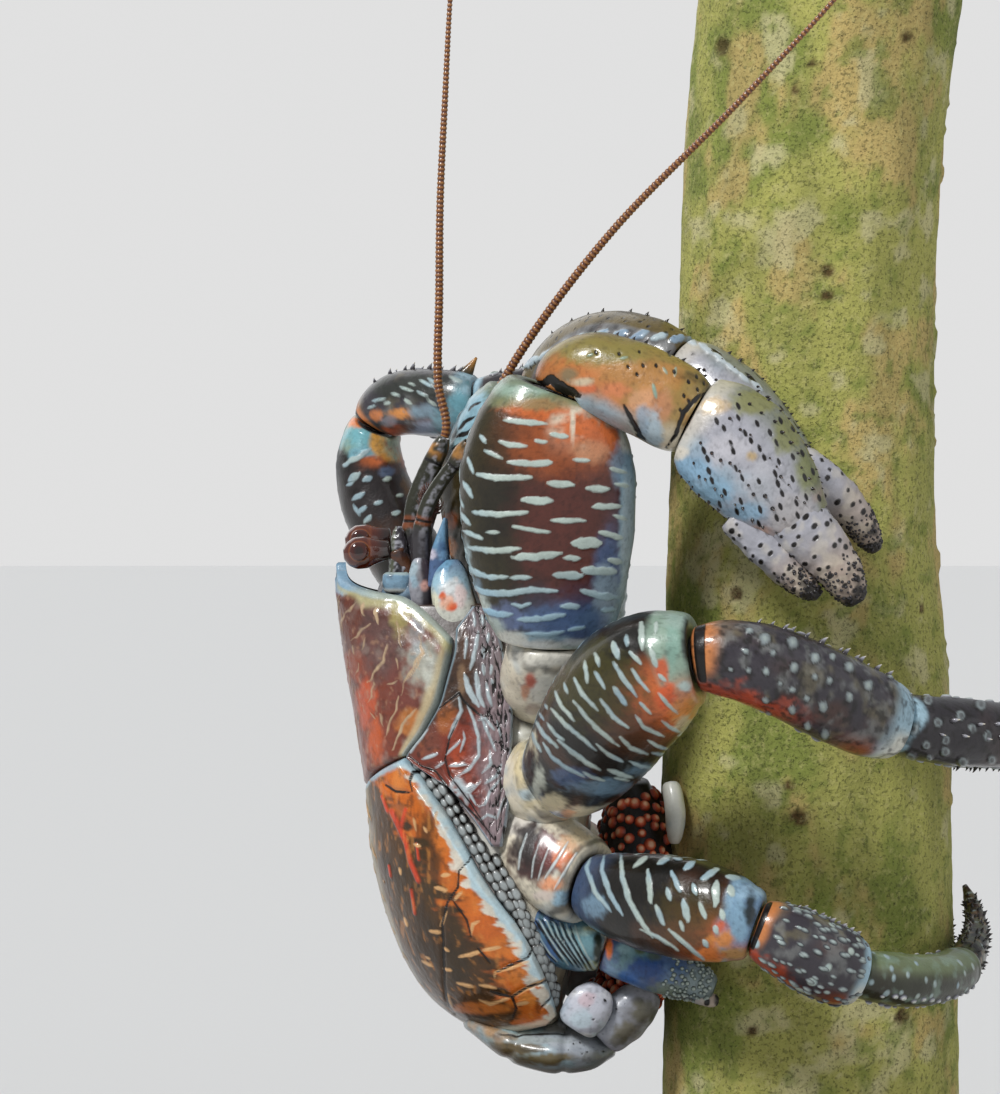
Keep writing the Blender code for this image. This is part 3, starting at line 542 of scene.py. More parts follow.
shellLooks = {
    "shieldHorn": {"rough": 0.32, "coat": 0.4, "coatRough": 0.1, "cloudRise": 0.5,
                   "specular": 0.32},
    "limbHorn": {"rough": 0.32, "coat": 0.35, "coatRough": 0.1, "markRise": 0.12,
                 "specular": 0.3},
    "handHorn": {"rough": 0.34, "coat": 0.35, "coatRough": 0.1, "speck": 0.25, "shade": 0.8,
                 "lift": 1.15, "specular": 0.35},
    "softSkin": {"rough": 0.5, "coat": 0.25, "cloudRise": 0.8, "fineRise": 0.15},
    "creamPlate": {"rough": 0.4, "coat": 0.45, "speck": 0.2, "shade": 0.85, "lift": 1.12},
    "eyeGloss": {"rough": 0.12, "coat": 1.0, "coatRough": 0.03, "cloudRise": 0.02,
                 "fineRise": 0.01, "speck": 0.1, "shade": 0.85, "lift": 1.1},
    "feelerHorn": {"rough": 0.35, "coat": 0.4, "cloudScale": 500.0, "cloudRise": 0.05},
}
finishes = {name: shellFinish(name, look) for name, look in shellLooks.items()}
print("finishes mixed")

# limbs
forms = {
    "ischium": ((0.0, 0.85, 0.85), (0.45, 1.0, 1.0), (0.85, 0.98, 0.98), (1.0, 0.84, 0.84)),
    "merus": ((0.0, 0.62, 0.66), (0.07, 0.74, 0.80), (0.2, 0.85, 0.92), (0.42, 0.98, 1.0),
              (0.68, 1.0, 1.0), (0.86, 0.88, 0.92), (0.96, 0.72, 0.80), (1.0, 0.62, 0.70)),
    "carpus": ((0.0, 0.68, 0.68), (0.08, 0.82, 0.84), (0.3, 0.94, 0.98), (0.62, 1.0, 1.0),
               (0.88, 0.97, 0.94), (1.0, 0.80, 0.80)),
    "propodus": ((0.0, 0.80, 0.80), (0.07, 0.92, 0.92), (0.3, 1.0, 1.0), (0.65, 0.92, 0.92),
                 (0.93, 0.80, 0.80), (1.0, 0.66, 0.66)),
    "dactylus": ((0.0, 0.86, 0.86), (0.1, 1.0, 1.0), (0.4, 0.86, 0.86), (0.7, 0.62, 0.62),
                 (0.9, 0.38, 0.38), (1.0, 0.14, 0.14)),
    "palm": ((0.0, 0.76, 0.72), (0.12, 0.92, 0.9), (0.4, 1.0, 1.0), (0.7, 0.92, 0.92),
             (0.9, 0.7, 0.7), (1.0, 0.42, 0.45)),
    "hand": ((0.0, 0.76, 0.72), (0.12, 0.92, 0.9), (0.35, 1.0, 1.0), (0.6, 0.9, 0.92),
             (0.82, 0.7, 0.72), (1.0, 0.46, 0.48)),
    "tip": ((0.0, 0.6, 0.6), (0.25, 0.94, 0.9), (0.4, 1.0, 1.0), (0.6, 0.86, 0.9), (0.85, 0.62, 0.68),
            (0.96, 0.42, 0.45), (1.0, 0.2, 0.2)),
    "finger": ((0.0, 0.7, 0.7), (0.3, 1.0, 1.0), (0.6, 0.86, 0.9), (0.85, 0.66, 0.7),
               (0.96, 0.42, 0.45), (1.0, 0.2, 0.2)),
}

inks = {
    "black": tone(23, 20, 15), "olive": tone(74, 66, 34), "brown": tone(84, 52, 34),
    "maroon": tone(86, 42, 34), "rust": tone(150, 78, 40), "orange": tone(200, 104, 52),
    "redOrange": tone(180, 72, 40), "salmon": tone(200, 146, 108), "ochre": tone(176, 124, 62),
    "teal": tone(134, 156, 140), "pale": tone(176, 190, 182), "paleBlue": tone(152, 182, 196),
    "blue": tone(78, 102, 140), "lightBlue": tone(122, 154, 176), "lilac": tone(160, 160, 168),
    "cream": tone(216, 206, 184), "white": tone(214, 214, 204), "greyGreen": tone(104, 110, 84),
    "plum": tone(56, 52, 58), "dark": tone(30, 26, 24), "tan": tone(168, 142, 112),
}


# lines and patches drawn as seen from the front: (half width, x, z, x, z, ...) in millimetres,
# and (ink, strength, x, z, half width, half height)
armBars = (
    (0.78, 1.1, 36.7, 13.7, 35.7), (0.71, -0.2, 30.6, 3, 29.6, 7.9, 29.3),
    (0.65, 10.1, 30.8, 13.7, 30.4), (0.78, 14.7, 32.8, 19.5, 32), (0.52, -4.4, 28, 0.7, 25.7),
    (0.97, 2.4, 24.6, 8.8, 24.1, 15, 24.6), (0.91, -6.4, 21.2, -0.9, 19.9, 9.2, 20.3),
    (1.04, 13.7, 18.6, 21.5, 18.1), (0.71, 21.1, 25.3, 26, 25.1), (0.97, 25.3, 17.1, 31.5, 16.8),
    (1.17, 6.6, 13.7, 15.3, 13.4), (0.84, -8, 10.2, -0.9, 9.3, 8.2, 10.2),
    (0.91, 26.6, 11.7, 34.7, 11.8), (0.78, 14.7, 7.8, 24.7, 7.6),
    (0.65, 3.7, 6, 8.8, 5, 14.7, 4.3), (0.52, -4.1, 4.3, -0.2, 4.3), (0.91, 28.9, 4.3, 35.4, 2.7),
    (1.55, 20.8, 1.1, 29.2, 1.1), (0.84, -9, -0.2, -1.5, -1.2, 5.9, -0.4),
    (1.1, 3.7, -3, 10.8, -2.8, 17.9, -1.8), (0.91, 18.5, -3.2, 23.1, -3.2),
    (1.1, 15.6, -8.1, 23.7, -8.3), (1.29, 24, -6.7, 33.4, -7.1),
    (0.78, -11.9, -4.4, -7.4, -7.3, -2.8, -8.8, 2.4, -8.6), (0.71, 3, -8.9, 9.2, -8.8),
    (0.97, -9.6, -11.2, -3.5, -13.5, 2.4, -13.5, 8.8, -12.5, 16.6, -12.7),
    (1.04, 23.4, -12.5, 28.9, -14.1, 33.8, -14.6), (0.58, 3.3, -16.6, 6.2, -17.3, 8.8, -16.4),
    (0.84, 17.9, -17.2, 23.1, -17.2), (0.84, 4.9, -21.1, 12.1, -20.9, 18.9, -19.6),
    (0.91, -5.4, -18, -0.9, -19.6, 3.7, -19.6), (0.58, 7.5, -25.1, 13.4, -25.4, 18.5, -24.5),
    (0.78, 31.5, -3.7, 35.4, -4.4), (0.78, 29.5, -18.3, 33.4, -18), (0.65, 32.8, 9.2, 36.7, 7.9),
    (0.65, 33.4, 18.3, 37.3, 17.6), (0.65, 32.1, 22.8, 36.7, 21.5),
    (0.58, 19.8, -24.1, 24.4, -23.2), (0.65, -9.3, 25.7, -7.7, 21.5),
    (0.65, -10.6, 18.9, -8, 14.4), (0.58, -12.7, 15.4, -10.6, 11.5),
    (0.71, -12.2, 10.2, -8.6, 6.6), (0.65, -10.6, 4.7, -5.1, 2.4), (0.71, -12.7, 1.1, -9.6, -1.8),
    (0.58, -5.7, 32.5, -4.1, 30.2))
armDabs = (
    ("maroon", 0.9, 15.9, 4.7, 14.9, 19.4), ("rust", 0.75, 15.9, 26.7, 14.2, 8.4),
    ("orange", 0.95, 10.8, 40.3, 11, 2.9), ("orange", 1, 25, 34.4, 9.7, 5.8),
    ("salmon", 0.6, 26.3, 28, 7.1, 3.9), ("blue", 0.9, 19.8, -21.2, 14.9, 5.2),
    ("blue", 0.8, 31.5, -7.6, 4.5, 12.9), ((112, 128, 168), 0.6, 1.1, -20.6, 5.8, 3.9),
    ("cream", 0.9, 21.1, 35.1, 0.9, 5.8), ("paleBlue", 0.9, 36.7, 4.7, 2.6, 25.9),
    ("lightBlue", 0.7, 35.4, 24.1, 3.9, 7.8), ("white", 0.9, 36.7, 31.9, 2.6, 5.2),
    ("pale", 0.9, -2.8, -25.1, 3.9, 5.8), ("cream", 0.8, 4.3, -29.6, 3.9, 3.9),
    ("paleBlue", 0.8, 10.8, -26.4, 11.7, 1.7), ("lightBlue", 0.6, -8.6, -11.5, 3.2, 3.9),
    ("greyGreen", 0.7, -0.9, 42.9, 3.9, 2.6), ("teal", 0.9, 7.5, 45.1, 8.4, 1.9),
    ((170, 188, 194), 0.95, 37.2, -2, 2.6, 24), ((206, 206, 196), 0.95, 2, -27.0, 7, 2.4),
    ((206, 208, 204), 0.95, 13, -28.4, 8, 1.8), ((196, 202, 204), 0.9, 24, -27.6, 8, 1.6),
    ((166, 190, 196), 0.9, -10.2, -9, 2.2, 10), ((190, 202, 196), 0.9, -6, -20, 3, 6),
    ((120, 124, 84), 0.7, 12, 42, 14, 2.4), ((150, 170, 180), 0.7, 31, -14, 4, 9),
    ((90, 116, 150), 0.7, 27, -22, 6, 4),
    ("teal", 0.8, 28.9, 41.6, 3.9, 2.6), ("black", 0.6, -0.9, 11.1, 7.1, 16.8))
armSlot = ((1.04, 11.4, 48.4, 15.9, 46.4, 21.8, 44.2),)
secondBars = (
    (0.58, 10.1, -50, 12.5, -54.3, 16.8, -58.2), (0.58, 15.9, -41.8, 17.8, -46.1, 21.6, -50.5),
    (0.63, 21.6, -38, 24, -42.8, 28.4, -47.6), (0.58, 24.8, -33.1, 25.5, -39.4),
    (0.58, 27.6, -30.7, 28.9, -34.6), (0.87, 32.7, -27.4, 34.4, -32.4),
    (0.67, 36.8, -25.7, 37, -28.8), (0.96, 41.1, -22.3, 41.4, -29.8),
    (0.67, 45.4, -22.1, 45.2, -25), (0.58, 27.6, -36, 30.5, -41.3),
    (0.67, 32.9, -33.4, 35.6, -38, 39.7, -43.5), (0.63, 37.7, -30.5, 40.9, -33.9),
    (0.77, 43.5, -29.1, 45.4, -34.6), (0.53, 38.2, -35.3, 40.9, -39.4, 43.3, -42),
    (0.82, 32.9, -40.6, 36.5, -45.9), (0.63, 29.1, -44.2, 32.7, -49, 37.3, -52.4),
    (0.63, 21.4, -44.7, 25, -49.5, 28.9, -53.3, 34.6, -57.7),
    (0.63, 14.9, -46.9, 18.8, -51.4, 23.6, -55.3, 27.9, -59.1),
    (0.48, 13.7, -50.9, 15.9, -54.3, 18.5, -56),
    (0.67, 16.8, -56, 21.2, -59.6, 25, -62.5, 29.1, -64.6),
    (0.58, 12.5, -56.7, 14.9, -60.6, 18.8, -63.9, 24.5, -66.6),
    (0.53, 9.1, -53.3, 10.3, -56.7, 12, -59.4), (0.48, 24, -65.1, 26.9, -66.8, 30.3, -67.8),
    (0.58, 27.9, -57, 31.3, -60.1, 35.6, -62.2), (0.58, 34.9, -55, 38, -58.2, 42.8, -60.1),
    (0.58, 39.2, -48.8, 41.8, -52.4, 47.6, -55), (0.53, 40.6, -45.2, 43.8, -48.5),
    (0.53, 45.9, -42.3, 48.6, -45.6, 51.5, -48.3), (0.58, 46.9, -50.5, 49.5, -52.4, 52.4, -53.8),
    (0.48, 42.8, -56, 45.7, -57.9, 49, -58.6), (0.53, 37.5, -62, 40.9, -63.7, 46.2, -64.4),
    (0.63, 31.3, -64.4, 34.6, -65.8, 38.5, -67), (0.48, 44.2, -59.8, 48.1, -60.3, 51.9, -59.6),
    (0.67, 46.2, -37, 48.1, -38.9), (0.43, 18.5, -39.4, 19.7, -42.5),
    (0.38, 13, -45.6, 13.7, -47.1), (0.38, 11.3, -48.1, 12.7, -50.2),
    (0.43, 33.2, -67, 37.5, -67.8), (0.43, 51.5, -54.8, 55.3, -53.3))
secondDabs = (
    ((64, 60, 24), 0.8, 26.9, -39.4, 15.9, 14.4), ((88, 56, 34), 0.6, 40.9, -54.8, 11.5, 6.3),
    ("blue", 0.7, 20.2, -66.8, 6.3, 2.9), ("lightBlue", 0.6, 29.8, -69.7, 11.1, 2.4),
    ("lightBlue", 0.5, 43.3, -64.9, 7.7, 2.4),
    ((196, 84, 40), 0.9, 47.1, -35.6, 2.4, 4.3),
    ((206, 88, 42), 0.95, 48.6, -43.2, 3.4, 4.3), ((208, 132, 62), 0.9, 54.3, -48.1, 5.3, 5.3),
    ((190, 150, 90), 0.7, 58.7, -46.1, 4.3, 4.3), ((128, 160, 146), 0.95, 50, -28.3, 2.2, 9.1),
    ((170, 190, 186), 0.9, 53.4, -40.4, 2.4, 1.9), ((186, 180, 150), 0.8, 54.3, -51.9, 3.8, 2.9),
    ((150, 170, 160), 0.7, 51.5, -21.1, 5.3, 2.9), ((30, 34, 32), 0.95, 54.3, -26.9, 1.8, 6.3),
    ((150, 160, 150), 0.8, 56.7, -18.7, 3.8, 1.4))
thirdBars = (
    (0.65, 26.4, -90.1, 25, -92.9, 27.7, -100.3, 32.4, -105.9),
    (0.74, 30.1, -89.7, 29.6, -93.8, 31.9, -100.3, 35.6, -106.8),
    (0.74, 35.1, -89.2, 35.6, -95.7, 37.9, -103.1, 41.6, -109.6, 44.4, -113.3),
    (0.83, 43, -93.8, 43.9, -103.1), (0.74, 45.3, -104, 47.6, -109.6),
    (0.74, 49.9, -94.3, 52.2, -99.9), (0.74, 48.5, -98.9, 49.5, -102.6),
    (0.92, 53.2, -102.2, 54.6, -108.6), (0.55, 52.2, -108.6, 53.2, -111.4),
    (0.74, 55.9, -97.5, 56.9, -100.8), (0.74, 57.8, -103.1, 59.6, -107.7),
    (1.2, 62.9, -97.1, 62.4, -104), (0.83, 64.3, -105.4, 64.7, -107.7),
    (0.83, 62.4, -110.5, 62.9, -111.9), (0.74, 59.2, -114.2, 60.1, -116),
    (0.83, 38.8, -92.9, 42.5, -89.7), (0.83, 45.8, -92, 49.5, -89.7),
    (0.65, 50.4, -90.1, 52.7, -90.6), (0.83, 53.6, -93.4, 56.4, -91.5),
    (1.02, 58.7, -96.2, 63.3, -93.4), (0.83, 65.7, -95.7, 69.4, -96.2),
    (1.02, 66.6, -98.5, 67.5, -100.8), (0.65, 49, -110.9, 53.6, -115.1, 59.2, -119.7),
    (0.55, 40.7, -110.9, 46.2, -113.3, 51.8, -117))
thirdDabs = (
    ((70, 60, 22), 0.6, 55.5, -106.8, 11.1, 10.2), ((88, 56, 30), 0.6, 51.8, -112.3, 9.2, 3.7),
    ((190, 84, 40), 0.9, 63.8, -110.5, 2.8, 2.8), ((206, 130, 60), 0.95, 64.7, -114.2, 4.2, 3.7),
    ((180, 140, 80), 0.8, 67.5, -117.9, 5.5, 2.2), ("lightBlue", 1, 69.4, -107.7, 2.8, 8.3),
    ((150, 180, 200), 0.8, 72.1, -100.3, 5.5, 2.8), ((30, 34, 32), 0.95, 72.6, -104.9, 2, 5.5),
    ((210, 120, 60), 0.9, 61, -118.8, 4.6, 2.2), ("lightBlue", 0.7, 27.7, -104, 3.7, 3.7))
wristSpots = (
    (2.01, 76.8, -26.3, 76.9, -27.2), (1.07, 71.7, -24.5, 73, -24.4),
    (0.95, 70.7, -30.2, 71.7, -30.2), (1.18, 79, -30.9, 79.3, -30.6),
    (2.01, 84.6, -27.5, 84.9, -28.3), (1.54, 85.3, -33.7, 85.3, -36.1),
    (1.18, 76.9, -35.2, 77.3, -37), (1.66, 91.1, -31.3, 91.3, -33.1),
    (1.01, 96.3, -31.3, 96.3, -32.7), (1.18, 91.1, -37.3, 91.4, -38),
    (1.18, 95.3, -38.6, 95.6, -38.9), (1.6, 101.2, -34, 101.3, -35.8),
    (1.6, 106.9, -39.3, 106.9, -41.1), (1.18, 101.3, -42, 101.3, -45),
    (0.71, 112.3, -37.7, 113.8, -38.1), (1.07, 76.8, -44.1, 77.5, -44.5),
    (1.12, 77.5, -48.2, 77.9, -49), (1.3, 81.5, -52.7, 82.1, -53.8),
    (1.18, 84.6, -46.1, 84.9, -48.5), (1.18, 89, -50.9, 89.4, -52.5),
    (1.42, 87.7, -56.2, 89, -56.5), (1.48, 94.1, -53.2, 94.3, -55),
    (1.66, 93.6, -45.3, 93.7, -47), (0.95, 83.9, -41.3, 85.6, -41.5),
    (1.01, 88.8, -43.7, 89.1, -44), (0.77, 80.9, -39.6, 81.6, -39.6),
    (0.95, 71.8, -35.8, 72.2, -35.8), (0.83, 67, -35.4, 67.1, -35.7))
handSpots = (
    (1.66, 124.1, -43.8, 124.1, -45.3), (1.36, 131.5, -42.5, 132.7, -42.7),
    (1.66, 139.2, -45.3, 139.5, -46.7), (1.48, 133.3, -48.4, 133.6, -49.7),
    (1.48, 126.5, -50.6, 127.2, -51.1), (1.78, 119.7, -51.9, 119.8, -53.4),
    (1.36, 136.8, -52.1, 137, -53.2), (1.36, 141.3, -53.2, 141.4, -56.2),
    (1.3, 129.3, -55, 129.1, -56.8), (1.42, 129, -58.6, 129.3, -59.9),
    (1.3, 123.5, -57.3, 123.7, -57.5), (1.54, 134.2, -61.7, 134.3, -62.5),
    (1.3, 142.5, -61.2, 142.6, -61.8), (1.18, 117.9, -47.9, 118, -49.1),
    (0.95, 118.5, -44.3, 118.6, -44.5), (1.3, 118.2, -60.1, 120.3, -61.2),
    (0.83, 124.1, -60.9, 124.9, -61))
wristMarks = (
    (0.59, 44.4, 47.3, 45.3, 43.3), (0.37, 51, 52.3, 50.7, 49.4), (0.37, 34.8, 54.7, 37, 55.1),
    (0.37, 47.3, 52.3, 48.5, 50.1), (0.37, 25.2, 55.3, 27, 56))
wristPits = (
    (0.67, 48.1, 28.5, 51, 32.4, 53.3, 39, 57.7, 43.8, 64.4, 45.3),
    (1.63, 11.1, 47, 14.8, 48.5, 19.4, 45.1, 22.9, 43.8),
    (0.74, 35.9, 41.2, 37.7, 37.5, 39.9, 33.1, 43.6, 27.2)) + tuple(
        (0.44, x, z, x + 0.23, z - 0.73) for x, z in (
    (27.7, 56.8), (34.4, 56.4), (40.3, 57.1), (41.4, 53.1), (45.3, 53.1), (49.2, 56.4),
    (50.5, 51.2), (39.6, 50.5), (37, 52.7), (54.7, 42.7), (53.3, 44.2), (52.2, 40.1), (57.3, 46),
    (59.2, 47.9), (62.5, 48.6), (54.7, 48.3), (57, 49.7)))
wristDabs = (
    ((130, 118, 60), 0.95, 31.8, 56.8, 19.2, 4.6), ((140, 118, 62), 0.9, 51.8, 54.6, 12.6, 5.2),
    ((168, 120, 66), 0.85, 41.4, 50.1, 14.1, 4.4), ((204, 124, 82), 0.8, 33.3, 45.3, 7, 2.6),
    ((206, 104, 62), 0.8, 25.2, 46, 4, 1.8), ((186, 128, 92), 0.8, 46.2, 41.2, 4.4, 5.9),
    ((214, 160, 120), 0.7, 41.4, 43.5, 4.4, 3.7), ((166, 184, 194), 0.95, 44.4, 31.6, 3, 8.1),
    ((150, 172, 190), 0.8, 41.4, 36.1, 1.9, 5.2), ((214, 200, 166), 0.9, 48.1, 26.4, 2.5, 2.5),
    ((196, 170, 110), 0.9, 58.4, 40.5, 4.4, 3.7), ((150, 160, 140), 0.7, 63.6, 43.5, 4.4, 3),
    ((118, 112, 84), 0.8, 20, 50.1, 3.7, 2.2), ((196, 188, 160), 0.8, 23.7, 47.9, 3.7, 1.6))
palmPits = tuple((0.52, x, z, x + 0.74, z - 1.92) for x, z in (
    (68.8, 41.8), (68.8, 38.5), (74.3, 36.7), (70.8, 33.9), (81, 37.4), (79.9, 31.1), (84.7, 35.5),
    (74.9, 29.5), (76.3, 26.8), (66.6, 31.1), (67.3, 28.7), (64.7, 35.2), (62.5, 37.4),
    (68.1, 23.7), (69.9, 21), (74.7, 20), (60.3, 23), (61.2, 20.2), (58.8, 28.9), (59.9, 26.5),
    (80.3, 19.3), (81.5, 16.5), (79.5, 22.2), (84.5, 20.7), (84.7, 27), (80.6, 25.6), (87.3, 28.1),
    (88, 21.1), (90.3, 22.8), (88.4, 15.4), (92.1, 15.2), (85.6, 13.7), (81, 12.6), (75.1, 11.7),
    (79.9, 9.3), (69.5, 14.2), (64.9, 16.9), (68.4, 11.1), (63.4, 13.2), (86, 10), (91.7, 9.9),
    (89.1, 5.8), (94.5, 11.7), (95.8, 7.3), (94.7, 4), (98.2, 5.1), (94, 0.9), (85.4, 3.6),
    (90.3, -2), (96.7, -5.9), (93.6, -4.2), (81.7, 3.4), (74.7, 7.8), (97.4, 2.1), (99.3, 0.6),
    (101, -2.9), (72.5, 31.8), (78, 34.1)))
palmDabs = (
    ((128, 128, 80), 0.9, 74.7, 42, 7.4, 4.4), ((126, 128, 78), 0.9, 82.9, 33.1, 5.2, 6.7),
    ((122, 126, 80), 0.9, 89.5, 22.7, 4.4, 7.4), ((118, 120, 80), 0.85, 96.2, 11.6, 3.7, 8.1),
    ((136, 172, 198), 0.95, 54.7, 22.7, 6.7, 4.4), ((140, 176, 200), 0.95, 61.4, 15.3, 6.7, 4.4),
    ((140, 174, 198), 0.9, 71, 10.2, 6.7, 3.4), ((184, 182, 188), 0.9, 66.6, 28.7, 8.1, 5.9),
    ((178, 178, 184), 0.85, 77.7, 18.3, 8.1, 6.7), ((176, 172, 172), 0.8, 85.1, 7.9, 6.7, 8.1),
    ((196, 170, 130), 0.9, 62.1, 40.5, 4.4, 2.7), ((196, 172, 140), 0.8, 87.3, -0.2, 4.4, 4.4),
    ((196, 166, 130), 0.85, 98.4, -5.4, 5.2, 4.4), ((186, 156, 100), 0.8, 72.9, 26.4, 1.8, 1.5),
    ((200, 160, 140), 0.7, 74.7, 4.2, 4.4, 2.2), ((214, 206, 190), 0.8, 51.8, 27.2, 3.7, 2.2))
rootDabs1 = (
    ((208, 204, 192), 1, 12.5, -31.7, 11.5, 3.4), ((216, 212, 200), 1, 12.5, -41.3, 6.3, 5.3),
    ((178, 72, 42), 0.95, 8.7, -38.4, 2, 2.9), ((200, 130, 90), 0.8, 7.2, -42.3, 1.4, 2.4),
    ((150, 120, 110), 0.6, 9.6, -47.1, 2.9, 1.9), ((190, 150, 120), 0.5, 14.4, -29.3, 4.8, 1))
rootDabs2 = (
    ((206, 190, 150), 0.95, 7.2, -63, 3.8, 9.6), ((200, 186, 150), 0.9, 15.9, -74.5, 9.6, 3.4),
    ((168, 186, 192), 0.9, 8.2, -71.6, 3.4, 1.9), ((190, 130, 90), 0.8, 18.8, -76.4, 2.9, 1.9),
    ((214, 206, 186), 0.8, 26.9, -76.9, 7.7, 2.4))
rimDabs2 = (
    ((196, 188, 160), 1, 8.7, -58, 2.6, 6), ((186, 190, 176), 1, 10.5, -68, 2.8, 5),
    ((206, 194, 160), 1, 15.5, -74.5, 5, 3), ((206, 196, 168), 1, 24, -77.5, 7, 2.6),
    ((196, 196, 180), 0.9, 33, -76, 5, 2), ((16, 14, 12), 1, 8.6, -64.5, 2.2, 8),
    ((196, 128, 84), 0.8, 19.5, -77.5, 2.4, 1.6))
rootPits2 = (
    (1.92, 9.6, -58.6, 9, -64.4, 11.2, -69.7, 14.4, -72.8), (0.67, 14.4, -72.8, 16.8, -75))
# the second to fourth dabs paint a hollow: red-brown flesh with painted shade, darkest in its middle
rootDabsAndHollowShade3 = (
    ((206, 200, 190), 0.95, 4.7, -79.9, 5.7, 5.7), ((62, 28, 24), 1, 10.4, -89.9, 9, 10.4),
    ((26, 18, 15), 0.9, 8.4, -87, 5.6, 7), ((104, 36, 30), 0.8, 14.6, -88.7, 4.6, 6),
    ((206, 110, 60), 0.9, 17.9, -89.9, 3.1, 3.8), ((214, 140, 96), 0.9, 14.7, -97.5, 3.8, 2.5),
    ((206, 160, 120), 0.8, 19.8, -86.2, 3.8, 2.5), ((216, 196, 160), 0.85, 23.5, -83.6, 3.1, 3.1),
    ((140, 176, 196), 0.9, 17.9, -101.9, 3.1, 2.5),
    ((196, 200, 196), 0.9, 22.9, -102.5, 3.8, 2.3),
    ((206, 190, 180), 0.8, 12.2, -101.2, 3.8, 1.6))
rootMarks3 = (
    (0.38, 12.9, -96.2, 16.3, -91.2, 19.8, -85.5), (0.31, 15.7, -99.4, 19.1, -93.7, 22.3, -88.7),
    (0.25, 5.3, -93.7, 5.9, -88.7, 7.8, -83), (0.19, 9.1, -96.2, 9.7, -91.2, 11.6, -84.9),
    (0.19, 11, -96.8, 12.2, -92.4, 14.1, -87.4))

smallBars = (
    (0.26, 11.4, -108.2, 13.7, -112.4, 16.7, -116.9, 19.8, -121.2),
    (0.26, 13.5, -108.3, 15.6, -112.9, 18.6, -117.3, 22.1, -121.8),
    (0.26, 15.6, -108.8, 17.1, -113.1, 20.1, -117.5, 23.7, -122.3),
    (0.21, 17.3, -109, 18.8, -113.1, 21.7, -117.8, 24.9, -122.7),
    (0.21, 19.2, -109.3, 20.5, -113.3, 23.2, -117.8, 26.5, -123.1),
    (0.26, 21.8, -109.9, 23, -113.9, 25.1, -118.2, 28.9, -124.1),
    (0.21, 9.8, -109.5, 12.1, -114.4, 14.5, -118.2, 16.6, -120.3))
smallLines = (
    (0.3, 10.4, -108.4, 12.8, -112.2, 15.3, -116.5, 18.3, -120.7),
    (0.3, 12.3, -108, 14.7, -112.7, 17.9, -117.3, 21.3, -121.6),
    (0.3, 14.7, -108.6, 16.4, -113.1, 19.4, -117.3, 23, -122),
    (0.26, 16.4, -109, 17.9, -113.1, 20.8, -117.8, 24.2, -122.4),
    (0.26, 18.1, -109, 19.6, -113.1, 22.5, -117.8, 25.5, -122.9),
    (0.26, 20.4, -109.7, 21.5, -113.5, 23.8, -117.8, 27.2, -123.3),
    (0.26, 9.7, -110.6, 11.9, -115.2, 14, -118.6, 16.2, -120.7))
smallDabs = (
    ((74, 110, 124), 1, 20.4, -115.6, 14, 9.4), ((52, 84, 132), 0.85, 14, -117.3, 3.8, 5.1),
    ((112, 152, 160), 0.9, 24.7, -114.8, 3.4, 5.1),
    ((150, 176, 170), 0.8, 23.8, -111.4, 5.1, 1.3),
    ((176, 178, 140), 0.9, 30.6, -110.7, 5.5, 0.9), ((190, 186, 140), 0.95, 32.3, -125, 4.7, 1.3),
    ((160, 168, 130), 0.9, 26.4, -121.6, 2.6, 1.7), ((34, 42, 32), 1, 28.4, -116.5, 1.5, 5),
    ((236, 122, 56), 1, 31.7, -116.1, 1.4, 3.2), ((170, 150, 118), 0.9, 34.9, -111.6, 1.9, 1.4),
    ((180, 146, 130), 0.9, 32.5, -123.7, 1.9, 1.3))
smallHandDabs = (
    ((104, 140, 146), 1, 38.3, -119.5, 7.2, 5.1), ((150, 184, 190), 0.9, 36.2, -116.5, 3.4, 2.1),
    ((34, 74, 136), 1, 42.5, -122.4, 7.2, 3.8), ((46, 90, 150), 0.8, 38.3, -125, 4.7, 2.6),
    ((96, 108, 74), 0.9, 40.8, -116.5, 2.1, 1.7), ((236, 122, 56), 1, 31.8, -116.5, 1.3, 3.2),
    ((84, 96, 66), 0.7, 45.1, -118.6, 2.6, 1.7), ((120, 132, 108), 0.8, 49.3, -128.8, 6.4, 2.6),
    ((134, 150, 150), 0.9, 57.4, -125.8, 6, 5.5))
farBars = (
    (0.98, -43.6, 19.5, -41, 21.2), (0.81, -39.5, 19.3, -37.5, 20.1),
    (0.81, -33.6, 19.5, -32, 19.9), (0.73, -42.8, 13.8, -39.1, 15.7),
    (0.65, -36.3, 12.4, -34.2, 13.2), (0.57, -29.8, 14.9, -28.4, 15.1),
    (0.65, -41, 10.2, -38.7, 11.6), (0.73, -39.3, 7.3, -37.3, 9), (0.65, -31.2, 9.6, -29.2, 10.2),
    (0.49, -42.4, 12.2, -40.6, 9), (0.49, -44.4, 17.9, -42.6, 18.7),
    (0.89, -44.4, 24.4, -40.4, 26.4, -37.5, 28.5), (0.57, -45.6, 23.6, -44, 24))
farDabs = (
    ((42, 36, 36), 1, -35.9, 15.9, 13.8, 10.6), ((112, 168, 176), 1, -40.4, 31.7, 6.9, 4.5),
    ((112, 160, 172), 1, -40.4, 27.3, 4.9, 2), ((216, 124, 62), 1, -42.4, 36.4, 5.3, 1.8),
    ((200, 148, 72), 1, -35.1, 30.9, 2.4, 4.5), ((190, 140, 70), 0.9, -31, 26.4, 3.7, 2),
    ((160, 182, 156), 1, -29.8, 33.4, 4.5, 7.3), ((146, 172, 160), 1, -25.3, 22.8, 2.4, 6.1),
    ((96, 66, 30), 0.9, -26.1, 17.9, 2.4, 3.7), ((74, 50, 40), 0.7, -32.2, 22.8, 3.7, 2),
    ((90, 110, 140), 0.7, -33, 22, 2.4, 1.6))
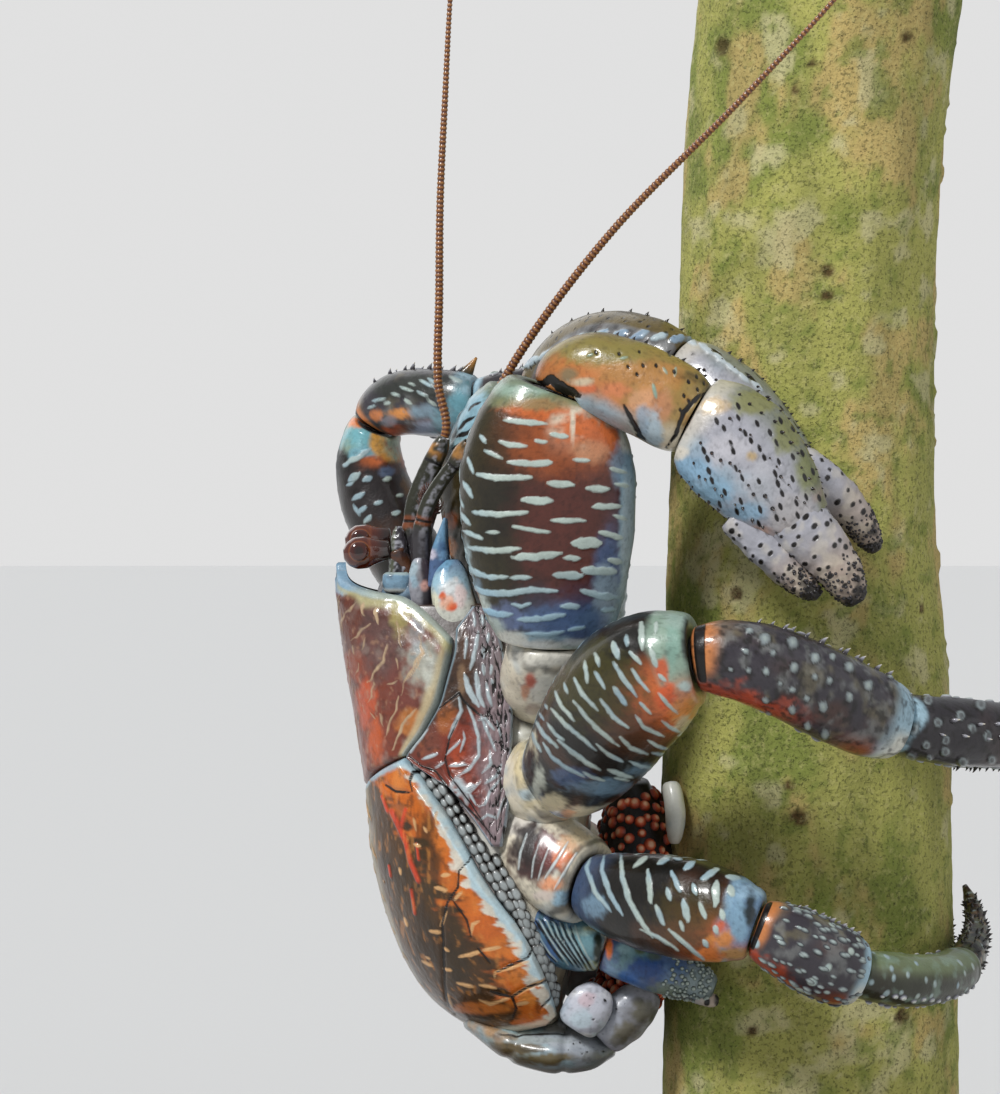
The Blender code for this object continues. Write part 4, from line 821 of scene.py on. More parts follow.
farWristBars = (
    (0.49, -37.1, 42.3, -33, 43.1), (0.49, -31.4, 44.5, -29, 43.9),
    (0.45, -29, 46.4, -25.3, 45.2), (0.41, -26.5, 47.6, -24.5, 46.8),
    (0.49, -24.1, 45.2, -20.8, 43.5), (0.49, -23.3, 48.4, -19.6, 46.4),
    (0.49, -20.8, 48.8, -18.4, 47.4), (0.41, -14.7, 49.4, -11.1, 48),
    (0.53, -28.1, 43.1, -25.7, 41.5), (0.49, -13.5, 48.8, -11.5, 47.6),
    (0.49, -33.8, 41.5, -31.8, 41.9), (0.49, -20.8, 42.3, -18.4, 41.1),
    (0.41, -38.3, 40.3, -35.9, 41.1), (0.49, -18.4, 45.2, -16.8, 43.5))
farWristDabs = (
    ((48, 50, 46), 1, -24.9, 46.4, 17.1, 4.5), ((216, 142, 72), 1, -28.6, 38.6, 4.9, 2),
    ((216, 130, 70), 0.9, -35.9, 38.2, 2, 1.6), ((150, 160, 180), 1, -21.6, 32.5, 5.3, 4.9),
    ((106, 158, 172), 1, -11.5, 41.1, 4.5, 6.5), ((128, 150, 164), 1, -22.9, 39.1, 4.9, 2.4),
    ((120, 160, 172), 0.9, -16.8, 35.8, 3.3, 4.9), ((140, 140, 150), 0.7, -31.8, 36.6, 2.4, 2))
farArmDabs = (
    ((136, 172, 186), 1, -8.6, 37.4, 8.9, 10.6), ((150, 182, 190), 0.9, -11.9, 30.1, 3.3, 2.4),
    ((58, 48, 22), 1, -14.7, 15.9, 5.3, 10.6), ((150, 76, 30), 1, -14.3, 7.3, 2.4, 2.8),
    ((184, 112, 52), 1, -14.3, 0, 2, 2.8), ((60, 70, 50), 0.8, -12.7, 24, 2.4, 2.4))
farCrest = (
    (1.0, 6.9, 52.1, 11.2, 55.1), (1.0, 11.4, 54.4, 16, 57.4), (1.05, 16.1, 56.8, 20.7, 59.8),
    (1.1, 20.7, 58.5, 25.3, 61.5), (1.1, 26.6, 59.7, 31.2, 62.7), (1.1, 32.4, 60.2, 37, 62.6),
    (1.1, 38.2, 60.4, 42.8, 62.4), (1.1, 44, 60.2, 48.4, 61.6), (1.1, 49.6, 60, 53.4, 60.6),
    (1.0, 53.6, 60.6, 57, 58.4), (0.9, 57.8, 58.8, 61.4, 56.2), (0.8, 62.2, 56, 65.4, 53.2),
    (0.8, 65.8, 53.2, 69, 50.4), (0.7, 69.5, 50.3, 72.3, 47.5), (0.7, 73, 48, 76, 45.4))
farArmLines = (
    (0.53, -12.1, 34.2, -10.3, 36.4, -7, 38), (0.61, -12.7, 31.9, -8.6, 33.2, -6.2, 35.6),
    (0.45, -9.4, 39.3, -7.4, 40.9, -5.4, 41.9), (0.45, -13.9, 28.3, -10.3, 30.5),
    (0.49, -14.3, 26.9, -11.5, 28.1))


def joints(points, turns=None):
    # The joints of a limb and its direction at each.
    points = np.array(points, float)
    leans = leansOf(points)
    for k, lean in (turns or {}).items():
        leans[k] = unit(np.array(lean, float))
    return points, leans


def around(k, turn, reach):     # 1 near one side of a limb, 0 on the others
    gap = np.abs((k.turn - turn + 0.5) % 1 - 0.5)
    return 1 - ramp(gap, reach * 0.5, reach)


def washes(k, base, zones):
    paint = np.broadcast_to(base, k.p.shape).copy()
    for ink, share in zones:
        paint = layer(paint, inks[ink] if isinstance(ink, str) else ink, share)
    return paint


def warped(k, size, seed, reach=0.03):
    return k.t + reach * grain(k.p, size, seed, 2)


def armPaint(k):
    # Upper arm of a claw: dark, crossed by pale lens-shaped ridges, blue at its root.
    t, q = warped(k, 9, 3), np.cos(k.a) + 0.12 * grain(k.p, 8, 5, 2)
    patch = 1 - ramp(np.hypot((t - 0.87) / 0.13, (q + 0.35) / 0.55), 0.35, 1.15)
    paint = washes(k, inks["black"], (
        ("olive", 0.35 * ramp(q, -0.2, 0.8)), ("maroon", 0.85 * ramp(-q, -0.55, 0.25)),
        ("rust", 0.75 * ramp(t, 0.6, 0.86) * ramp(-q, -0.9, 0.0)),
        ("blue", 0.85 * ramp(-t, -0.30, -0.10) * ramp(-q, -0.7, 0.3)),
        ("blue", 0.6 * ramp(-q, 0.45, 0.8) * ramp(-t, -0.7, -0.2)),
        ("orange", 0.95 * patch), ("teal", ramp(t, 0.90, 0.94)),
        ("cream", 0.8 * around(k, 0.72, 0.05) * ramp(t, 0.72, 0.88)),
        ("greyGreen", 0.7 * ramp(t, 0.965, 0.98)),
        ("paleBlue", 0.9 * ramp(-q, 0.76, 0.92)), ("pale", ramp(-t, -0.075, -0.03)),
        ("cream", 0.7 * ramp(-t, -0.03, -0.01))))
    bars = marks(k, 11, row=4.6, pitch=12.0, long=5.2, wide=0.82, swing=4, keep=0.9, loose=0.5)
    bars = bars - 6 * ramp(t, 0.83, 0.87) - 6 * ramp(q, 0.66, 0.78) - 6 * patch
    scallops = marks(k, 23, row=6.2, pitch=8.0, long=5.0, wide=0.95, turn=-38, swing=8)
    scallops = scallops - 6 * ramp(-q, -0.72, -0.6) - 4 * ramp(t, 0.93, 0.96)
    notches = (marks(k, 31, row=4.8, pitch=5.0, long=2.6, wide=0.22, loose=0.2)
               - 6 * ramp(q, -0.9, -0.8))
    mark = np.maximum(bars, scallops)
    inlay = layer(np.broadcast_to(inks["pale"], paint.shape), inks["paleBlue"],
                  ramp(-t, -0.4, -0.1) + 0.5 * ramp(q, 0.5, 0.9))
    relief = 0.34 * ramp(mark, -0.3, 0.5) + 0.35 * grain(k.p, 14, 7, 2)
    relief = relief + 0.5 * ramp(t, 0.90, 0.93) - 0.35 * ramp(t, 0.955, 0.97)
    return {"paint": paint, "inlay": inlay, "mark": mark, "pit": notches, "relief": relief}


def barredPaint(look):
    # Upper and middle leg joints: bars or dots on a dark ground, bright where they hinge.
    def paintLeg(k):
        t, q = warped(k, 7, 3), np.cos(k.a) + 0.15 * grain(k.p, 7, 5, 2)
        paint = washes(k, inks[look.get("ground", "black")], (
            ("brown", 0.55 * blot(k, 12, 9, 2, 0.0, 0.5)), *look["zones"](k, t, q)))
        mark = marks(k, look.get("seed", 3), **look["marks"])
        mark = mark - 6 * ramp(t, look.get("clear", 0.86), look.get("clear", 0.86) + 0.04)
        inlay = layer(np.broadcast_to(inks["pale"], paint.shape) * 0.92, inks["lightBlue"],
                      0.6 * blot(k, 9, 21, 2, -0.2, 0.5) + 0.4 * ramp(-t, -0.4, -0.1))
        pit = look["pit"](k, t, q) if "pit" in look else np.full(k.t.shape, noMark)
        relief = look.get("rise", 0.2) * ramp(mark, -0.5, 0.5) + 0.25 * grain(k.p, 9, 7, 2)
        relief = relief + look.get("collar", 0.35) * ramp(t, 0.93, 0.95)
        return {"paint": paint, "inlay": inlay, "mark": mark, "pit": pit, "relief": relief}

    return paintLeg


def hinge(k, t, q):     # the dark slot where a leg's next joint turns
    slot = (1 - ramp(np.abs(k.t - 0.035), 0.012, 0.03)) * around(k, 0.8, 0.24)
    return slot * 1.4 - 0.9


legMarks = {"row": 3.7, "pitch": 9.0, "long": 4.7, "wide": 0.55, "swing": 7, "turn": 4,
            "keep": 0.94, "loose": 0.5}
legLooks = {
    "meral": {"marks": legMarks, "zones": lambda k, t, q: (
        ("blue", 0.8 * ramp(-t, -0.16, -0.05)),
        ("rust", 0.8 * ramp(t, 0.62, 0.85) * ramp(-q, -0.4, 0.4)),
        ("orange", ramp(t, 0.74, 0.88) * ramp(-q, -0.5, 0.3)),
        ("teal", ramp(t, 0.885, 0.925)),
        ("orange", 0.7 * ramp(t, 0.9, 0.93) * ramp(-q, 0.0, 0.6)),
        ("pale", 0.9 * ramp(-t, -0.045, -0.02)))},
    "striped": {"seed": 9, "clear": 0.82, "marks": {
        "row": 5.0, "pitch": 17.0, "long": 9.5, "wide": 0.72, "swing": 5, "turn": 6,
        "keep": 0.95, "loose": 0.4}, "zones": lambda k, t, q: (
        ("blue", 0.5 * ramp(-t, -0.3, -0.05)),
        ("rust", 0.7 * ramp(t, 0.6, 0.8) * ramp(-q, -0.3, 0.5)),
        ("orange", 0.9 * ramp(t, 0.76, 0.88) * ramp(-q, -0.2, 0.5)),
        ("lightBlue", ramp(t, 0.85, 0.89)),
        ("blue", 0.5 * ramp(t, 0.9, 0.93)),
        ("orange", 0.6 * ramp(t, 0.88, 0.92) * ramp(-q, 0.2, 0.8)))},
    "dotted": {"ground": "plum", "clear": 0.9, "rise": 0.1, "marks": {
        "row": 6.4, "pitch": 5.4, "long": 1.15, "wide": 1.0, "dots": True, "keep": 0.25},
        "pit": hinge, "zones": lambda k, t, q: (
        (tone(124, 126, 124), 0.6 * blot(k, 3.4, 19, 3, 0.0, 0.5)),
        (tone(120, 112, 84), 0.45 * blot(k, 5, 29, 3, 0.1, 0.5)),
        ("tan", 0.7 * ramp(-t, -0.2, -0.04) * ramp(q, 0.2, 0.9)),
        ("redOrange", 0.8 * ramp(-q + 0.5 * grain(k.p, 3, 39, 3), 0.45, 0.9)
         * ramp(-t, -0.62, -0.35)),
        (tone(190, 120, 70), around(k, 0.84, 0.2) * ramp(-t, -0.13, -0.07)),
        ("rust", 0.8 * ramp(-q, 0.3, 0.8) * ramp(t, 0.6, 0.85)),
        ("paleBlue", ramp(t, 0.83, 0.93)),
        ("cream", 0.7 * ramp(t, 0.86, 0.94) * ramp(-q, -0.1, 0.4)))},
    "ringed": {"ground": "black", "clear": 0.97, "rise": 0.05, "collar": 0.15, "marks": {
        "row": 6.0, "pitch": 5.6, "long": 0.9, "wide": 0.9, "dots": True, "keep": 0.1},
        "zones": lambda k, t, q: (
        ("plum", 0.6),
        ("paleBlue", ramp(-t, -0.05, -0.02)),
        ("redOrange", 0.7 * ramp(-q, 0.5, 0.9) * ramp(-t, -0.25, -0.1)))},
    "green": {"ground": "greyGreen", "clear": 0.97, "rise": 0.1, "marks": {
        "row": 5.0, "pitch": 4.6, "long": 1.0, "wide": 0.7, "dots": True, "keep": 0.5},
        "zones": lambda k, t, q: (
        (tone(112, 128, 92), 0.6 * ramp(np.sin(k.a), -0.1, 0.6)),
        ("black", 0.8 * ramp(-np.sin(k.a), -0.45, 0.1)),
        ("teal", 0.5 * blot(k, 3, 49, 3, 0.05, 0.5)))},
    "claw": {"ground": "black", "clear": 0.99, "rise": 0.05, "collar": 0.0, "marks": {
        "row": 3.0, "pitch": 2.8, "long": 0.7, "wide": 0.4, "dots": True, "keep": 0.5},
        "zones": lambda k, t, q: (
        (tone(82, 88, 56), 0.75 * blot(k, 2.4, 4, 3, -0.2, 0.3)),
        ("tan", 0.4 * blot(k, 1.6, 14, 2, 0.2, 0.5)))},
    "smallEnd": {"ground": "blue", "clear": -1.0, "marks": legMarks, "zones": lambda k, t, q: (
        ("lightBlue", 0.6 * blot(k, 4, 19, 3, 0.0, 0.5)),
        ("greyGreen", 0.7 * ramp(t, 0.7, 0.95)))},
    "small": {"ground": "blue", "clear": 0.86, "marks": {
        "row": 3.0, "pitch": 11.0, "long": 6.0, "wide": 0.4, "swing": 5, "loose": 0.3},
        "zones": lambda k, t, q: (
        ("black", 0.75 * ramp(np.sin(k.u * 2.1 + q), -0.2, 0.5)
         * ramp(-t, -0.85, -0.7)),
        ("lightBlue", ramp(t, 0.76, 0.85)),
        ("cream", ramp(t, 0.9, 0.95)))},
}


def rootPaint(k):
    # Short joint at the body: cream with a rusty streak.
    t = warped(k, 5, 3, 0.1)
    plain = 0.0 if "drawn" in k.surface.look else 0.8     # no random streaks among drawn ones
    paint = washes(k, inks["cream"], (
        ("lightBlue", 0.5 * blot(k, 7, 12, 2, 0.0, 0.5)),
        ("redOrange", plain * ramp(grain(k.p * (1, 1, 2.2), 6, 31, 2), 0.25, 0.5)),
        ("dark", 0.7 * (1 - ramp(np.abs(t - 0.9), 0.02, 0.07)))))
    return {"paint": paint, "relief": 0.5 * grain(k.p, 6, 8, 2)}


def wristPaint(k):
    # Wrist of a claw: olive over orange, salmon below, pearly where it meets the arm.
    t, q = warped(k, 7, 3), np.cos(k.a) + 0.2 * grain(k.p, 6, 5, 2)
    front = ramp(-np.sin(k.a), -0.2, 0.6)
    paint = washes(k, inks["ochre"], (
        ("olive", 0.85 * ramp(q, 0.25, 0.8)), ("salmon", 0.3 * ramp(-q, -0.3, 0.2) * front),
        (tone(140, 122, 68), 0.75 * blot(k, 5, 17, 3, -0.3, 0.3)),
        ("orange", 0.5 * near(k.p, k.surface.at(np.array(0.12), np.array(4.9)), (9, 20, 7), 3)),
        ("orange", 0.35 * ramp(-q, -0.2, 0.3) * (1 - ramp(np.abs(t - 0.45), 0.1, 0.3)) * front),
        ("paleBlue", 0.9 * ramp(-q, 0.35, 0.7) * ramp(-t, -0.9, -0.5)),
        ("cream", 0.9 * ramp(-q, 0.3, 0.7) * ramp(t, 0.75, 0.95))))
    dots = marks(k, 5, row=5.0, pitch=4.4, long=0.8, wide=0.42, dots=True, turn=70, swing=25)
    dots = dots - 6 * ramp(-q, -0.35, -0.1) * ramp(-t, -0.95, -0.8) - 3 * ramp(-q, 0.2, 0.4)
    arc = lineDepth(k.p, k.surface.at(np.array([0.995, 0.955, 0.955, 0.975]),
                                      np.array([5.6, 5.1, 4.6, 3.9])), 0.9)
    ridges = marks(k, 9, row=4.4, pitch=6.4, long=2.2, wide=0.35, turn=60, swing=20, keep=0.55)
    ridges = ridges - 4 * ramp(-q, -0.5, -0.2)
    relief = 0.4 * grain(k.p, 8, 7, 2) + 0.2 * ramp(ridges, -0.2, 0.3)
    return {"paint": paint, "inlay": inks["teal"], "mark": ridges,
            "pit": np.maximum(dots, arc), "relief": relief}


def pearlWristPaint(k):
    # The far wrist: a dark olive crest over pearly scalloped ridges.
    t, q = warped(k, 7, 3), np.cos(k.a) + 0.08 * grain(k.p, 6, 5, 2)
    paint = washes(k, tone(112, 112, 112), (
        ("brown", 0.6 * blot(k, 5, 4, 2, 0.0, 0.4)),
        ("dark", 0.6 * blot(k, 4, 14, 2, 0.05, 0.4)),
        (tone(96, 82, 46), ramp(q, 0.5, 0.62)), ("orange", 0.5 * ramp(-t, -0.14, -0.05))))
    scallops = marks(k, 14, row=4.6, pitch=8.0, long=4.4, wide=1.15, turn=32, swing=6,
                     keep=0.97, loose=0.25)
    scallops = scallops - 6 * ramp(q, 0.5, 0.6)
    specks = marks(k, 6, row=3.0, pitch=2.8, long=0.6, wide=0.36, dots=True, keep=0.8)
    specks = specks - 6 * ramp(-q, -0.6, -0.45)
    relief = 0.5 * ramp(scallops, -0.4, 0.6) + 0.3 * grain(k.p, 8, 7, 2)
    inlay = layer(np.broadcast_to(tone(168, 184, 190), paint.shape), tone(130, 152, 172),
                  blot(k, 6, 24, 2, -0.2, 0.3))
    return {"paint": paint, "inlay": inlay, "mark": scallops, "pit": specks, "relief": relief}


def handPaint(k):
    # Hand: pale lilac and blue, in rows of long dark pits.
    t, q = warped(k, 8, 3), np.cos(k.a) + 0.2 * grain(k.p, 8, 5, 2)
    paint = washes(k, inks["lilac"], (
        ("paleBlue", 0.6 * blot(k, 10, 33, 2, -0.1, 0.5)),
        ("lightBlue", 0.75 * ramp(-q, 0.1, 0.8) * ramp(-t, -0.8, -0.3)),
        ("greyGreen", 0.75 * ramp(q, 0.3, 0.9)),
        ("cream", 0.5 * ramp(-t, -0.16, -0.05)),
        ("salmon", 0.55 * ramp(t, 0.78, 1.0) * blot(k, 5, 6, 2, -0.4, 0.3))))
    pits = marks(k, 8, row=5.6, pitch=4.6, long=1.35, wide=0.62, dots=True, turn=90,
                 swing=14, loose=0.35, keep=0.9)
    pits = pits - 6 * ramp(-t, -0.1, -0.05) - 0.6 * ramp(-q, 0.6, 0.95)
    return {"paint": paint, "mark": noMark, "pit": pits, "inlay": tone(176, 186, 190),
            "relief": 0.35 * grain(k.p, 9, 7, 2) + 0.12 * ramp(pits, -0.9, -0.1)}


def fingerPaint(k):
    # Finger: pinkish horn with ringed dots and a black grainy tip.
    t = warped(k, 4, 3, 0.08)
    paint = washes(k, inks["lilac"], (
        ("tan", 0.65 * ramp(t, 0.4, 0.8)), ("cream", 0.3 * blot(k, 3, 8, 2, 0.0, 0.4)),
        ("dark", 0.95 * ramp(t + 0.12 * grain(k.p, 2.2, 9, 2), 0.84, 0.93))))
    pits = marks(k, 17, row=3.4, pitch=3.2, long=0.75, wide=0.6, dots=True, keep=0.85)
    return {"paint": paint, "pit": pits, "dull": 0.6 * ramp(t, 0.6, 0.9),
            "relief": 0.4 * grain(k.p, 3, 7, 2) + 0.2 * ramp(pits, -0.7, 0.0)}


paleStud = {"radius": 1.5, "height": 0.8, "sides": 10, "rings": (
    (1.3, -0.3, inks["plum"]), (1.0, 0.15, tone(96, 98, 104)), (0.78, 0.6, inks["lilac"]),
    (0.5, 0.92, inks["white"]), (0.2, 1.0, inks["pale"]))}
ringStud = {"radius": 1.2, "height": 0.6, "sides": 10, "rings": (
    (1.25, -0.3, inks["black"]), (1.0, 0.35, inks["lilac"]), (0.72, 0.9, inks["pale"]),
    (0.42, 0.75, inks["plum"]), (0.2, 0.5, inks["dark"]))}
spine = {"radius": 0.8, "height": 1.7, "lean": 0.5, "sides": 7, "rings": (
    (1.1, -0.3, inks["black"]), (0.8, 0.2, inks["plum"]), (0.4, 0.7, inks["lilac"]),
    (0.12, 1.0, inks["cream"]))}
blackSpine = dict(spine, radius=0.6, height=1.3, rings=(
    (1.2, -0.3, inks["plum"]), (0.85, 0.2, inks["dark"]), (0.4, 0.7, inks["dark"]),
    (0.15, 1.0, inks["brown"])))
grit = {"radius": 0.46, "height": 0.45, "sides": 6, "dull": 0.5, "rings": (
    (1.2, -0.3, inks["dark"]), (0.8, 0.5, inks["dark"]), (0.35, 1.0, inks["plum"]))}
paleGrit = dict(grit, radius=0.62, height=0.6, rings=(
    (1.2, -0.3, inks["black"]), (0.85, 0.5, tone(120, 134, 128)),
    (0.4, 1.0, tone(176, 188, 180))))


def limbPiece(name, look, step, finish, extra=()):
    skin, k = limbSkin(look, step)
    more = [add(k.surface) if callable(add) else limbSkin(add, step)[0] for add in extra]
    buildPiece(name, [skin] + more, finishes[finish])


def legPieces(side, number, points, turns, sizes, faces, looks, studPlans, step, drawn=None):
    place, leans = joints(points, turns)
    kinds = ("ischium", "merus", "carpus", "propodus", "dactylus")
    for k, kind in enumerate(kinds):
        name = "leg%d_%s_%s" % (number, kind, side)
        wide, thick = sizes[k]
        look = {"path": place[k:k + 2], "leans": leans[k:k + 2], "form": forms[kind],
                "wide": wide, "thick": thick, "face": faces[k],
                "paint": looks[k], "gap": (0.18 if k else 0.0, 0.0 if k == 4 else 0.18)}
        if drawn and kind in drawn:
            look["drawn"] = drawn[kind]
        extra = studPlans.get(kind, ())
        finish = "creamPlate" if kind == "ischium" else "limbHorn"
        limbPiece(name, look, step, finish, extra)


def studded(look, layout, seed=0):
    return lambda surface: studs(surface.at, *layout, look, seed)


bars, stripes = barredPaint(legLooks["meral"]), barredPaint(legLooks["striped"])
dots, rings = barredPaint(legLooks["dotted"]), barredPaint(legLooks["ringed"])
greens, clawEnd = barredPaint(legLooks["green"]), barredPaint(legLooks["claw"])


def thornPaint(k):
    paint = washes(k, inks["plum"], (("olive", 0.6 * ramp(k.t, 0.1, 0.4)),
                                     ("ochre", 0.9 * ramp(k.t, 0.55, 0.9))))
    return {"paint": paint, "relief": 0.1 * grain(k.p, 2, 7, 2)}


thorn = {"path": [(-64, 49, 261.5), (-60.5, 47.4, 266.5), (-57.6, 46.6, 271)],
         "form": ((0, 3.4, 3.0), (0.5, 2.2, 1.9), (1, 0.3, 0.3)), "gap": (0, 0),
         "rims": (0, 0), "paint": thornPaint}


def secondStuds(right):
    return {
        "carpus": (studded(dict(paleStud, behind=True), inRows(8, 7, (0.14, 0.82), (0, 1), 5,
                                                               0.8)),
                   studded(spine, inRows(2, 8, (0.2, 0.95), (-0.05, 0.08), 8)),
                   *(() if right else (thorn,))),
        "propodus": (studded(dict(ringStud, behind=right), inRows(9, 11, (0.05, 0.95),
                                                                  (0, 1), 6)),
                     studded(spine, inRows(2, 9, (0.1, 0.95), (-0.04, 0.06), 9))),
        "dactylus": (studded(blackSpine, inRows(8, 12, (0.06, 0.86), (0, 1), 7)),),
    }


thirdStuds = {
    "carpus": (studded(dict(paleStud, radius=0.66, height=0.5, stretch=2.0, rings=(
        (1.3, -0.3, inks["plum"]), (1.0, 0.15, tone(70, 72, 76)), (0.78, 0.6, tone(112, 120, 120)),
        (0.4, 1.0, tone(150, 162, 160)))), inRows(14, 13, (0.14, 0.97), (0, 1), 15, 1.2)),
               studded(dict(spine, height=1.2), inRows(2, 7, (0.2, 0.95), (-0.05, 0.08), 8))),
    "propodus": (studded(dict(paleStud, radius=0.75, height=0.7, stretch=1.4),
                         inRows(5, 12, (0.08, 0.95), (0.28, 0.95), 16)),),
    "dactylus": (studded(dict(blackSpine, radius=0.45, height=0.9),
                         inRows(10, 15, (0.04, 0.9), (0, 1), 17, 1.2)),),
}
legPieces("right", 2, [(-42, -24, 147.5), (-34.5, -41, 149.0), (1.6, -92, 184.0),
                       (55.7, -72, 166.3), (103.1, -20, 158.1), (73.4, 26.5, 150.0)],
          {0: (0.2, -0.95, 0.1), 1: (0.52, -0.76, 0.39), 5: (-0.9, 0.1, -0.1)},
          ((12.4, 11.5), (18.0, 16), (12.0, 11), (10.6, 9.4), (7.0, 6.2)),
          (view, view, view, up, up), (rootPaint, bars, dots, rings, clawEnd),
          secondStuds(True), fineStep,
          {"ischium": {"dabs": rootDabs2 + rimDabs2, "pits": rootPits2, "grain": 3.0},
           "merus": {"dabs": secondDabs + rimDabs2, "marks": secondBars, "grain": 4.0},
           "carpus": {"spots": wristSpots}, "propodus": {"spots": handSpots, "ringed": 0.8}})
legPieces("left", 2, [(-44, 24, 150), (-59, 50, 177), (-88.6, 68, 251.4), (-57.1, 46, 257.0),
                      (7.3, 54, 259.8), (33.5, 41.0, 247.0)],
          {0: (-0.1, 0.9, 0.4), 1: (-0.35, 0.4, 0.84), 5: (0.75, -0.5, -0.4)},
          ((12.0, 11), (11.8, 16), (10.3, 10), (9.2, 8.8), (6.6, 6.2)),
          (view, view, view, view, up), (rootPaint, bars, dots, rings, clawEnd),
          secondStuds(False), farStep,
          {"merus": {"dabs": farDabs, "marks": farBars, "grain": 5.0},
           "carpus": {"dabs": farWristDabs, "marks": farWristBars, "grain": 4.0}})
legPieces("right", 3, [(-44.5, -26, 130.0), (-25.6, -43, 119.6), (18.5, -78, 111.4),
                       (45.0, -70, 98.6), (79.1, -33, 96.1), (84.6, 3, 115.2)],
          {0: (0.4, -0.9, 0.0), 5: (-0.35, 0.35, 0.87)},
          ((13.4, 12.4), (13.8, 11.4), (10.6, 9.6), (8.4, 7.4), (5.6, 4.8)),
          (view, view, view, up, (1, 0, 0)), (rootPaint, stripes, dots, greens, clawEnd),
          thirdStuds, fineStep,
          {"ischium": {"dabs": rootDabsAndHollowShade3, "marks": rootMarks3, "rise": 0.15, "grain": 3.0},
           "merus": {"dabs": thirdDabs, "marks": thirdBars, "grain": 4.0}})
legPieces("left", 3, [(-44.5, 26, 129.0), (-25.0, 43, 117), (14, 76, 105), (40, 73, 95),
                      (80, 44, 94), (73.2, 29.2, 112)],
          {0: (0.4, 0.9, 0.0), 5: (-0.6, -0.5, 0.6)},
          ((13.4, 12.4), (13.8, 11.4), (10.6, 9.6), (8.4, 7.4), (5.6, 4.8)),
          (view, view, view, up, up), (rootPaint, stripes, dots, greens, clawEnd),
          thirdStuds, farStep)
for side, sign in (("right", -1), ("left", 1)):
    place, leans = joints([(-49, 35 * sign, 108.5), (-21.5, 37 * sign, 100.4),
                           (9.5, 41 * sign, 90.4)])
    look = {"path": place[:2], "leans": leans[:2], "form": forms["merus"], "wide": 8.0,
            "thick": 6.6, "paint": barredPaint(legLooks["small"])}
    hand = {"path": place[1:], "leans": leans[1:], "form": forms["palm"], "wide": 6.6,
            "thick": 5.2, "paint": barredPaint(legLooks["smallEnd"])}
    if side == "right":
        look["drawn"] = {"dabs": smallDabs, "marks": smallBars, "pits": smallLines, "grain": 3.0}
        hand["drawn"] = {"dabs": smallHandDabs, "grain": 3.0}
    limbPiece("leg4_merus_" + side, look, 0.4, "limbHorn")
    nipper = {"path": [(1, 38.5 * sign, 90.3), (10.3, 42 * sign, 86.4)],
              "form": forms["finger"], "wide": 2.6, "thick": 2.2, "paint": fingerPaint}
    limbPiece("leg4_hand_" + side, hand, 0.4, "limbHorn",
              (nipper, studded(paleGrit, inRows(16, 11, (0.58, 0.98), (0, 1), 4, 1.7))))
print("legs made")


def clawPieces(side, points, turns, fingerPath, tipPath, widths, wrist, step, drawn):
    size, handWidth, tipWidth = widths
    place, leans = joints(points, turns)
    plans = (("ischium", 13 * size, 12 * size, rootPaint, "claw_arm", "creamPlate", ()),
             ("merus", 24.3 * size, 14 * size, armPaint, "claw_arm", "limbHorn", ()),
             ("carpus", 12.4, 11.5, wrist, "claw_wrist", "handHorn",
              (studded(dict(blackSpine, radius=0.5, height=1.0),
                       inRows(2, 7, (0.25, 0.94), (-0.04, 0.08), 3)),)))
    for k, (kind, wide, thick, paint, slot, finish, extra) in enumerate(plans):
        look = {"path": place[k:k + 2], "leans": leans[k:k + 2], "form": forms[kind],
                "wide": wide, "thick": thick, "paint": paint}
        if kind in drawn:
            look["drawn"] = drawn[kind]
        limbPiece("claw_%s_%s" % (kind, side), look, step, finish, extra)
    palm = {"path": place[3:5], "leans": leans[3:5], "form": forms["hand"], "wide": handWidth,
            "thick": 11.0, "paint": handPaint}
    if "palm" in drawn:
        palm["drawn"] = drawn["palm"]
    fixed = {"path": tipPath, "form": forms["tip"], "wide": tipWidth, "thick": 6.4,
             "paint": fingerPaint}
    tufts = studded(dict(blackSpine, radius=0.5, height=0.9),
                    inRows(12, 10, (0.12, 0.92), (0, 1), 21))
    gritty = lambda surface: studs(limbSurface(fixed).at, *inRows(16, 12, (0.7, 0.98), (0, 1), 31,
                                                                 1.7), grit)
    limbPiece("claw_hand_" + side, palm, step, "handHorn",
              (fixed, tufts, gritty))
    dactyl = {"path": fingerPath, "form": forms["finger"], "wide": 5.3 * size,
              "thick": 5.4 * size, "paint": fingerPaint, "gap": (0, 0)}
    limbPiece("claw_finger_" + side, dactyl, step, "handHorn",
              (studded(grit, inRows(14, 12, (0.62, 0.98), (0, 1), 33, 1.7)),))


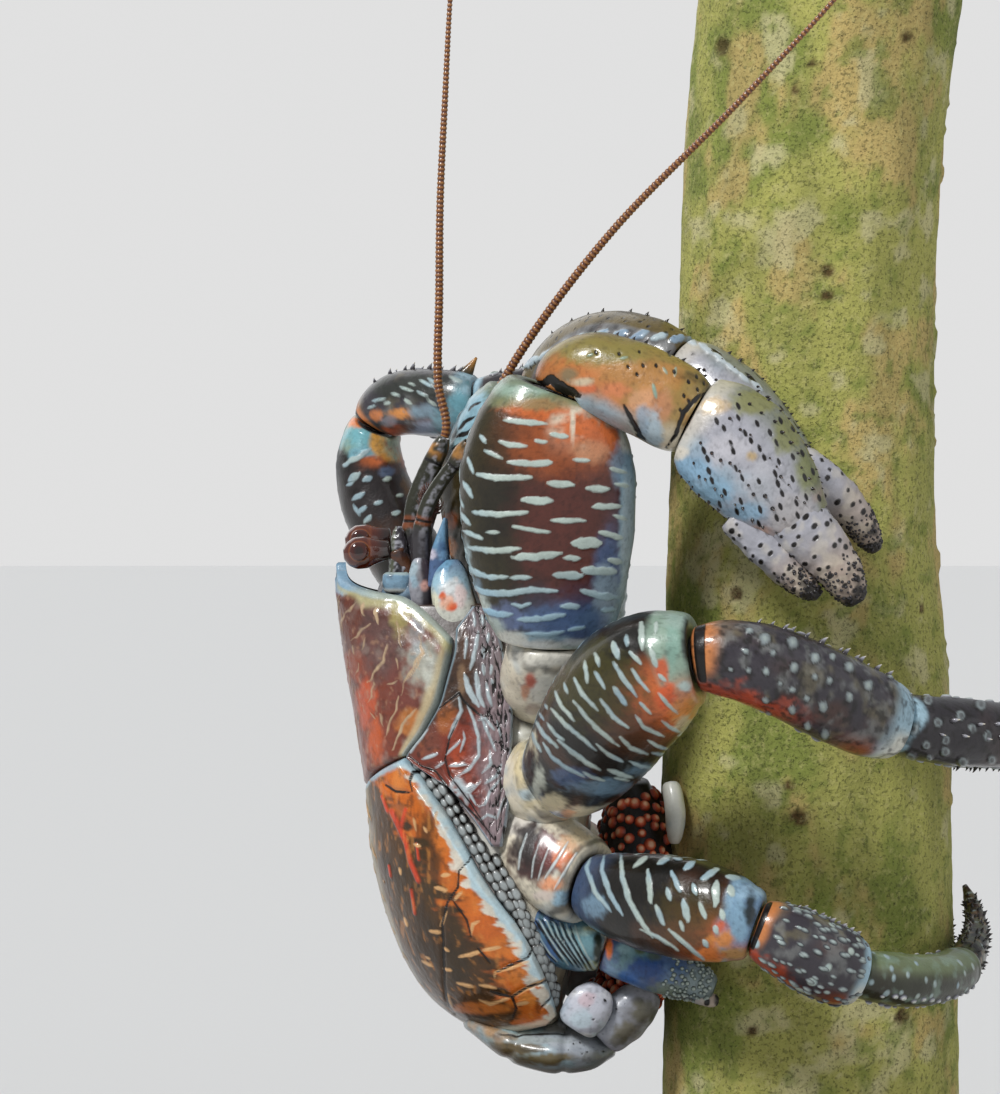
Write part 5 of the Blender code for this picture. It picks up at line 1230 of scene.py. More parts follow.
clawPieces("right", [(-39.2, -22, 171.4), (-35.8, -45, 188.6), (-33, -56, 256),
                     (2.6, -67, 248.4), (32.8, -71, 218.6)],
           {0: (0.1, -0.8, 0.5), 1: (0.02, -0.4, 0.9), 2: (0.35, -0.15, 0.93)},
           [(11.5, -70, 221.5), (17.5, -70, 217), (27.5, -70.2, 207), (35.8, -70.2, 200)],
           [(18, -70, 230), (32, -71, 218), (40.5, -71, 208.3), (46.3, -70.5, 198.2)],
           (1.0, 16.3, 8.6), wristPaint, fineStep,
           {"ischium": {"dabs": rootDabs1}, "merus": {"dabs": armDabs, "marks": armBars,
                                                      "pits": armSlot, "grain": 8.0},
            "carpus": {"dabs": wristDabs, "marks": wristMarks, "pits": wristPits},
            "palm": {"dabs": palmDabs, "pits": palmPits, "grain": 7.0}})
clawPieces("left", [(-38.6, 22, 168), (-33, 35, 184), (-37.5, 11, 255), (-1.0, -35.5, 262.6),
                    (34.5, -50.5, 231)],
           {0: (0.0, 0.8, 0.5), 1: (-0.05, 0.1, 0.95), 2: (0.42, -0.25, 0.87),
            3: (0.8, -0.42, -0.42)},
           [(23, -49.5, 230), (29, -49.5, 224), (37, -48, 216), (42, -46, 208)],
           [(22, -49.5, 242), (36, -49.5, 233), (46.5, -47, 224), (54.2, -43.8, 212.5)],
           (1.12, 12.8, 6.6), pearlWristPaint, 0.6,
           {"merus": {"dabs": farArmDabs, "pits": farArmLines, "grain": 8.0},
            "carpus": {"marks": farCrest, "rise": 0.7}, "palm": {"marks": farCrest, "rise": 0.5}})
print("claws made")

# shells of the body
bodyRows = {     # outline at each height: back, widest place and belly along x, half width
    "height": (74.0, 79.5, 86.6, 96.7, 111.2, 125.7, 143.1, 154.7, 169.2, 183.7, 198.2, 202.6,
               210.0),
    "back": (-58.0, -66.7, -73.7, -79.5, -84.4, -88.2, -89.4, -91.1, -93.4, -96.3, -97.5,
             -97.8, -98.6),
    "widest": (-37.0, -37.5, -40.3, -43.3, -47.0, -49.0, -48.8, -49.0, -49.0, -50.5, -53.4,
               -54.9, -59.2),
    "belly": (-29.0, -27.3, -25.9, -23.8, -21.5, -20.3, -19.8, -20.0, -21.5, -24.4, -33.0,
              -37.5, -44.7),
    "half": (27.0, 33.0, 40.0, 44.0, 45.0, 43.0, 39.0, 36.0, 33.0, 30.0, 24.0, 21.0, 16.0),
}
shellEdges = {     # half angles round the back where the shield and the rear shell end
    "shield": ((154.0, 47.0), (161.0, 58.0), (169.2, 66.0), (183.7, 74.0), (198.2, 78.0)),
    "rear": ((79.0, 113.5), (88.0, 109.0), (96.7, 102.0), (107.5, 92.5), (118.6, 83.0),
             (128.4, 76.0), (137.3, 67.5), (146.5, 57.0), (154.0, 47.0)),
    "groove": 0.9, "thick": 3.2,
}


def bodyRow(key, height):
    knots = np.stack([bodyRows["height"], bodyRows[key]], 1)
    return eased(knots, height, 1, 4.0)


def bodyPoint(height, angle, inset=0.0):     # angle 0 at the back, 180 at the belly
    back, widest, belly, half = (bodyRow(key, height)
                                 for key in ("back", "widest", "belly", "half"))
    c, s = rounded(np.radians(np.abs(angle)), 2.15)
    x = np.where(c > 0, widest - (widest - back - inset) * c,
                 widest - (belly - inset - widest) * c)
    return np.stack([x, -np.sign(angle) * (half - inset) * s, height + 0 * x], -1)


def edgeAngle(edge, height, gap):
    knots = np.array(shellEdges[edge], float)
    half = bodyRow("half", height)
    return eased(knots, height, 1, 2.0) - np.degrees(gap / half)


def shellPiece(name, height, angle, paint, finish, roll=1.6):
    # A plate over a grid of heights and angles, its edges rolled under.
    bare = bodyPoint(height, angle)
    rowStep = np.linalg.norm(np.gradient(bare, axis=0), axis=-1)
    columnStep = np.linalg.norm(np.gradient(bare, axis=1), axis=-1)
    fromFoot = np.cumsum(rowStep, 0) - rowStep
    fromHead = np.flip(np.cumsum(np.flip(rowStep, 0), 0), 0) - rowStep
    fromRight = np.cumsum(columnStep, 1) - columnStep
    fromLeft = np.flip(np.cumsum(np.flip(columnStep, 1), 1), 1) - columnStep
    edge = np.minimum(np.minimum(fromFoot, fromHead), np.minimum(fromLeft, fromRight))
    k = SimpleNamespace(p=bare, h=height, a=angle, edge=edge, foot=fromFoot, head=fromHead,
                        side=np.minimum(fromLeft, fromRight), u=np.cumsum(rowStep, 0),
                        v=np.cumsum(columnStep, 1))
    k.girth = k.v.max(1, keepdims=True) + 0 * height
    fields = paint(k)
    relief = fields.pop("relief", 0.0) * ramp(edge, 0.0, 1.5)
    inside = np.clip(1 - edge / roll, 0, 1)
    inset = 1.3 * (1 - np.sqrt(1 - inside ** 2 * 0.98)) - relief

    def framed(values, rim=None):
        values = np.asarray(values, float)
        pads = ((1, 1), (1, 1)) + ((0, 0),) * (values.ndim - 2)
        return np.pad(values, pads, mode="edge" if rim is None else "constant",
                      **({} if rim is None else {"constant_values": rim}))

    points = bodyPoint(framed(height), framed(angle), framed(inset, shellEdges["thick"]))
    rows, columns = points.shape[:2]
    faces = gridFaces(rows, columns, False)
    normal = gridNormals(points, False)
    middle = (-50, 0, 0) + points * (0, 0, 1)
    if np.sum(normal * (points - middle)) > 0:
        faces = faces[:, ::-1]
    full = {}
    for key, value in fields.items():
        shape = bare.shape if key in ("paint", "inlay") else bare.shape[:2]
        value = framed(np.broadcast_to(value, shape))
        full[key] = value.reshape(-1, 3) if key in ("paint", "inlay") else value
    buildPiece(name, [part(points, [faces], **full)], finishes[finish])


shieldMarks = (
    (0.33, -41.2, -15.7, -44.2, -19.7, -45.9, -25), (0.53, -39.2, -15.7, -38.9, -19.7),
    (0.73, -35.6, -18, -35, -22.3), (0.33, -38.2, -22.3, -41.5, -25.7, -43.5, -26.7),
    (0.33, -38.5, -26.3, -40.2, -30), (0.27, -42.3, -28, -42.2, -30.7),
    (0.4, -32.2, -28.3, -34.2, -33, -38.2, -39.3), (0.33, -30.6, -32.3, -30.2, -35.7),
    (0.27, -41.2, -33, -42.2, -36.3), (0.4, -33.2, -39.6, -30.2, -39),
    (0.33, -36.2, -39, -37.2, -43, -38.9, -45.3),
    (0.33, -29.6, -21.7, -28.9, -25.7, -28.9, -29.3),
    (0.47, -22.9, -26.3, -22.6, -30.3, -25.6, -35.7, -28.6, -43),
    (0.4, -29.6, -43.3, -30.9, -48.3, -32.6, -55),
    (0.53, -23.6, -47, -27.6, -51.6, -30.6, -57.6, -30.9, -59),
    (0.33, -22.2, -29, -23.6, -34.3, -26.6, -39), (0.33, -20.9, -53, -25.6, -58),
    (0.33, -38.2, -48.3, -36.2, -49.6), (0.33, -34.6, -48.3, -33.6, -52.3),
    (0.27, -36.5, -38.3, -35.9, -39.6))
shieldDabs = (
    ((98, 72, 68), 0.85, -34.2, -29, 7.7, 10), ((92, 42, 26), 0.75, -44.2, -23.7, 3, 10.7),
    ((150, 66, 34), 0.6, -42.2, -34.3, 3, 5.3), ((186, 78, 36), 0.9, -38.9, -45.6, 3.4, 8),
    ((190, 86, 36), 0.85, -36.2, -57, 2.8, 8.7), ((108, 60, 52), 0.8, -26.9, -41, 6, 8),
    ((120, 64, 50), 0.6, -32.2, -46.3, 2.7, 5.3), ((190, 120, 60), 0.8, -25.6, -51, 4.7, 4),
    ((158, 158, 146), 0.95, -20.9, -33, 6.3, 10), ((192, 194, 182), 0.8, -18.9, -35.7, 3.7, 7),
    ((108, 140, 172), 0.85, -20.9, -19.7, 5, 4), ((214, 200, 160), 0.9, -13.6, -29, 1.7, 8.7),
    ((200, 140, 70), 0.7, -12.9, -34.3, 0.9, 4), ((172, 160, 100), 0.75, -28.9, -17.7, 3.3, 7.3),
    ((190, 190, 164), 0.95, -32.9, -12.7, 8, 1.7), ((138, 174, 200), 0.95, -46.2, -11, 4, 3),
    ((150, 186, 210), 1, -48.9, -6.3, 2, 4), ((112, 78, 52), 0.85, -42.9, -10.5, 2.4, 1.7),
    ((216, 204, 170), 0.8, -25.6, -13, 2.7, 1.3), ((150, 160, 164), 0.6, -23.6, -26.3, 2.7, 6.7))
sideMarks = (
    (0.6, -6.2, -24.3, -6.9, -29, -8.6, -35.7), (0.53, -3.3, -25, -3.7, -27.7),
    (0.53, -4.6, -29, -4.8, -32.3), (0.53, -4.9, -34, -4.6, -37), (0.47, -2.4, -34.3, -2.6, -37),
    (0.47, -2.3, -38.3, -1.9, -40.3), (0.67, -6.9, -36.3, -6.2, -43, -4.6, -46.3),
    (0.8, -10.2, -37, -8.9, -41.6, -6.2, -46.3), (0.47, -3.9, -39.6, -3.3, -43, -2.3, -46.3),
    (0.53, -7.6, -19, -7.2, -23), (0.47, -5.2, -19.7, -4.9, -22.7),
    (0.4, -9.6, -26.3, -10.2, -32.3),
    (0.47, -11.9, -43.6, -11.2, -47.6, -13.9, -53, -14.9, -55.6),
    (0.47, -9.6, -45.6, -7.6, -50.3, -6.2, -55, -6.1, -60.3, -8.9, -64.3, -13.2, -67),
    (0.47, -5.6, -48.6, -3.6, -53.6, -1.3, -59), (0.33, -0.9, -50.3, 0.4, -55.6),
    (0.4, -15.9, -60.3, -12.2, -57, -11.6, -56.3), (0.4, -14.9, -63.6, -9.6, -63),
    (0.33, -11.6, -59.6, -10.2, -55.6, -10.6, -53.6), (0.4, -2.9, -59, -2.6, -63, -5.2, -65.6),
    (0.47, -22.6, -61.6, -18.2, -60), (0.47, -25.9, -59.6, -24.2, -57, -20.9, -53),
    (0.33, -18.9, -64.3, -16.2, -62.3), (0.4, -13.9, -70.6, -11.6, -70.3, -8.9, -71.3, -5.6, -68),
    (0.33, -8.9, -71.3, -6.9, -74.9), (0.33, -6.2, -75.3, -4.3, -74.6, -2.9, -70.9, 0.4, -67),
    (0.33, -6.2, -79.6, -3.6, -77.6, -0.9, -78.6), (0.27, -0.9, -78.9, 1.1, -72.9),
    (0.47, -4.3, -68.6, -0.9, -66.3, 0.4, -63), (0.4, -6.2, -50.3, -4.3, -49.6, -1.6, -53))
sideSeams = (
    (0.33, -17.6, -46.6, -11.9, -42.3, -10.9, -44.3, -8.9, -46.3, -6.2, -48.6, -3.9, -49,
     -2.3, -46.3),
    (0.27, -12.4, -50.3, -14.8, -55.6, -16.2, -61.6, -14.9, -66.3, -12.2, -69.6, -8.2,
     -74.9, -4.3, -80.9),
    (0.33, -26.9, -60.4, -22.9, -63.6, -18.9, -65, -14.9, -70.3, -9.6, -75.6, -5.6, -79.6,
     -1.6, -84.9), (0.2, -1.6, -48.3, 0.4, -53.6, 1.1, -59.6), (0.2, 1.1, -68.3, -0.9, -74.9))
sideDabs = (
    ((112, 64, 50), 0.9, -22.2, -57, 6.3, 5), ((152, 86, 40), 0.9, -15.6, -50.3, 3.3, 4.7),
    ((128, 54, 36), 1, -8.2, -59, 8.7, 10), ((104, 36, 26), 0.9, -6.9, -77.6, 8, 9),
    ((126, 106, 110), 0.6, -5.6, -51.6, 3, 3.3), ((84, 58, 40), 0.7, -9.6, -29.7, 2, 9.3),
    ((150, 120, 90), 0.5, -11.2, -38.3, 1.3, 4), ((126, 110, 114), 0.9, 3.1, -53, 2.4, 33.3),
    ((60, 44, 36), 0.6, -4.3, -33, 4, 9.3), ((170, 70, 34), 0.6, -12.2, -61, 2.7, 6))
rearMarks = (
    (0.57, -16.7, -95.3, -14.2, -95), (0.57, -18.9, -98.7, -15.8, -99.4),
    (0.57, -20.5, -111.3, -17.3, -111.9), (0.44, -16.7, -116.3, -14.8, -117.3),
    (0.44, -16.7, -122.3, -14.2, -122.9), (0.44, -22.7, -120.1, -19.8, -121.7),
    (0.38, -28, -107.5, -27.1, -110), (0.44, -24.9, -86.2, -23, -86.8),
    (0.38, -22, -81.1, -21.1, -82.7), (0.5, -13.2, -102.5, -11, -100),
    (0.5, -8.5, -112.6, -7.9, -109.4, -6, -108.5), (0.5, -17.3, -110, -15.4, -105.6),
    (0.57, -12, -118.9, -8.5, -118.2, -5.4, -117.3), (0.5, -5.1, -117, 0.3, -116),
    (0.5, -1.6, -125.1, -1.3, -123.3, 3.4, -122, 8.4, -120.1), (0.5, -12.6, -126.4, -7.6, -127.7),
    (0.5, -6, -127, -1, -128), (0.5, 2.8, -130.8, 7.2, -128.3, 13.5, -125.1),
    (0.5, -6, -131.4, -2.9, -132.7, 2.8, -130.8), (0.38, -15.4, -129.5, -13.6, -133.3),
    (0.5, 4.4, -132.7, 8.4, -132.1), (0.38, -24.9, -78.6, -24.1, -82.4),
    (0.31, -18.3, -76.7, -18, -81.1), (0.38, -29.3, -93.1, -28.9, -95),
    (0.38, -21.7, -118.9, -20.5, -119.5), (0.38, -16.1, -100, -15.4, -99.4))
rearStreaks = (
    (1.26, -31.2, -76.7, -29.3, -81.1, -27.4, -85.5),
    (1.07, -27.4, -85.5, -26.1, -91.2, -23.7, -96.8), (0.88, -27.1, -76.1, -28.7, -81.1),
    (0.63, -25.8, -99.4, -24.8, -106.3), (0.5, -32.4, -92.4, -31.8, -95.6),
    (0.57, -24.1, -86.2, -23.6, -90.6), (0.75, -34, -72.3, -32.4, -76.7))
rearSeams = (
    (0.25, -8.7, -87.4, -9.2, -91.2, -12, -94, -12.3, -98.7, -15.4, -103.1, -17, -109.4,
     -16.7, -118.9, -16.4, -126.4, -15.1, -133.3, -13.6, -135.2),
    (0.25, 9.7, -116.3, 7.8, -119.2, 3.4, -121.1, -1, -123.3),
    (0.25, 14.4, -124.2, 13.5, -125.8, 7.8, -127.7, 3.4, -130.5, 4.7, -133.9, 3.4, -137.1),
    (0.19, 14.7, -124.2, 15.1, -130.2, 11.6, -133.9),
    (0.19, -13.6, -102.8, -9.8, -108.2, -8.5, -113.2), (0.19, -6.6, -116.3, -2.9, -120.7),
    (0.25, 3.4, -130.5, 0.6, -130, -2.9, -128.9), (0.31, -33.4, -69, -30.5, -70.9, -26, -71.2),
    (0.19, -26, -63.5, -25.5, -71.1))
rearDabs = (
    ((56, 40, 16), 0.85, -19.8, -91.2, 3.8, 16.3), ((52, 38, 16), 0.85, -12.3, -121.4, 5.7, 7.5),
    ((64, 44, 18), 0.7, -28, -100, 3.8, 12.6), ((60, 42, 16), 0.8, -12.9, -111.3, 3.8, 6.3),
    ((206, 122, 52), 0.95, -29.3, -66.7, 3, 5), ((196, 110, 40), 0.95, -21.7, -71.1, 3.1, 4.4),
    ((200, 110, 36), 0.95, -15.4, -83, 3.5, 7.5), ((192, 98, 30), 0.95, -7.9, -96.8, 3.8, 3.8),
    ((196, 104, 34), 0.95, -4.8, -103.8, 5.3, 4.4), ((186, 92, 28), 0.95, -2.9, -110.7, 6.3, 5),
    ((196, 108, 36), 0.95, 1.5, -115.7, 5.7, 3.5), ((200, 116, 44), 0.95, 4.7, -124.5, 5, 2.6),
    ((204, 124, 52), 0.95, 9.1, -130.8, 3.8, 2.3), ((196, 112, 44), 0.9, -2.9, -133.9, 7.5, 2),
    ((190, 110, 50), 0.8, -10.4, -133.9, 3.8, 1.5), ((190, 100, 32), 0.7, -14.2, -95, 2.5, 3.8),
    ((176, 196, 200), 0.9, -5.7, -94.3, 2.8, 3.8), ((176, 196, 200), 0.9, -0.4, -102.5, 2.8, 4.4),
    ((180, 198, 204), 0.9, 7.2, -112.6, 3.1, 3.8), ((180, 196, 204), 0.9, 10.6, -119.5, 3.1, 3.5),
    ((186, 190, 180), 0.9, 12.9, -125.8, 1.9, 2.5),
    ((150, 176, 186), 0.85, -13.6, -81.1, 1.9, 3.8), ((150, 84, 40), 0.7, -29.3, -76.7, 3.1, 2.5))


def atTop(k, reach, mark):     # the general marks near the middle line of the back only
    return np.where(np.abs(k.a) < reach, mark, noMark)


def shieldPaint(k):
    # Front shell: red-brown with fine pale scratches, a pale head margin, a painted grey sheen aside.
    a = np.abs(k.a)
    rough = grain(k.p, 9, 3, 3)
    fine = grain(k.p, 2.2, 13, 2)
    torn = 0.9 * grain(k.p, 8, 3, 4) + 0.6 * grain(k.p, 2.6, 23, 3)
    paint = washes(k, tone(118, 56, 38), (
        (tone(84, 46, 34), 0.7 * blot(k, 12, 8, 3, -0.1, 0.3)),))
    paint = dabbed(seen(k.p, True), paint, shieldDabs, 1.5 * torn)
    # a painted grey sheen, in patches toward each side
    paint = layer(paint, tone(148, 132, 122), 0.45 * blot(k, 4.5, 43, 3, 0.05, 0.45)
                  * ramp(a, 12, 40))
    paint = layer(paint, paint * 0.62, 0.7 * ramp(fine, 0.05, 0.5))
    paint = layer(paint, tone(172, 134, 104), 0.35 * blot(k, 1.4, 63, 2, 0.25, 0.6))
    paint = washes(k, paint, (
        (tone(186, 172, 136), 0.8 * ramp(-k.side + 2 * rough, -3.4, -1.4)),
        (tone(160, 178, 180), 0.6 * ramp(-k.side, -1.2, -0.5)),
        (tone(178, 172, 128), 0.85 * ramp(-k.head + 2.5 * rough, -5.0, -2.4)),
        (tone(168, 182, 176), 0.8 * ramp(-k.head + rough, -2.0, -0.8)),
        ("lightBlue", ramp(-k.head + rough, -2.4, -1.2) * ramp(-a + 8 * rough, -46, -18)),
        ("lightBlue", 0.9 * ramp(-a - 1.2 * k.head, -15, -6))))
    scratch = marks(k, 4, row=8.0, pitch=7.0, long=4.2, wide=0.3, turn=58, swing=34,
                    keep=0.72, loose=0.9)
    bent = seen(k.p, True) + 1.3 * np.stack([grain(k.p, 4, 73, 2), grain(k.p, 4, 83, 2)], -1)
    drawn = strokes(bent, shieldMarks, grain(k.p, 1.5, 93, 2))[0] - 0.12
    mark = np.maximum(atTop(k, 16, scratch), drawn)
    hollow = strokes(seen(k.p, True), ((4.2, -41.5, 38.2, -36.0, 36.2),), rough)[1]
    relief = 0.55 * grain(k.p, 14, 12, 2) + 0.12 * grain(k.p, 3.5, 5, 2) + 0.1 * fine
    relief = relief + 0.2 * ramp(mark, -0.3, 0.3) + 0.5 * np.exp(-(k.head - 6) ** 2 / 6)
    relief = relief - 0.9 * ramp(hollow, 0.0, 0.8)
    return {"paint": paint, "inlay": tone(182, 156, 124), "mark": mark, "relief": relief}


def rearPaint(k):
    # Rear shell: olive-brown breaking into orange flames, with a blue rim.
    a, h = np.abs(k.a), k.h
    spot = seen(k.p, True)
    rough = grain(k.p * (1, 1, 0.6), 5, 3, 4)
    flame = grain(np.stack([0.3 * k.side, h, 0.1 * a], -1), 1.9, 33, 3)
    fine = grain(k.p * (1, 1, 0.45), 1.6, 13, 3)
    mottle = grain(k.p, 4.5, 53, 3)
    paint = washes(k, tone(72, 46, 16), (
        (tone(46, 30, 10), 0.8 * ramp(grain(k.p * (1, 1, 0.4), 8, 43, 2), 0.0, 0.4)),
        (tone(192, 98, 26), 0.95 * ramp(-k.side + 9 * flame, -15, -10))))
    paint = dabbed(spot, paint, rearDabs, 1.2 * rough + 0.5 * flame)
    red = strokes(spot, rearStreaks, 2.2 * grain(k.p, 2.4, 95, 3))[1]
    band = 2.0 + 2.6 * np.clip((140 - h) / 20, 0, 1) - 1.4 * np.clip((105 - h) / 20, 0, 1)
    paint = washes(k, paint, (
        (tone(200, 62, 30), 0.9 * ramp(red, 0.0, 0.8)),
        (tone(40, 28, 12), 0.55 * ramp(fine, 0.12, 0.5)),
        (tone(214, 140, 64), 0.35 * ramp(-fine, 0.2, 0.5)),
        (tone(150, 134, 84), 0.65 * ramp(-a + 10 * rough, -22, -6)),
        (tone(206, 204, 190), 0.9 * ramp(1.2 * band - k.side + 5 * flame, 0, 1.2)),
        (tone(172, 196, 204), 0.95 * ramp(0.8 * band - k.side + 3 * mottle, 0, 1.2)),
        (tone(196, 204, 200), 0.7 * ramp(-k.side, -2.0, -1.0) * ramp(mottle, -0.1, 0.3)),
        ("cream", 0.7 * ramp(-k.foot + 2 * rough, -3.4, -1.8)),
        ("paleBlue", 0.8 * ramp(-k.head + rough, -2.4, -1.2))))
    dashes = marks(k, 14, row=7.4, pitch=8.0, long=2.3, wide=0.5, turn=-8, swing=24,
                   keep=0.6, loose=0.8)
    drawn = strokes(spot, rearMarks, grain(k.p, 1.5, 93, 2))[0]
    mark = np.maximum(atTop(k, 22, dashes), drawn)
    seams = strokes(spot, rearSeams, grain(k.p, 1.5, 94, 2))[0] + 0.1
    relief = 0.6 * grain(k.p, 16, 12, 2) + 0.12 * fine + 0.25 * ramp(mark, -0.3, 0.4)
    relief = relief + 0.3 * ramp(red, 0.0, 0.6) + 0.7 * np.exp(-(k.side - 1.8) ** 2 / 1.5)
    relief = relief - 0.5 * ramp(seams, -0.6, 0.1)
    return {"paint": paint, "inlay": tone(206, 160, 108), "mark": mark, "pit": seams,
            "relief": relief}


def sidePaint(k):
    # Cheek plates: brown with pale-blue dashes above, a red-brown net below, wrinkled behind.
    a, h = np.abs(k.a), k.h
    spot = seen(k.p, True)
    rough = grain(k.p, 6, 3, 3)
    fine = grain(k.p, 1.6, 13, 2)
    behind = ramp(a + 4 * rough, 78, 85)
    paint = washes(k, tone(66, 46, 34), (
        (tone(112, 48, 34), ramp(-h + 12 * rough + 0.6 * (a - 76), -174, -164)),))
    paint = dabbed(spot, paint, sideDabs, rough + 0.6 * grain(k.p, 2.4, 23, 3))
    paint = washes(k, paint, (
        (tone(168, 96, 60), 0.4 * blot(k, 3, 43, 3, 0.1, 0.5) * ramp(-h, -172, -160)),
        (tone(30, 22, 18), 0.5 * ramp(fine, 0.1, 0.5)),
        (tone(132, 120, 124), 0.85 * behind), ("paleBlue", 0.5 * ramp(-k.side, -1.2, -0.5))))
    wrinkle = np.abs(grain(k.p * (1.6, 1.6, 0.24), 2.4, 61, 3))
    folds = 0.4 - 6.0 * wrinkle - 6 * (1 - behind)
    seams = strokes(spot, sideSeams, fine)[0]
    mark = strokes(spot, sideMarks, grain(k.p, 1.5, 93, 2))[0]
    net = 0.28 - 3.2 * np.abs(grain(k.p * (1, 1, 0.8), 5.5, 81, 2)) - 6 * ramp(h, 148, 156)
    mark = np.maximum(mark, net - 6 * behind)
    relief = 0.4 * grain(k.p, 8, 12, 2) + 0.1 * fine + 0.3 * ramp(mark, -0.35, 0.3)
    relief = relief + 0.45 * ramp(wrinkle, 0.0, 0.2) * behind - 0.45 * ramp(seams, -0.6, 0.1)
    return {"paint": paint, "inlay": tone(168, 180, 184), "mark": mark,
            "pit": np.maximum(folds, seams), "relief": relief}


def sheetGrid(rows, columns, step):
    return np.meshgrid(np.linspace(0, 1, int(rows / step)), np.linspace(-1, 1, int(columns / step)),
                       indexing="ij")


def shieldHead(s):     # its top edge, which slopes down over each cheek
    slope = np.clip((np.abs(s) - 0.72) / 0.28, 0, 1)
    return 209.2 - 11.0 * np.abs(s) ** 0.45 - 10.5 * slope ** 1.7


half = shellEdges["groove"] / 2
seamHeight = 154.0     # where the seam between the two shells meets the side plates
t, s = sheetGrid(62, 108, 0.42)
foot = 144.0 + 10.3 * np.abs(s) + half
head = shieldHead(s)
height = foot + (head - foot) * t
reach = edgeAngle("shield", height[:, :1], half)
shellPiece("carapace_shield", height, s * reach, shieldPaint, "shieldHorn")
t, s = sheetGrid(78, 170, 0.5)
head = 144.0 + 10.3 * np.abs(s) - half
foot = 79.6 - 5.0 * np.sin(math.pi * np.abs(s)) + 2.5 * np.abs(s)
height = foot + (head - foot) * t
reach = edgeAngle("rear", height[:, :1], half)
shellPiece("carapace_rear", height, s * reach, rearPaint, "shieldHorn")
for side, sign in (("right", 1), ("left", -1)):
    t, s = sheetGrid(70, 40, 0.4)
    height = 130.0 + 66.8 * t
    inner = np.where(height < seamHeight, edgeAngle("rear", height, -half),
                     edgeAngle("shield", height, -half))
    inner = inner + 5.5 * np.clip((height - 190.5) / 6.3, 0, 1)
    inner = inner + 10.0 * np.clip((seamHeight - height) / 8.0, 0, 1)     # room for the scutes
    outer = 94.0 - 3.0 * np.abs(height - 165.0) / 35.0
    outer = outer - 2.0 * np.clip((148.0 - height) / 18.0, 0, 1) ** 1.5
    shellPiece("side_plate_" + side, height, sign * (inner + (outer - inner) * (s + 1) / 2),
               sidePaint, "limbHorn", 1.1)
print("shells made")


# under body
sockets = [((-42, -24, 147.5), 15), ((-44.5, -26, 130.0), 15.5), ((-49, -33, 108.5), 9.5),
           ((-39.2, -22, 171.4), 15)]


def underPaint(k):
    rough = grain(k.p, 6, 3, 3)
    paint = washes(k, tone(186, 176, 152), (
        (tone(128, 130, 124), 0.6 * blot(k, 10, 8, 3, -0.1, 0.4)),
        (tone(170, 84, 54), 0.75 * blot(k, 7, 31, 3, 0.2, 0.45)),
        (tone(120, 108, 112), 0.8 * ramp(-np.abs(k.a) + 6 * rough, -100, -92)),
        (tone(64, 52, 46), 0.9 * ramp(k.h + 3 * rough, 184, 190))))
    rings, wells = 0, 0
    for spot, reach in sockets:
        for sign in (1, -1):
            gap = np.linalg.norm(k.p - np.array(spot) * (1, sign, 1), axis=-1)
            rings = np.maximum(rings, np.exp(-(gap - reach) ** 2 / 3.0))
            wells = np.maximum(wells, 1 - ramp(gap, reach - 3.5, reach - 1.5))
    seam = np.abs(grain(k.p * (1, 1, 1.3), 11, 71, 1))
    return {"paint": layer(layer(paint, inks["dark"], 0.85 * wells), inks["white"], 0.8 * rings),
            "pit": 0.3 - 12 * seam - 5 * rings, "relief": 1.6 * rings + 0.5 * rough}


def underBody():
    rows, columns = 240, 300
    height = np.linspace(78.5, 197.0, rows)[:, None] + np.zeros((1, columns))
    angle = np.linspace(-180, 180, columns, endpoint=False)[None, :] + 0.01 + 0 * height
    inset = 4.0 + 1.6 * np.clip((108 - height) / 30.0, 0, None)
    k = SimpleNamespace(p=bodyPoint(height, angle, inset), h=height, a=angle)
    fields = underPaint(k)
    relief = fields.pop("relief") * ramp(np.abs(angle), 92, 100)
    points = bodyPoint(height, angle, inset - relief)
    flat = np.concatenate([points.reshape(-1, 3), points[0].mean(0)[None],
                           points[-1].mean(0)[None]])
    full = {"paint": np.concatenate([fields["paint"].reshape(-1, 3), fields["paint"][0, :2]]),
            "pit": np.append(fields["pit"], [noMark, noMark])}
    parts = [part(flat, tubeFaces(flat, rows, columns), **full)]
    # chains of small dark-edged scutes beside the rim of the rear shell
    scute = {"radius": 1.3, "height": 1.0, "stretch": 1.55, "sides": 10,
             "out": lambda place, out: unit((place + (52, 0, 0)) * (1, 1, 0)),
             "rings": ((1.15, -1.6, inks["dark"]), (0.95, 0.2, inks["dark"]),
                       (0.78, 0.6, tone(84, 84, 82)), (0.45, 0.85, tone(140, 146, 146)))}
    for sign in (1, -1):
        for row, (first, last, count) in enumerate(((86.0, 152.0, 27), (88.0, 148.0, 24),
                                                    (90.0, 126.0, 13))):
            beside = -1.9 - 2.5 * row
            at = np.linspace(first, last, count)
            parts.append(studs(lambda t, turn, sign=sign, beside=beside: bodyPoint(
                t, sign * (edgeAngle("rear", t, beside) + np.degrees(turn)), 1.9), at, 0 * at,
                scute, 3 + row))
    buildPiece("thorax", parts, finishes["creamPlate"])


underBody()
print("under body made")


# head
def plainPaint(base, zones, rise=0.3, size=5):     # one ink, with zones of others over it
    def paintIt(k):
        t, q = warped(k, size, 3, 0.06), np.cos(k.a)
        return {"paint": washes(k, inks[base], zones(k, t, q)),
                "relief": rise * grain(k.p, size, 7, 2)}

    return paintIt


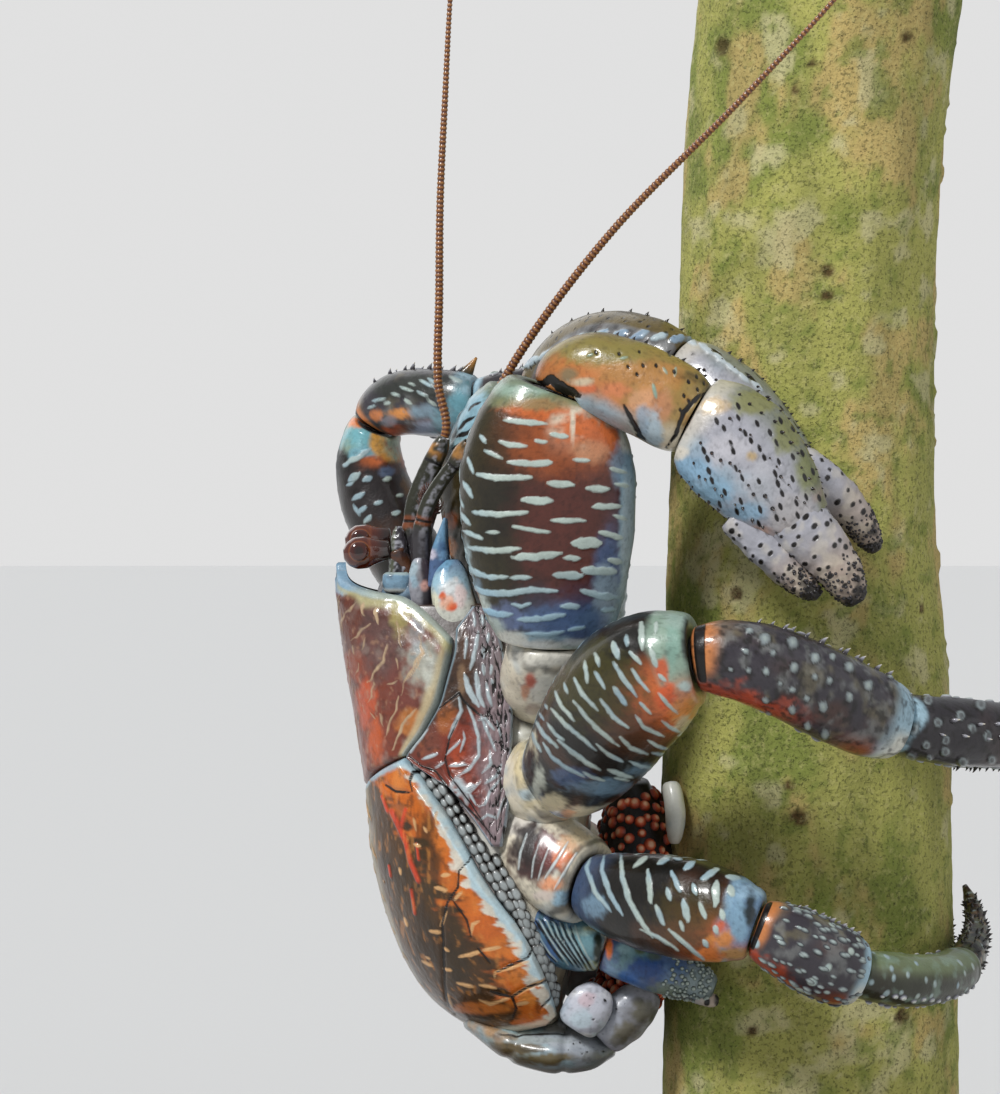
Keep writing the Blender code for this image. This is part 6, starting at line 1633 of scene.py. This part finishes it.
grainy = plainPaint("plum", lambda k, t, q: (
    ("lilac", 0.95 * blot(k, 0.9, 5, 2, 0.0, 0.3)), ("dark", 0.85 * blot(k, 1.1, 15, 1, 0.2, 0.5)),
    ("greyGreen", 0.5 * around(k, 0.9, 0.12))), 0.34, 1.2)
cheekPaint = plainPaint("paleBlue", lambda k, t, q: (
    ("blue", 0.7 * ramp(t, 0.7, 1.0)), ("cream", 0.7 * ramp(-t, -0.7, -0.4))), 0.15)
browPaint = plainPaint("lilac", lambda k, t, q: (("plum", ramp(-q, -0.1, 0.2)),), 0.15)
rimPaint = plainPaint("lightBlue", lambda k, t, q: (
    ("plum", 0.6 * blot(k, 2, 15, 3, 0.0, 0.4)), ("white", 0.8 * ramp(-t, -0.3, -0.1)),
    ("pale", 0.7 * ramp(t, 0.85, 0.95))), 0.15, 3)
stalkPaint = plainPaint("brown", lambda k, t, q: (
    ("plum", 0.6 * blot(k, 1.5, 5, 2, 0, 0.4)),), size=2)
spinePaint = plainPaint("blue", lambda k, t, q: (("lightBlue", 0.6 * ramp(t, 0.6, 1.0)),), 0.15)
facePaint = plainPaint("plum", lambda k, t, q: (
    ("lightBlue", 0.6 * blot(k, 4, 5, 2, -0.1, 0.3)), ("dark", 0.8 * ramp(t, 0.7, 0.9))))
cheekDabs = (
    ((106, 152, 182), 1, -17.1, -5.4, 3.6, 2.5), ((150, 184, 200), 0.95, -17.6, -9.3, 3.3, 2.2),
    ((216, 220, 220), 1, -14.3, -12.9, 3.9, 3.6), ((226, 204, 200), 0.9, -11.5, -14.5, 1.9, 3.9),
    ((220, 216, 190), 0.9, -19.3, -15.4, 1.7, 3.1), ((206, 84, 40), 1, -16.5, -14.3, 1.2, 1.8),
    ((210, 80, 36), 1, -13.9, -17.2, 1.7, 1.7), ((226, 150, 110), 0.7, -15.1, -15.7, 2.5, 2.5))
browDabs = (
    ((164, 182, 190), 1, -25.1, -6.5, 1.9, 3.1), ((62, 52, 58), 1, -21.5, -6.2, 1.7, 3.1),
    ((212, 160, 148), 0.95, -22, -11.2, 1.4, 1.7), ((150, 176, 190), 0.9, -24.8, -10.1, 1.4, 1.9),
    ((120, 110, 110), 0.6, -23.4, -8.4, 1.1, 2.5))
spineDabs = (
    ((104, 144, 174), 1, -17.6, 3.2, 2.8, 6.1), ((80, 112, 150), 0.9, -16.8, -0.1, 1.4, 2.2),
    ((206, 200, 214), 0.9, -20.4, -2.1, 2.5, 1.7), ((120, 160, 196), 0.8, -16.5, -2.3, 1.7, 1.4),
    ((160, 190, 210), 0.7, -18.7, 6, 0.8, 2.2))
headPlates = [     # path, form, half width, half depth, paint, drawn marks
    ([(-73.5, 0, 190), (-73.5, 0, 205.6)], ((0, 1, 1), (0.6, 1, 1), (0.88, 0.885, 0.92),
                                           (1, 0.615, 0.72)), 13, 12.5, facePaint, None),
]
for sign in (-1, 1):
    headPlates += [
        ([(-60.5, 18.8 * sign, 186), (-64.2, 16.5 * sign, 200), (-65.0, 14.0 * sign, 209.6)],
         forms["palm"], 6.2, 4.2, cheekPaint, cheekDabs),
        ([(-79.6, 5.6 * sign, 198), (-79.9, 5.9 * sign, 219.6)], forms["finger"], 3.1, 2.7,
         grainy, None),
        ([(-80.2, 9.2 * sign, 200.5), (-80.2, 9.4 * sign, 206.4)], forms["ischium"], 4.2, 3.2,
         rimPaint, None),
        ([(-75.5, 4.5 * sign, 201), (-80.6, 6.3 * sign, 213.0)], ((0, 3, 3), (1, 2.5, 2.5)), 1, 1,
         stalkPaint, None),
        ([(-73.0, 10.6 * sign, 196), (-73.3, 10.8 * sign, 211)], forms["palm"], 3.7, 3.2,
         browPaint, browDabs),
        ([(-68.0, 14.0 * sign, 202), (-67.8, 14.2 * sign, 212), (-66.3, 14.4 * sign, 222)],
         ((0, 3.2, 2.6), (0.5, 2.6, 2.2), (0.78, 1.3, 1.2), (1, 0.35, 0.35)), 1, 1, spinePaint,
         spineDabs)]


def headPiece():
    parts = []
    for path, form, wide, thick, paint, drawn in headPlates:
        look = {"path": path, "form": form, "wide": wide, "thick": thick, "paint": paint,
                "gap": (0, 0), "rims": (0.8, 1.0)}
        if drawn:
            look["drawn"] = {"dabs": drawn, "grain": 2.5}
        parts.append(limbSkin(look, 0.32)[0])
    buildPiece("head", parts, finishes["shieldHorn"])


def eyePaint(k):
    # A glossy brown eye with a round cornea on each side and a painted highlight band round it.
    t = k.t
    corneas = [k.surface.at(np.array(0.66), np.array(turn)) for turn in (4.6, 1.7)]
    gap = np.minimum(*(np.linalg.norm(k.p - spot, axis=-1) for spot in corneas))
    rim = np.exp(-(gap - 3.0) ** 2 / 0.05)
    # band: a paler ring round the eye, a painted highlight
    band = np.exp(-(t - 0.42) ** 2 / 0.001)
    paint = washes(k, tone(78, 26, 8), (
        ("dark", 0.85 * ramp(-t, -0.36, -0.08)),
        (tone(120, 56, 16), 0.5 * ramp(grain(k.p, 4, 3, 2), 0.1, 0.6)),
        (tone(60, 18, 8), 0.8 * (1 - ramp(gap, 2.2, 2.9))),
        ("dark", 0.8 * (1 - ramp(gap, 0.8, 1.8))), (tone(150, 84, 30), 0.5 * rim),
        # the painted highlight band
        (tone(130, 64, 26), 0.5 * band)))
    return {"paint": paint,
            "relief": 0.4 * (1 - ramp(gap, 2.0, 3.2)) + 0.06 * grain(k.p, 3, 2, 1)}


def smallParts():
    for side, sign in (("right", -1), ("left", 1)):
        lift = 0.0 if sign < 0 else 3.6
        look = {"path": [(-82.3, 6.5 * sign, 212.8 + lift), (-95.6, 7.0 * sign, 211.4 + lift)],
                "form": ((0, 0.57, 0.6), (0.25, 0.72, 0.76), (0.5, 1, 0.97), (0.75, 1, 1),
                         (0.92, 0.7, 0.72), (1, 0.3, 0.33)), "wide": 4.6, "thick": 3.9,
                "power": 2.05, "paint": eyePaint, "gap": (0, 0), "rims": (0.5, 1.0)}
        buildPiece("eye_" + side, [limbSkin(look, 0.2)[0]], finishes["eyeGloss"])
        brush = {"path": [(-73.5, 2.6 * sign, 203), (-72.4, 2.6 * sign, 214),
                          (-70.6, 2.9 * sign, 223), (-71.6, 3.4 * sign, 230.5)],
                 "form": ((0, 2.0, 1.7), (0.4, 1.5, 1.3), (0.65, 1.2, 1.2), (0.8, 2.4, 1.4),
                          (0.93, 1.5, 1.1), (1, 0.4, 0.4)),
                 "gap": (0, 0), "paint": plainPaint("plum", lambda k, t, q: (
                     ("lilac", 0.7 * blot(k, 1.5, 5, 2, 0, 0.4)),
                     (tone(66, 40, 34), ramp(t, 0.64, 0.7))), 0.15, 1.5)}
        hairs = studded(dict(blackSpine, radius=0.22, height=1.5, lean=1.2, sides=5,
                             rings=((1, -0.2, inks["plum"]), (0.6, 0.5, tone(74, 44, 36)),
                                    (0.2, 1, tone(96, 58, 44)))),
                        inRows(14, 9, (0.72, 0.99), (0, 1), 3))
        limbPiece("antennule_" + side, brush, 0.25, "limbHorn", (hairs,))
        jaw = {"path": [(-49, 8.5 * sign, 192), (-50, 9 * sign, 206), (-56.0, 7.6 * sign, 221)],
               "form": ((0, 4.6, 3.6), (0.25, 5.0, 4.0), (0.5, 4.0, 3.6), (0.75, 3.2, 3.0),
                        (0.93, 2.0, 2.0), (1, 0.8, 0.8)), "gap": (0, 0),
               "paint": plainPaint("brown", lambda k, t, q: (
                   ("ochre", 0.6 * blot(k, 4, 5, 2, 0, 0.4)), ("plum", ramp(t, 0.5, 0.7))))}
        limbPiece("mouth_leg_" + side, jaw, 0.35, "limbHorn")


def ringPaint(k):
    # Whip of a feeler: fine rings, paler where each one swells.
    wave = np.sin(k.u * 2 * math.pi / 1.35)
    paint = washes(k, tone(112, 56, 26), (
        ("ochre", 0.75 * ramp(wave, 0.1, 0.9)), ("dark", 0.7 * ramp(-wave, 0.3, 1.0))))
    return {"paint": paint, "relief": 0.13 * wave + 0 * k.t}


def basePaint(k):
    # Jointed base of a feeler: blackish green, silvery along one side, orange at the ball.
    t, q = warped(k, 3, 3, 0.03), np.cos(k.a)
    paint = washes(k, tone(46, 46, 34), (
        ("lilac", 0.7 * around(k, 0.72, 0.09) * blot(k, 1.1, 5, 2, -0.3, 0.3)),
        ("plum", 0.8 * ramp(-t, -0.36, -0.3)),
        ("ochre", 0.9 * ramp(t, 0.84, 0.9) * ramp(grain(k.p, 3, 6, 2), -0.3, 0.3)),
        ("rust", 0.6 * (1 - ramp(np.abs(t - 0.4), 0.02, 0.05)))))
    seams = 0.25 - 30 * np.minimum(np.abs(k.t - 0.4), np.abs(k.t - 0.82))
    return {"paint": paint, "pit": seams, "relief": 0.15 * grain(k.p, 2, 7, 2)}


feelers = {
    "right": {"stout": 1.0, "base": [(-73.0, -8.6, 203.5), (-71.9, -12.0, 223.6),
                                     (-59.1, -20, 243.4)],
              "whip": [(-59.1, -20, 243.4), (-44.8, -27.5, 268.5), (-19.8, -41, 301.0),
                       (15.1, -62, 335.5), (39.4, -73, 361.0), (57.0, -79, 382.0)]},
    "left": {"stout": 1.45, "base": [(-74.5, 8, 203.5), (-75.0, 8.5, 225.0), (-66.8, 8, 245.6)],
             "whip": [(-66.8, 8, 245.6), (-68.6, 8, 262.0), (-68.3, 8.5, 286.0),
                      (-68.0, 9, 315.0), (-66.6, 10.5, 345.0), (-65.0, 12, 376.0),
                      (-62.4, 14, 405.0)]},
}
for side, look in feelers.items():
    stout = look["stout"]
    root = {"path": look["base"], "form": (
        (0, 3.2, 3.0), (0.3, 2.9 * stout, 2.7), (0.42, 2.2 * stout, 2.2),
        (0.5, 2.3 * stout, 2.3), (0.8, 2.0 * stout, 2.0), (0.92, 2.7, 2.6), (1, 1.9, 1.9)),
        "soft": 0.025, "paint": basePaint, "gap": (0, 0.1)}
    limbPiece("antenna_base_" + side, root, 0.25, "limbHorn")
    place, leans = joints(look["whip"])
    leans[0] = unit(place[0] - np.array(look["base"][-2]))
    share = np.linspace(0, 1, 23)
    radius = 1.3 - 0.85 * share ** 1.5
    whip = {"path": place, "leans": leans, "form": np.stack([share, radius, radius], 1),
            "power": 2.0, "paint": ringPaint, "gap": (0.1, 0),
            "rims": (0.3, 0.4), "soft": 0.02}
    limbPiece("feeler_" + side, whip, 0.3, "feelerHorn")


headPiece()
smallParts()
print("head made")


# abdomen
baseDabs = (
    ((146, 152, 160), 1, 23.8, -144.6, 12.8, 6.4),
    ((168, 174, 180), 0.8, 17.9, -142.9, 11.1, 2.6), ((166, 194, 200), 1, 6.8, -139, 8.1, 2.6),
    ((196, 200, 198), 0.9, 15.7, -138.8, 3.8, 2.6), ((84, 68, 32), 0.95, 5.1, -145.4, 9.4, 2.1),
    ((92, 78, 40), 0.95, 14, -148.4, 9.4, 2), ((60, 50, 26), 0.8, 9.8, -145.8, 5.1, 1.1),
    ((150, 160, 160), 0.7, 10.6, -143.3, 10.2, 0.9),
    ((110, 112, 110), 0.7, 27.2, -148.4, 3.8, 2.1))
baseSeams = (
    (0.26, 0, -141.6, 8.5, -141.7, 16.2, -141.6, 19.1, -141.2),
    (0.21, -2.6, -138.8, 0.9, -138.6, 5.1, -136.9, 12.8, -135.7, 17.4, -136.6, 19.4, -139,
     18.7, -140.9))
baseSpecks = (
    (0.21, 21.3, -144.1, 21.4, -144.2), (0.21, 23.2, -143.7, 23.3, -143.8),
    (0.26, 25.3, -146.5, 25.5, -146.6), (0.21, 27.2, -145, 27.3, -145.1),
    (0.3, 30, -146.3, 30.3, -146.5), (0.17, 20, -145.8, 20.1, -145.9),
    (0.21, 23.8, -147.1, 23.9, -147.2))
ovalDabs = (
    ((184, 186, 196), 1, 27.2, -133.5, 9.4, 9.4), ((196, 170, 176), 0.7, 25.1, -131.4, 2.6, 2.6),
    ((176, 196, 204), 0.7, 23.8, -136.9, 3.8, 3.4),
    ((204, 204, 208), 0.8, 31.5, -129.7, 2.6, 2.1),
    ((140, 140, 150), 0.7, 27.2, -140.3, 5.1, 0.9))
ovalSpecks = (
    (0.3, 30.3, -131.4, 30.7, -131.8), (0.34, 26.9, -137.1, 27.4, -137.1),
    (0.21, 27.2, -130.7, 27.3, -130.8), (0.17, 25.1, -130.1, 25.2, -130.2),
    (0.21, 25.9, -133.1, 26, -133.2))
plateDabs = (
    ((150, 154, 164), 1, 33.2, -135.6, 10.2, 11.1),
    ((112, 112, 116), 0.9, 38.3, -135.6, 5.1, 5.1), ((82, 78, 60), 0.95, 41.7, -134.4, 4.7, 4.7),
    ((92, 86, 66), 0.9, 36.6, -140.3, 4.3, 3), ((150, 150, 156), 0.8, 40.8, -128.8, 4.7, 1.7),
    ((84, 80, 62), 0.8, 34, -142.9, 3, 2.1))
plateSpecks = (
    (0.34, 31, -136.9, 31.4, -137.1), (0.21, 33.6, -133.9, 33.8, -134.1),
    (0.17, 36.2, -132.6, 36.2, -132.7), (0.21, 29.8, -141.2, 29.9, -141.2))


def scutePaint(k):
    t, q = warped(k, 9, 3), np.cos(k.a)
    paint = washes(k, tone(126, 138, 134), (
        ("paleBlue", 0.5 * blot(k, 12, 5, 2, -0.1, 0.4)),
        ("ochre", 0.7 * ramp(-t, -0.45, -0.15) * blot(k, 6, 15, 3, -0.3, 0.3)),
        ("olive", 0.7 * ramp(-q, 0.2, 0.9) * blot(k, 8, 25, 2, -0.3, 0.3)),
        ("plum", 0.35 * blot(k, 3, 35, 2, 0.25, 0.5))))
    rings = np.minimum(np.abs(k.t - 0.33), np.abs(k.t - 0.66)) * 60
    return {"paint": paint, "pit": 0.35 - rings, "relief": 0.6 * grain(k.p, 12, 7, 2)
            - 0.6 * np.exp(-rings ** 2 / 3)}


def granulePaint(k):
    return {"paint": washes(k, tone(17, 12, 13), (
        ("plum", 0.3 * blot(k, 4, 5, 2, 0.0, 0.5)),)), "dull": 0.1,
        "relief": 0.6 * grain(k.p, 7, 7, 2)}


# orange-red granules; the two palest rings on top of each are a painted highlight
granuleWithHighlight = {"radius": 1.5, "height": 1.0, "sides": 10, "rings": (
    (1.1, -0.4, tone(90, 34, 16)), (0.95, 0.35, tone(176, 60, 28)),
    (0.65, 0.85, tone(224, 104, 62)), (0.3, 1.0, tone(248, 190, 150)))}
abdomen = {
    "abdomen_base": ({"path": [(-60, 0, 79), (-44.5, 0, 72.5), (-30, 0, 71), (-17.6, 0, 72)],
                      "form": ((0, 3.5, 22), (0.3, 6.5, 33), (0.6, 8.2, 37), (0.85, 7.5, 34),
                               (1, 4.2, 25)), "paint": scutePaint,
                      "gap": (0, 0), "drawn": {"dabs": baseDabs, "pits": baseSeams + baseSpecks,
                                               "grain": 4.0}},
                     0.5, "creamPlate", "belly_plate", ()),
    "abdomen_middle": ({"path": [(-22, 0, 77), (-12, 0, 88), (-11.2, 0, 108), (-10.8, 0, 130),
                                 (-12.5, 0, 146)],
                        "form": ((0, 7.5, 28), (0.2, 9.5, 28), (0.4, 12, 25.5), (0.65, 12, 24),
                                 (0.85, 10, 21), (1, 4.5, 13)),
                        "paint": granulePaint, "gap": (0, 0)}, 0.6, "softSkin", "belly_skin",
                       (studded(granuleWithHighlight, inRows(26, 15, (0.02, 0.97), (0, 1), 5, 0.8)),)),
    "tail_fan": ({"path": [(-2.0, -21.5, 146.5), (-0.8, -24.6, 138), (-1.0, -25, 129.5)],
                  "form": forms["palm"], "wide": 3.0, "thick": 3.2, "power": 2.0,
                  "paint": plainPaint("white", lambda k, t, q: (
                      ("lightBlue", 0.4 * blot(k, 5, 5, 2, 0, 0.4)),
                      ("tan", 0.4 * ramp(t, 0.7, 1.0)))),
                  "gap": (0, 0)}, 0.35, "creamPlate", "belly_plate", ()),
}
plateDrawn = {"dabs": plateDabs, "pits": plateSpecks, "grain": 4.0}
ovalDrawn = {"dabs": ovalDabs, "pits": ovalSpecks, "grain": 4.0}
for side, sign in (("right", -1), ("left", 1)):
    abdomen["abdomen_plate_" + side] = (
        {"path": [(-22.0, 29 * sign, 75.0), (-7.5, 30 * sign, 88.8)], "form": forms["palm"],
         "wide": 7.2, "thick": 5.5, "power": 2.0, "gap": (0, 0),
         "paint": plainPaint("lilac", lambda k, t, q: (
             ("white", 0.4 * blot(k, 6, 5, 2, 0, 0.4)),
             ("plum", 0.5 * blot(k, 1.8, 6, 1, 0.55, 0.75)))),
         **({"drawn": plateDrawn} if side == "right" else {})},
        0.4, "creamPlate", "belly_plate", ())
    abdomen["abdomen_oval_" + side] = (
        {"path": [(-29.5, 35 * sign, 78.5), (-26.0, 35.6 * sign, 84.0), (-21.5, 35 * sign, 90.0)],
         "form": forms["palm"], "wide": 6.6, "thick": 3.4, "power": 2.0, "gap": (0, 0),
         "paint": plainPaint("lilac", lambda k, t, q: (
             ("white", 0.5 * blot(k, 6, 5, 2, 0, 0.4)),
             ("paleBlue", 0.4 * blot(k, 9, 15, 2, 0, 0.4)),
             ("plum", 0.5 * blot(k, 1.8, 6, 1, 0.55, 0.75)))),
         **({"drawn": ovalDrawn} if side == "right" else {})},
        0.35, "creamPlate", "belly_plate", ())
for name, (look, step, finish, slot, extra) in abdomen.items():
    limbPiece(name, look, step, finish, extra)
print("abdomen made")


# trunk
trunkLook = {
    "rows": ((50, 38.6, 42.6), (110, 38.8, 42.2), (169, 38.8, 41.2), (210, 36.8, 39.0),
             (285, 37.6, 36.6), (335, 41.5, 37.4), (380, 46.4, 38.6)),
    "foot": 50, "top": 380, "step": 1.25, "endRings": 40, "khaki": tone(170, 168, 92),
    "lichen": tone(122, 134, 62), "tan": tone(196, 170, 110), "grey": tone(200, 192, 146),
    "knot": tone(74, 44, 28),
    # x, height and size of each knot on the near side
    "knots": ((12.8, 355.7, 3.2), (41.2, 290.9, 2.2), (41.0, 284.0, 2.0), (16.4, 200.4, 2.2),
              (32.9, 138.3, 2.8), (61.9, 82.0, 2.6), (63.8, 357.0, 1.8), (37.0, 348.8, 1.5),
              (32.0, 341.5, 1.3), (30.0, 147.0, 1.4), (70.0, 196.0, 1.6), (20.0, 78.0, 1.8)),
    "farKnots": 16,
}


def trunkPoint(height, turn, grow=0.0):
    centre, radius = (eased(trunkLook["rows"], height, n, 12.0) for n in (1, 2))
    swell = 0.5 * np.sin(3 * turn + height / 31) + 0.35 * np.sin(5 * turn - height / 17)
    r = radius + swell + grow
    return np.stack([centre + r * np.cos(turn), r * np.sin(turn), height + 0 * r], -1)


def barkFinish():
    m = newFinish("lichenBark")
    specks = m.scaled(m.noise(900, 3, 0.6), 9.0, -5.0, True)
    colour = m.field("paint", "Color")
    for share, strength, ink in (
            (m.scaled(m.noise(60, 5, 0.6, (1, 1, 0.25)), 5.0, -2.2, True), 0.35, (86, 92, 50)),
            (m.scaled(m.noise(420, 5, 0.7), 6.0, -3.1, True), 0.45, (192, 184, 124)),
            (specks, 0.42, (66, 76, 44)),
            (m.scaled(m.noise(1500, 2, 0.5), 12.0, -7.3, True), 0.5, (38, 36, 24))):
        colour = m.mix(m.scaled(share, strength), colour, socketTone(*ink))
    height = m.scaled(m.noise(300, 6, 0.65), 0.7, m.scaled(specks, 0.2))
    return m.done({"Base Color": colour, "Roughness": 0.85, "Specular IOR Level": 0.25},
                  m.scaled(m.noise(900, 4, 0.6), 0.35, height))


def trunkPiece():
    foot, top, step, rings = (trunkLook[key] for key in ("foot", "top", "step", "endRings"))
    rows, columns = int((top - foot) / step), int(250 / step)
    height, turn = np.meshgrid(np.linspace(foot, top, rows),
                               2 * math.pi * np.arange(columns) / columns, indexing="ij")
    points = trunkPoint(height, turn)
    k = SimpleNamespace(p=points)
    paint = washes(k, trunkLook["khaki"], (
        (trunkLook["lichen"], 0.85 * blot(k, 26, 3, 4, -0.02, 0.25)),
        (trunkLook["tan"], 0.85 * ramp(grain(points * (1, 1, 0.6), 16, 13, 5), 0.05, 0.25)),
        (trunkLook["grey"], 0.75 * blot(k, 9, 23, 5, 0.12, 0.36)),
        (trunkLook["lichen"], 0.7 * blot(k, 5, 73, 4, 0.15, 0.4))))
    relief = 0.5 * grain(points, 20, 33, 3) + 0.25 * grain(points, 4, 43, 2)
    spots = []
    for x, h, size in trunkLook["knots"]:
        centre, radius = (float(eased(trunkLook["rows"], h, n, 12.0)) for n in (1, 2))
        aside = -math.acos(max(-1, min(1, (x - centre) / radius)))
        spots.append((trunkPoint(np.array(float(h)), np.array(aside)), size))
    for n in range(trunkLook["farKnots"]):
        chance = lot(np.array([[n, 0], [n, 1], [n, 2]]), 5)
        spots.append((trunkPoint(np.array(60 + 310 * chance[0]), np.array(2.8 * chance[1])),
                      1.4 + 1.6 * chance[2]))
    for spot, size in spots:
        gap = np.linalg.norm((points - spot) * (1, 1, 1.15), axis=-1) / size
        gap = gap + 0.25 * grain(points, size * 0.8, 53, 2)
        relief = relief + 0.32 * size * np.exp(-(gap - 1.0) ** 2 / 0.1) - 0.3 * size * np.exp(
            -gap ** 2 / 0.3)
        paint = layer(paint, trunkLook["knot"], 0.9 * (1 - ramp(gap, 0.7, 1.25)))
    bulge = ramp(np.cos(turn), 0.75, 0.95) * ramp(grain(points, 7, 63, 2), 0.3, 0.6)
    points = trunkPoint(height, turn, relief * ramp(height, foot, foot + 3) + 0.9 * bulge)
    # sawn ends with rings
    parts = [part(points, [gridFaces(rows, columns, True)], paint=paint.reshape(-1, 3))]
    for row in (0, rows - 1):
        middle = points[row].mean(0)
        disc = middle + (points[row] - middle) * np.linspace(1, 0.01, rings)[:, None, None]
        ring = np.linalg.norm(disc - middle, axis=-1)
        wood = layer(np.broadcast_to(tone(196, 164, 116), disc.shape), tone(150, 112, 70),
                     0.6 * ramp(np.sin(ring * 2.2 + 1.5 * grain(disc, 9, 3, 2)), 0.0, 0.9))
        wood = layer(wood, tone(92, 74, 48), ramp(ring, ring.max() - 3.0, ring.max() - 1.5))
        faces = gridFaces(rings, columns, True)
        if row == 0:
            faces = faces[:, ::-1]
        parts.append(part(disc, [faces], paint=wood.reshape(-1, 3)))
    buildPiece("trunk", parts, barkFinish())


trunkPiece()
print("trunk made")


# stand
def woodFinish():
    m = newFinish("walnutStain")
    fibre = m.noise(22.0, 8.0, 0.62, (1, 14, 6))
    colour = m.mix(m.scaled(fibre, 3.0, -1.0, True), socketTone(36, 22, 15),
                   socketTone(74, 46, 30))
    return m.done({"Base Color": colour, "Roughness": m.scaled(fibre, 0.25, 0.32),
                   "Coat Weight": 0.4, "Coat Roughness": 0.2}, fibre, 0.12)


def steelFinish():
    m = newFinish("brushedRod")
    brush = m.noise(60.0, 8.0, 0.62, (1, 1, 40))
    return m.done({"Base Color": (0.55, 0.55, 0.54, 1), "Metallic": 1.0,
                   "Roughness": m.scaled(brush, 0.25, 0.2)}, brush, 0.12)


def lathed(name, profile, x, sides, finish):
    profile = np.array(profile, float)
    turn = 2 * math.pi * np.arange(sides) / sides
    points = np.stack([x + profile[:, :1] * np.cos(turn), profile[:, :1] * np.sin(turn),
                       profile[:, 1:] + 0 * turn], -1)
    faces = gridFaces(len(profile), sides, True)
    flat = points.reshape(-1, 3)
    buildPiece(name, [part(flat, [faces if volume(flat, faces) > 0 else faces[:, ::-1]])],
               finish)


rodX = 38.6
lathed("stand_base", [(0.01, 0), (116.5, 0), (118, 1.5), (118, 7.6), (117.2, 8.4), (116.2, 8.8),
                      (116.2, 9.6), (117.0, 10.4), (116.6, 12.0), (115.2, 13.4), (113, 14),
                      (60, 14), (0.01, 14)], 0, 160, woodFinish())
lathed("stand_rod", [(0.01, 14.3), (8, 14.3), (8, 17.2), (7.4, 17.9), (7.1, 18.6), (7.1, 45.4),
                     (7.4, 46.2), (8, 46.9), (8, 49.7), (0.01, 49.7)], rodX, 64, steelFinish())
print("stand made")


# floor, light, camera
studio = {"floor": (0.62, 0.62, 0.615), "seen": (0.75, 0.75, 0.75), "dome": (0.93, 0.96, 1.0),
          "domePower": 0.38, "lens": 119.1,
          "suns": (((-1.6, -1.9, 2.6), 0.22, 2.8), ((1.6, -1.2, 0.5), 1.2, 0.55),
                   ((-0.9, 1.5, 1.3), 0.9, 0.55))}     # place, softness, strength


def sunLight(name, place, softness, power):
    data = bpy.data.lights.new(name, "SUN")
    data.angle = softness
    data.energy = power
    lamp = bpy.data.objects.new(name, data)
    lamp.location = place
    bpy.context.scene.collection.objects.link(lamp)
    lamp.rotation_euler = (Vector((0, 0, 0.2)) - Vector(place)).to_track_quat("-Z", "Y").to_euler()


bpy.ops.mesh.primitive_circle_add(vertices=96, radius=40.0, fill_type="NGON")
floor = bpy.context.object
floor.name = "floor"
floor.data.materials.append(newFinish("paleFloor").done({
    "Base Color": (*studio["floor"], 1), "Roughness": 0.95, "Specular IOR Level": 0.1}))
for k, sun in enumerate(studio["suns"]):
    sunLight("sun%d" % k, *sun)
world = bpy.data.worlds.new("paleStudio")
world.use_nodes = True
worldNodes, worldLinks = world.node_tree.nodes, world.node_tree.links
dome = worldNodes["Background"]
dome.inputs[0].default_value = (*studio["dome"], 1)
dome.inputs[1].default_value = studio["domePower"]
backdrop = worldNodes.new("ShaderNodeBackground")
backdrop.inputs[0].default_value = (*studio["seen"], 1)
choice = worldNodes.new("ShaderNodeMixShader")
worldLinks.new(worldNodes.new("ShaderNodeLightPath").outputs["Is Camera Ray"], choice.inputs[0])
worldLinks.new(dome.outputs[0], choice.inputs[1])
worldLinks.new(backdrop.outputs[0], choice.inputs[2])
worldLinks.new(choice.outputs[0], worldNodes["World Output"].inputs[0])
bpy.context.scene.world = world
bpy.context.scene.view_settings.view_transform = "Standard"
lens = bpy.data.cameras.new("camera")
lens.lens = studio["lens"]
lens.sensor_width = 36.0
camera = bpy.data.objects.new("camera", lens)
camera.location = [v / 1000 for v in (viewMiddle[0], -viewGap, viewMiddle[1])]
camera.rotation_euler = (math.pi / 2, 0, 0)
bpy.context.scene.collection.objects.link(camera)
bpy.context.scene.camera = camera
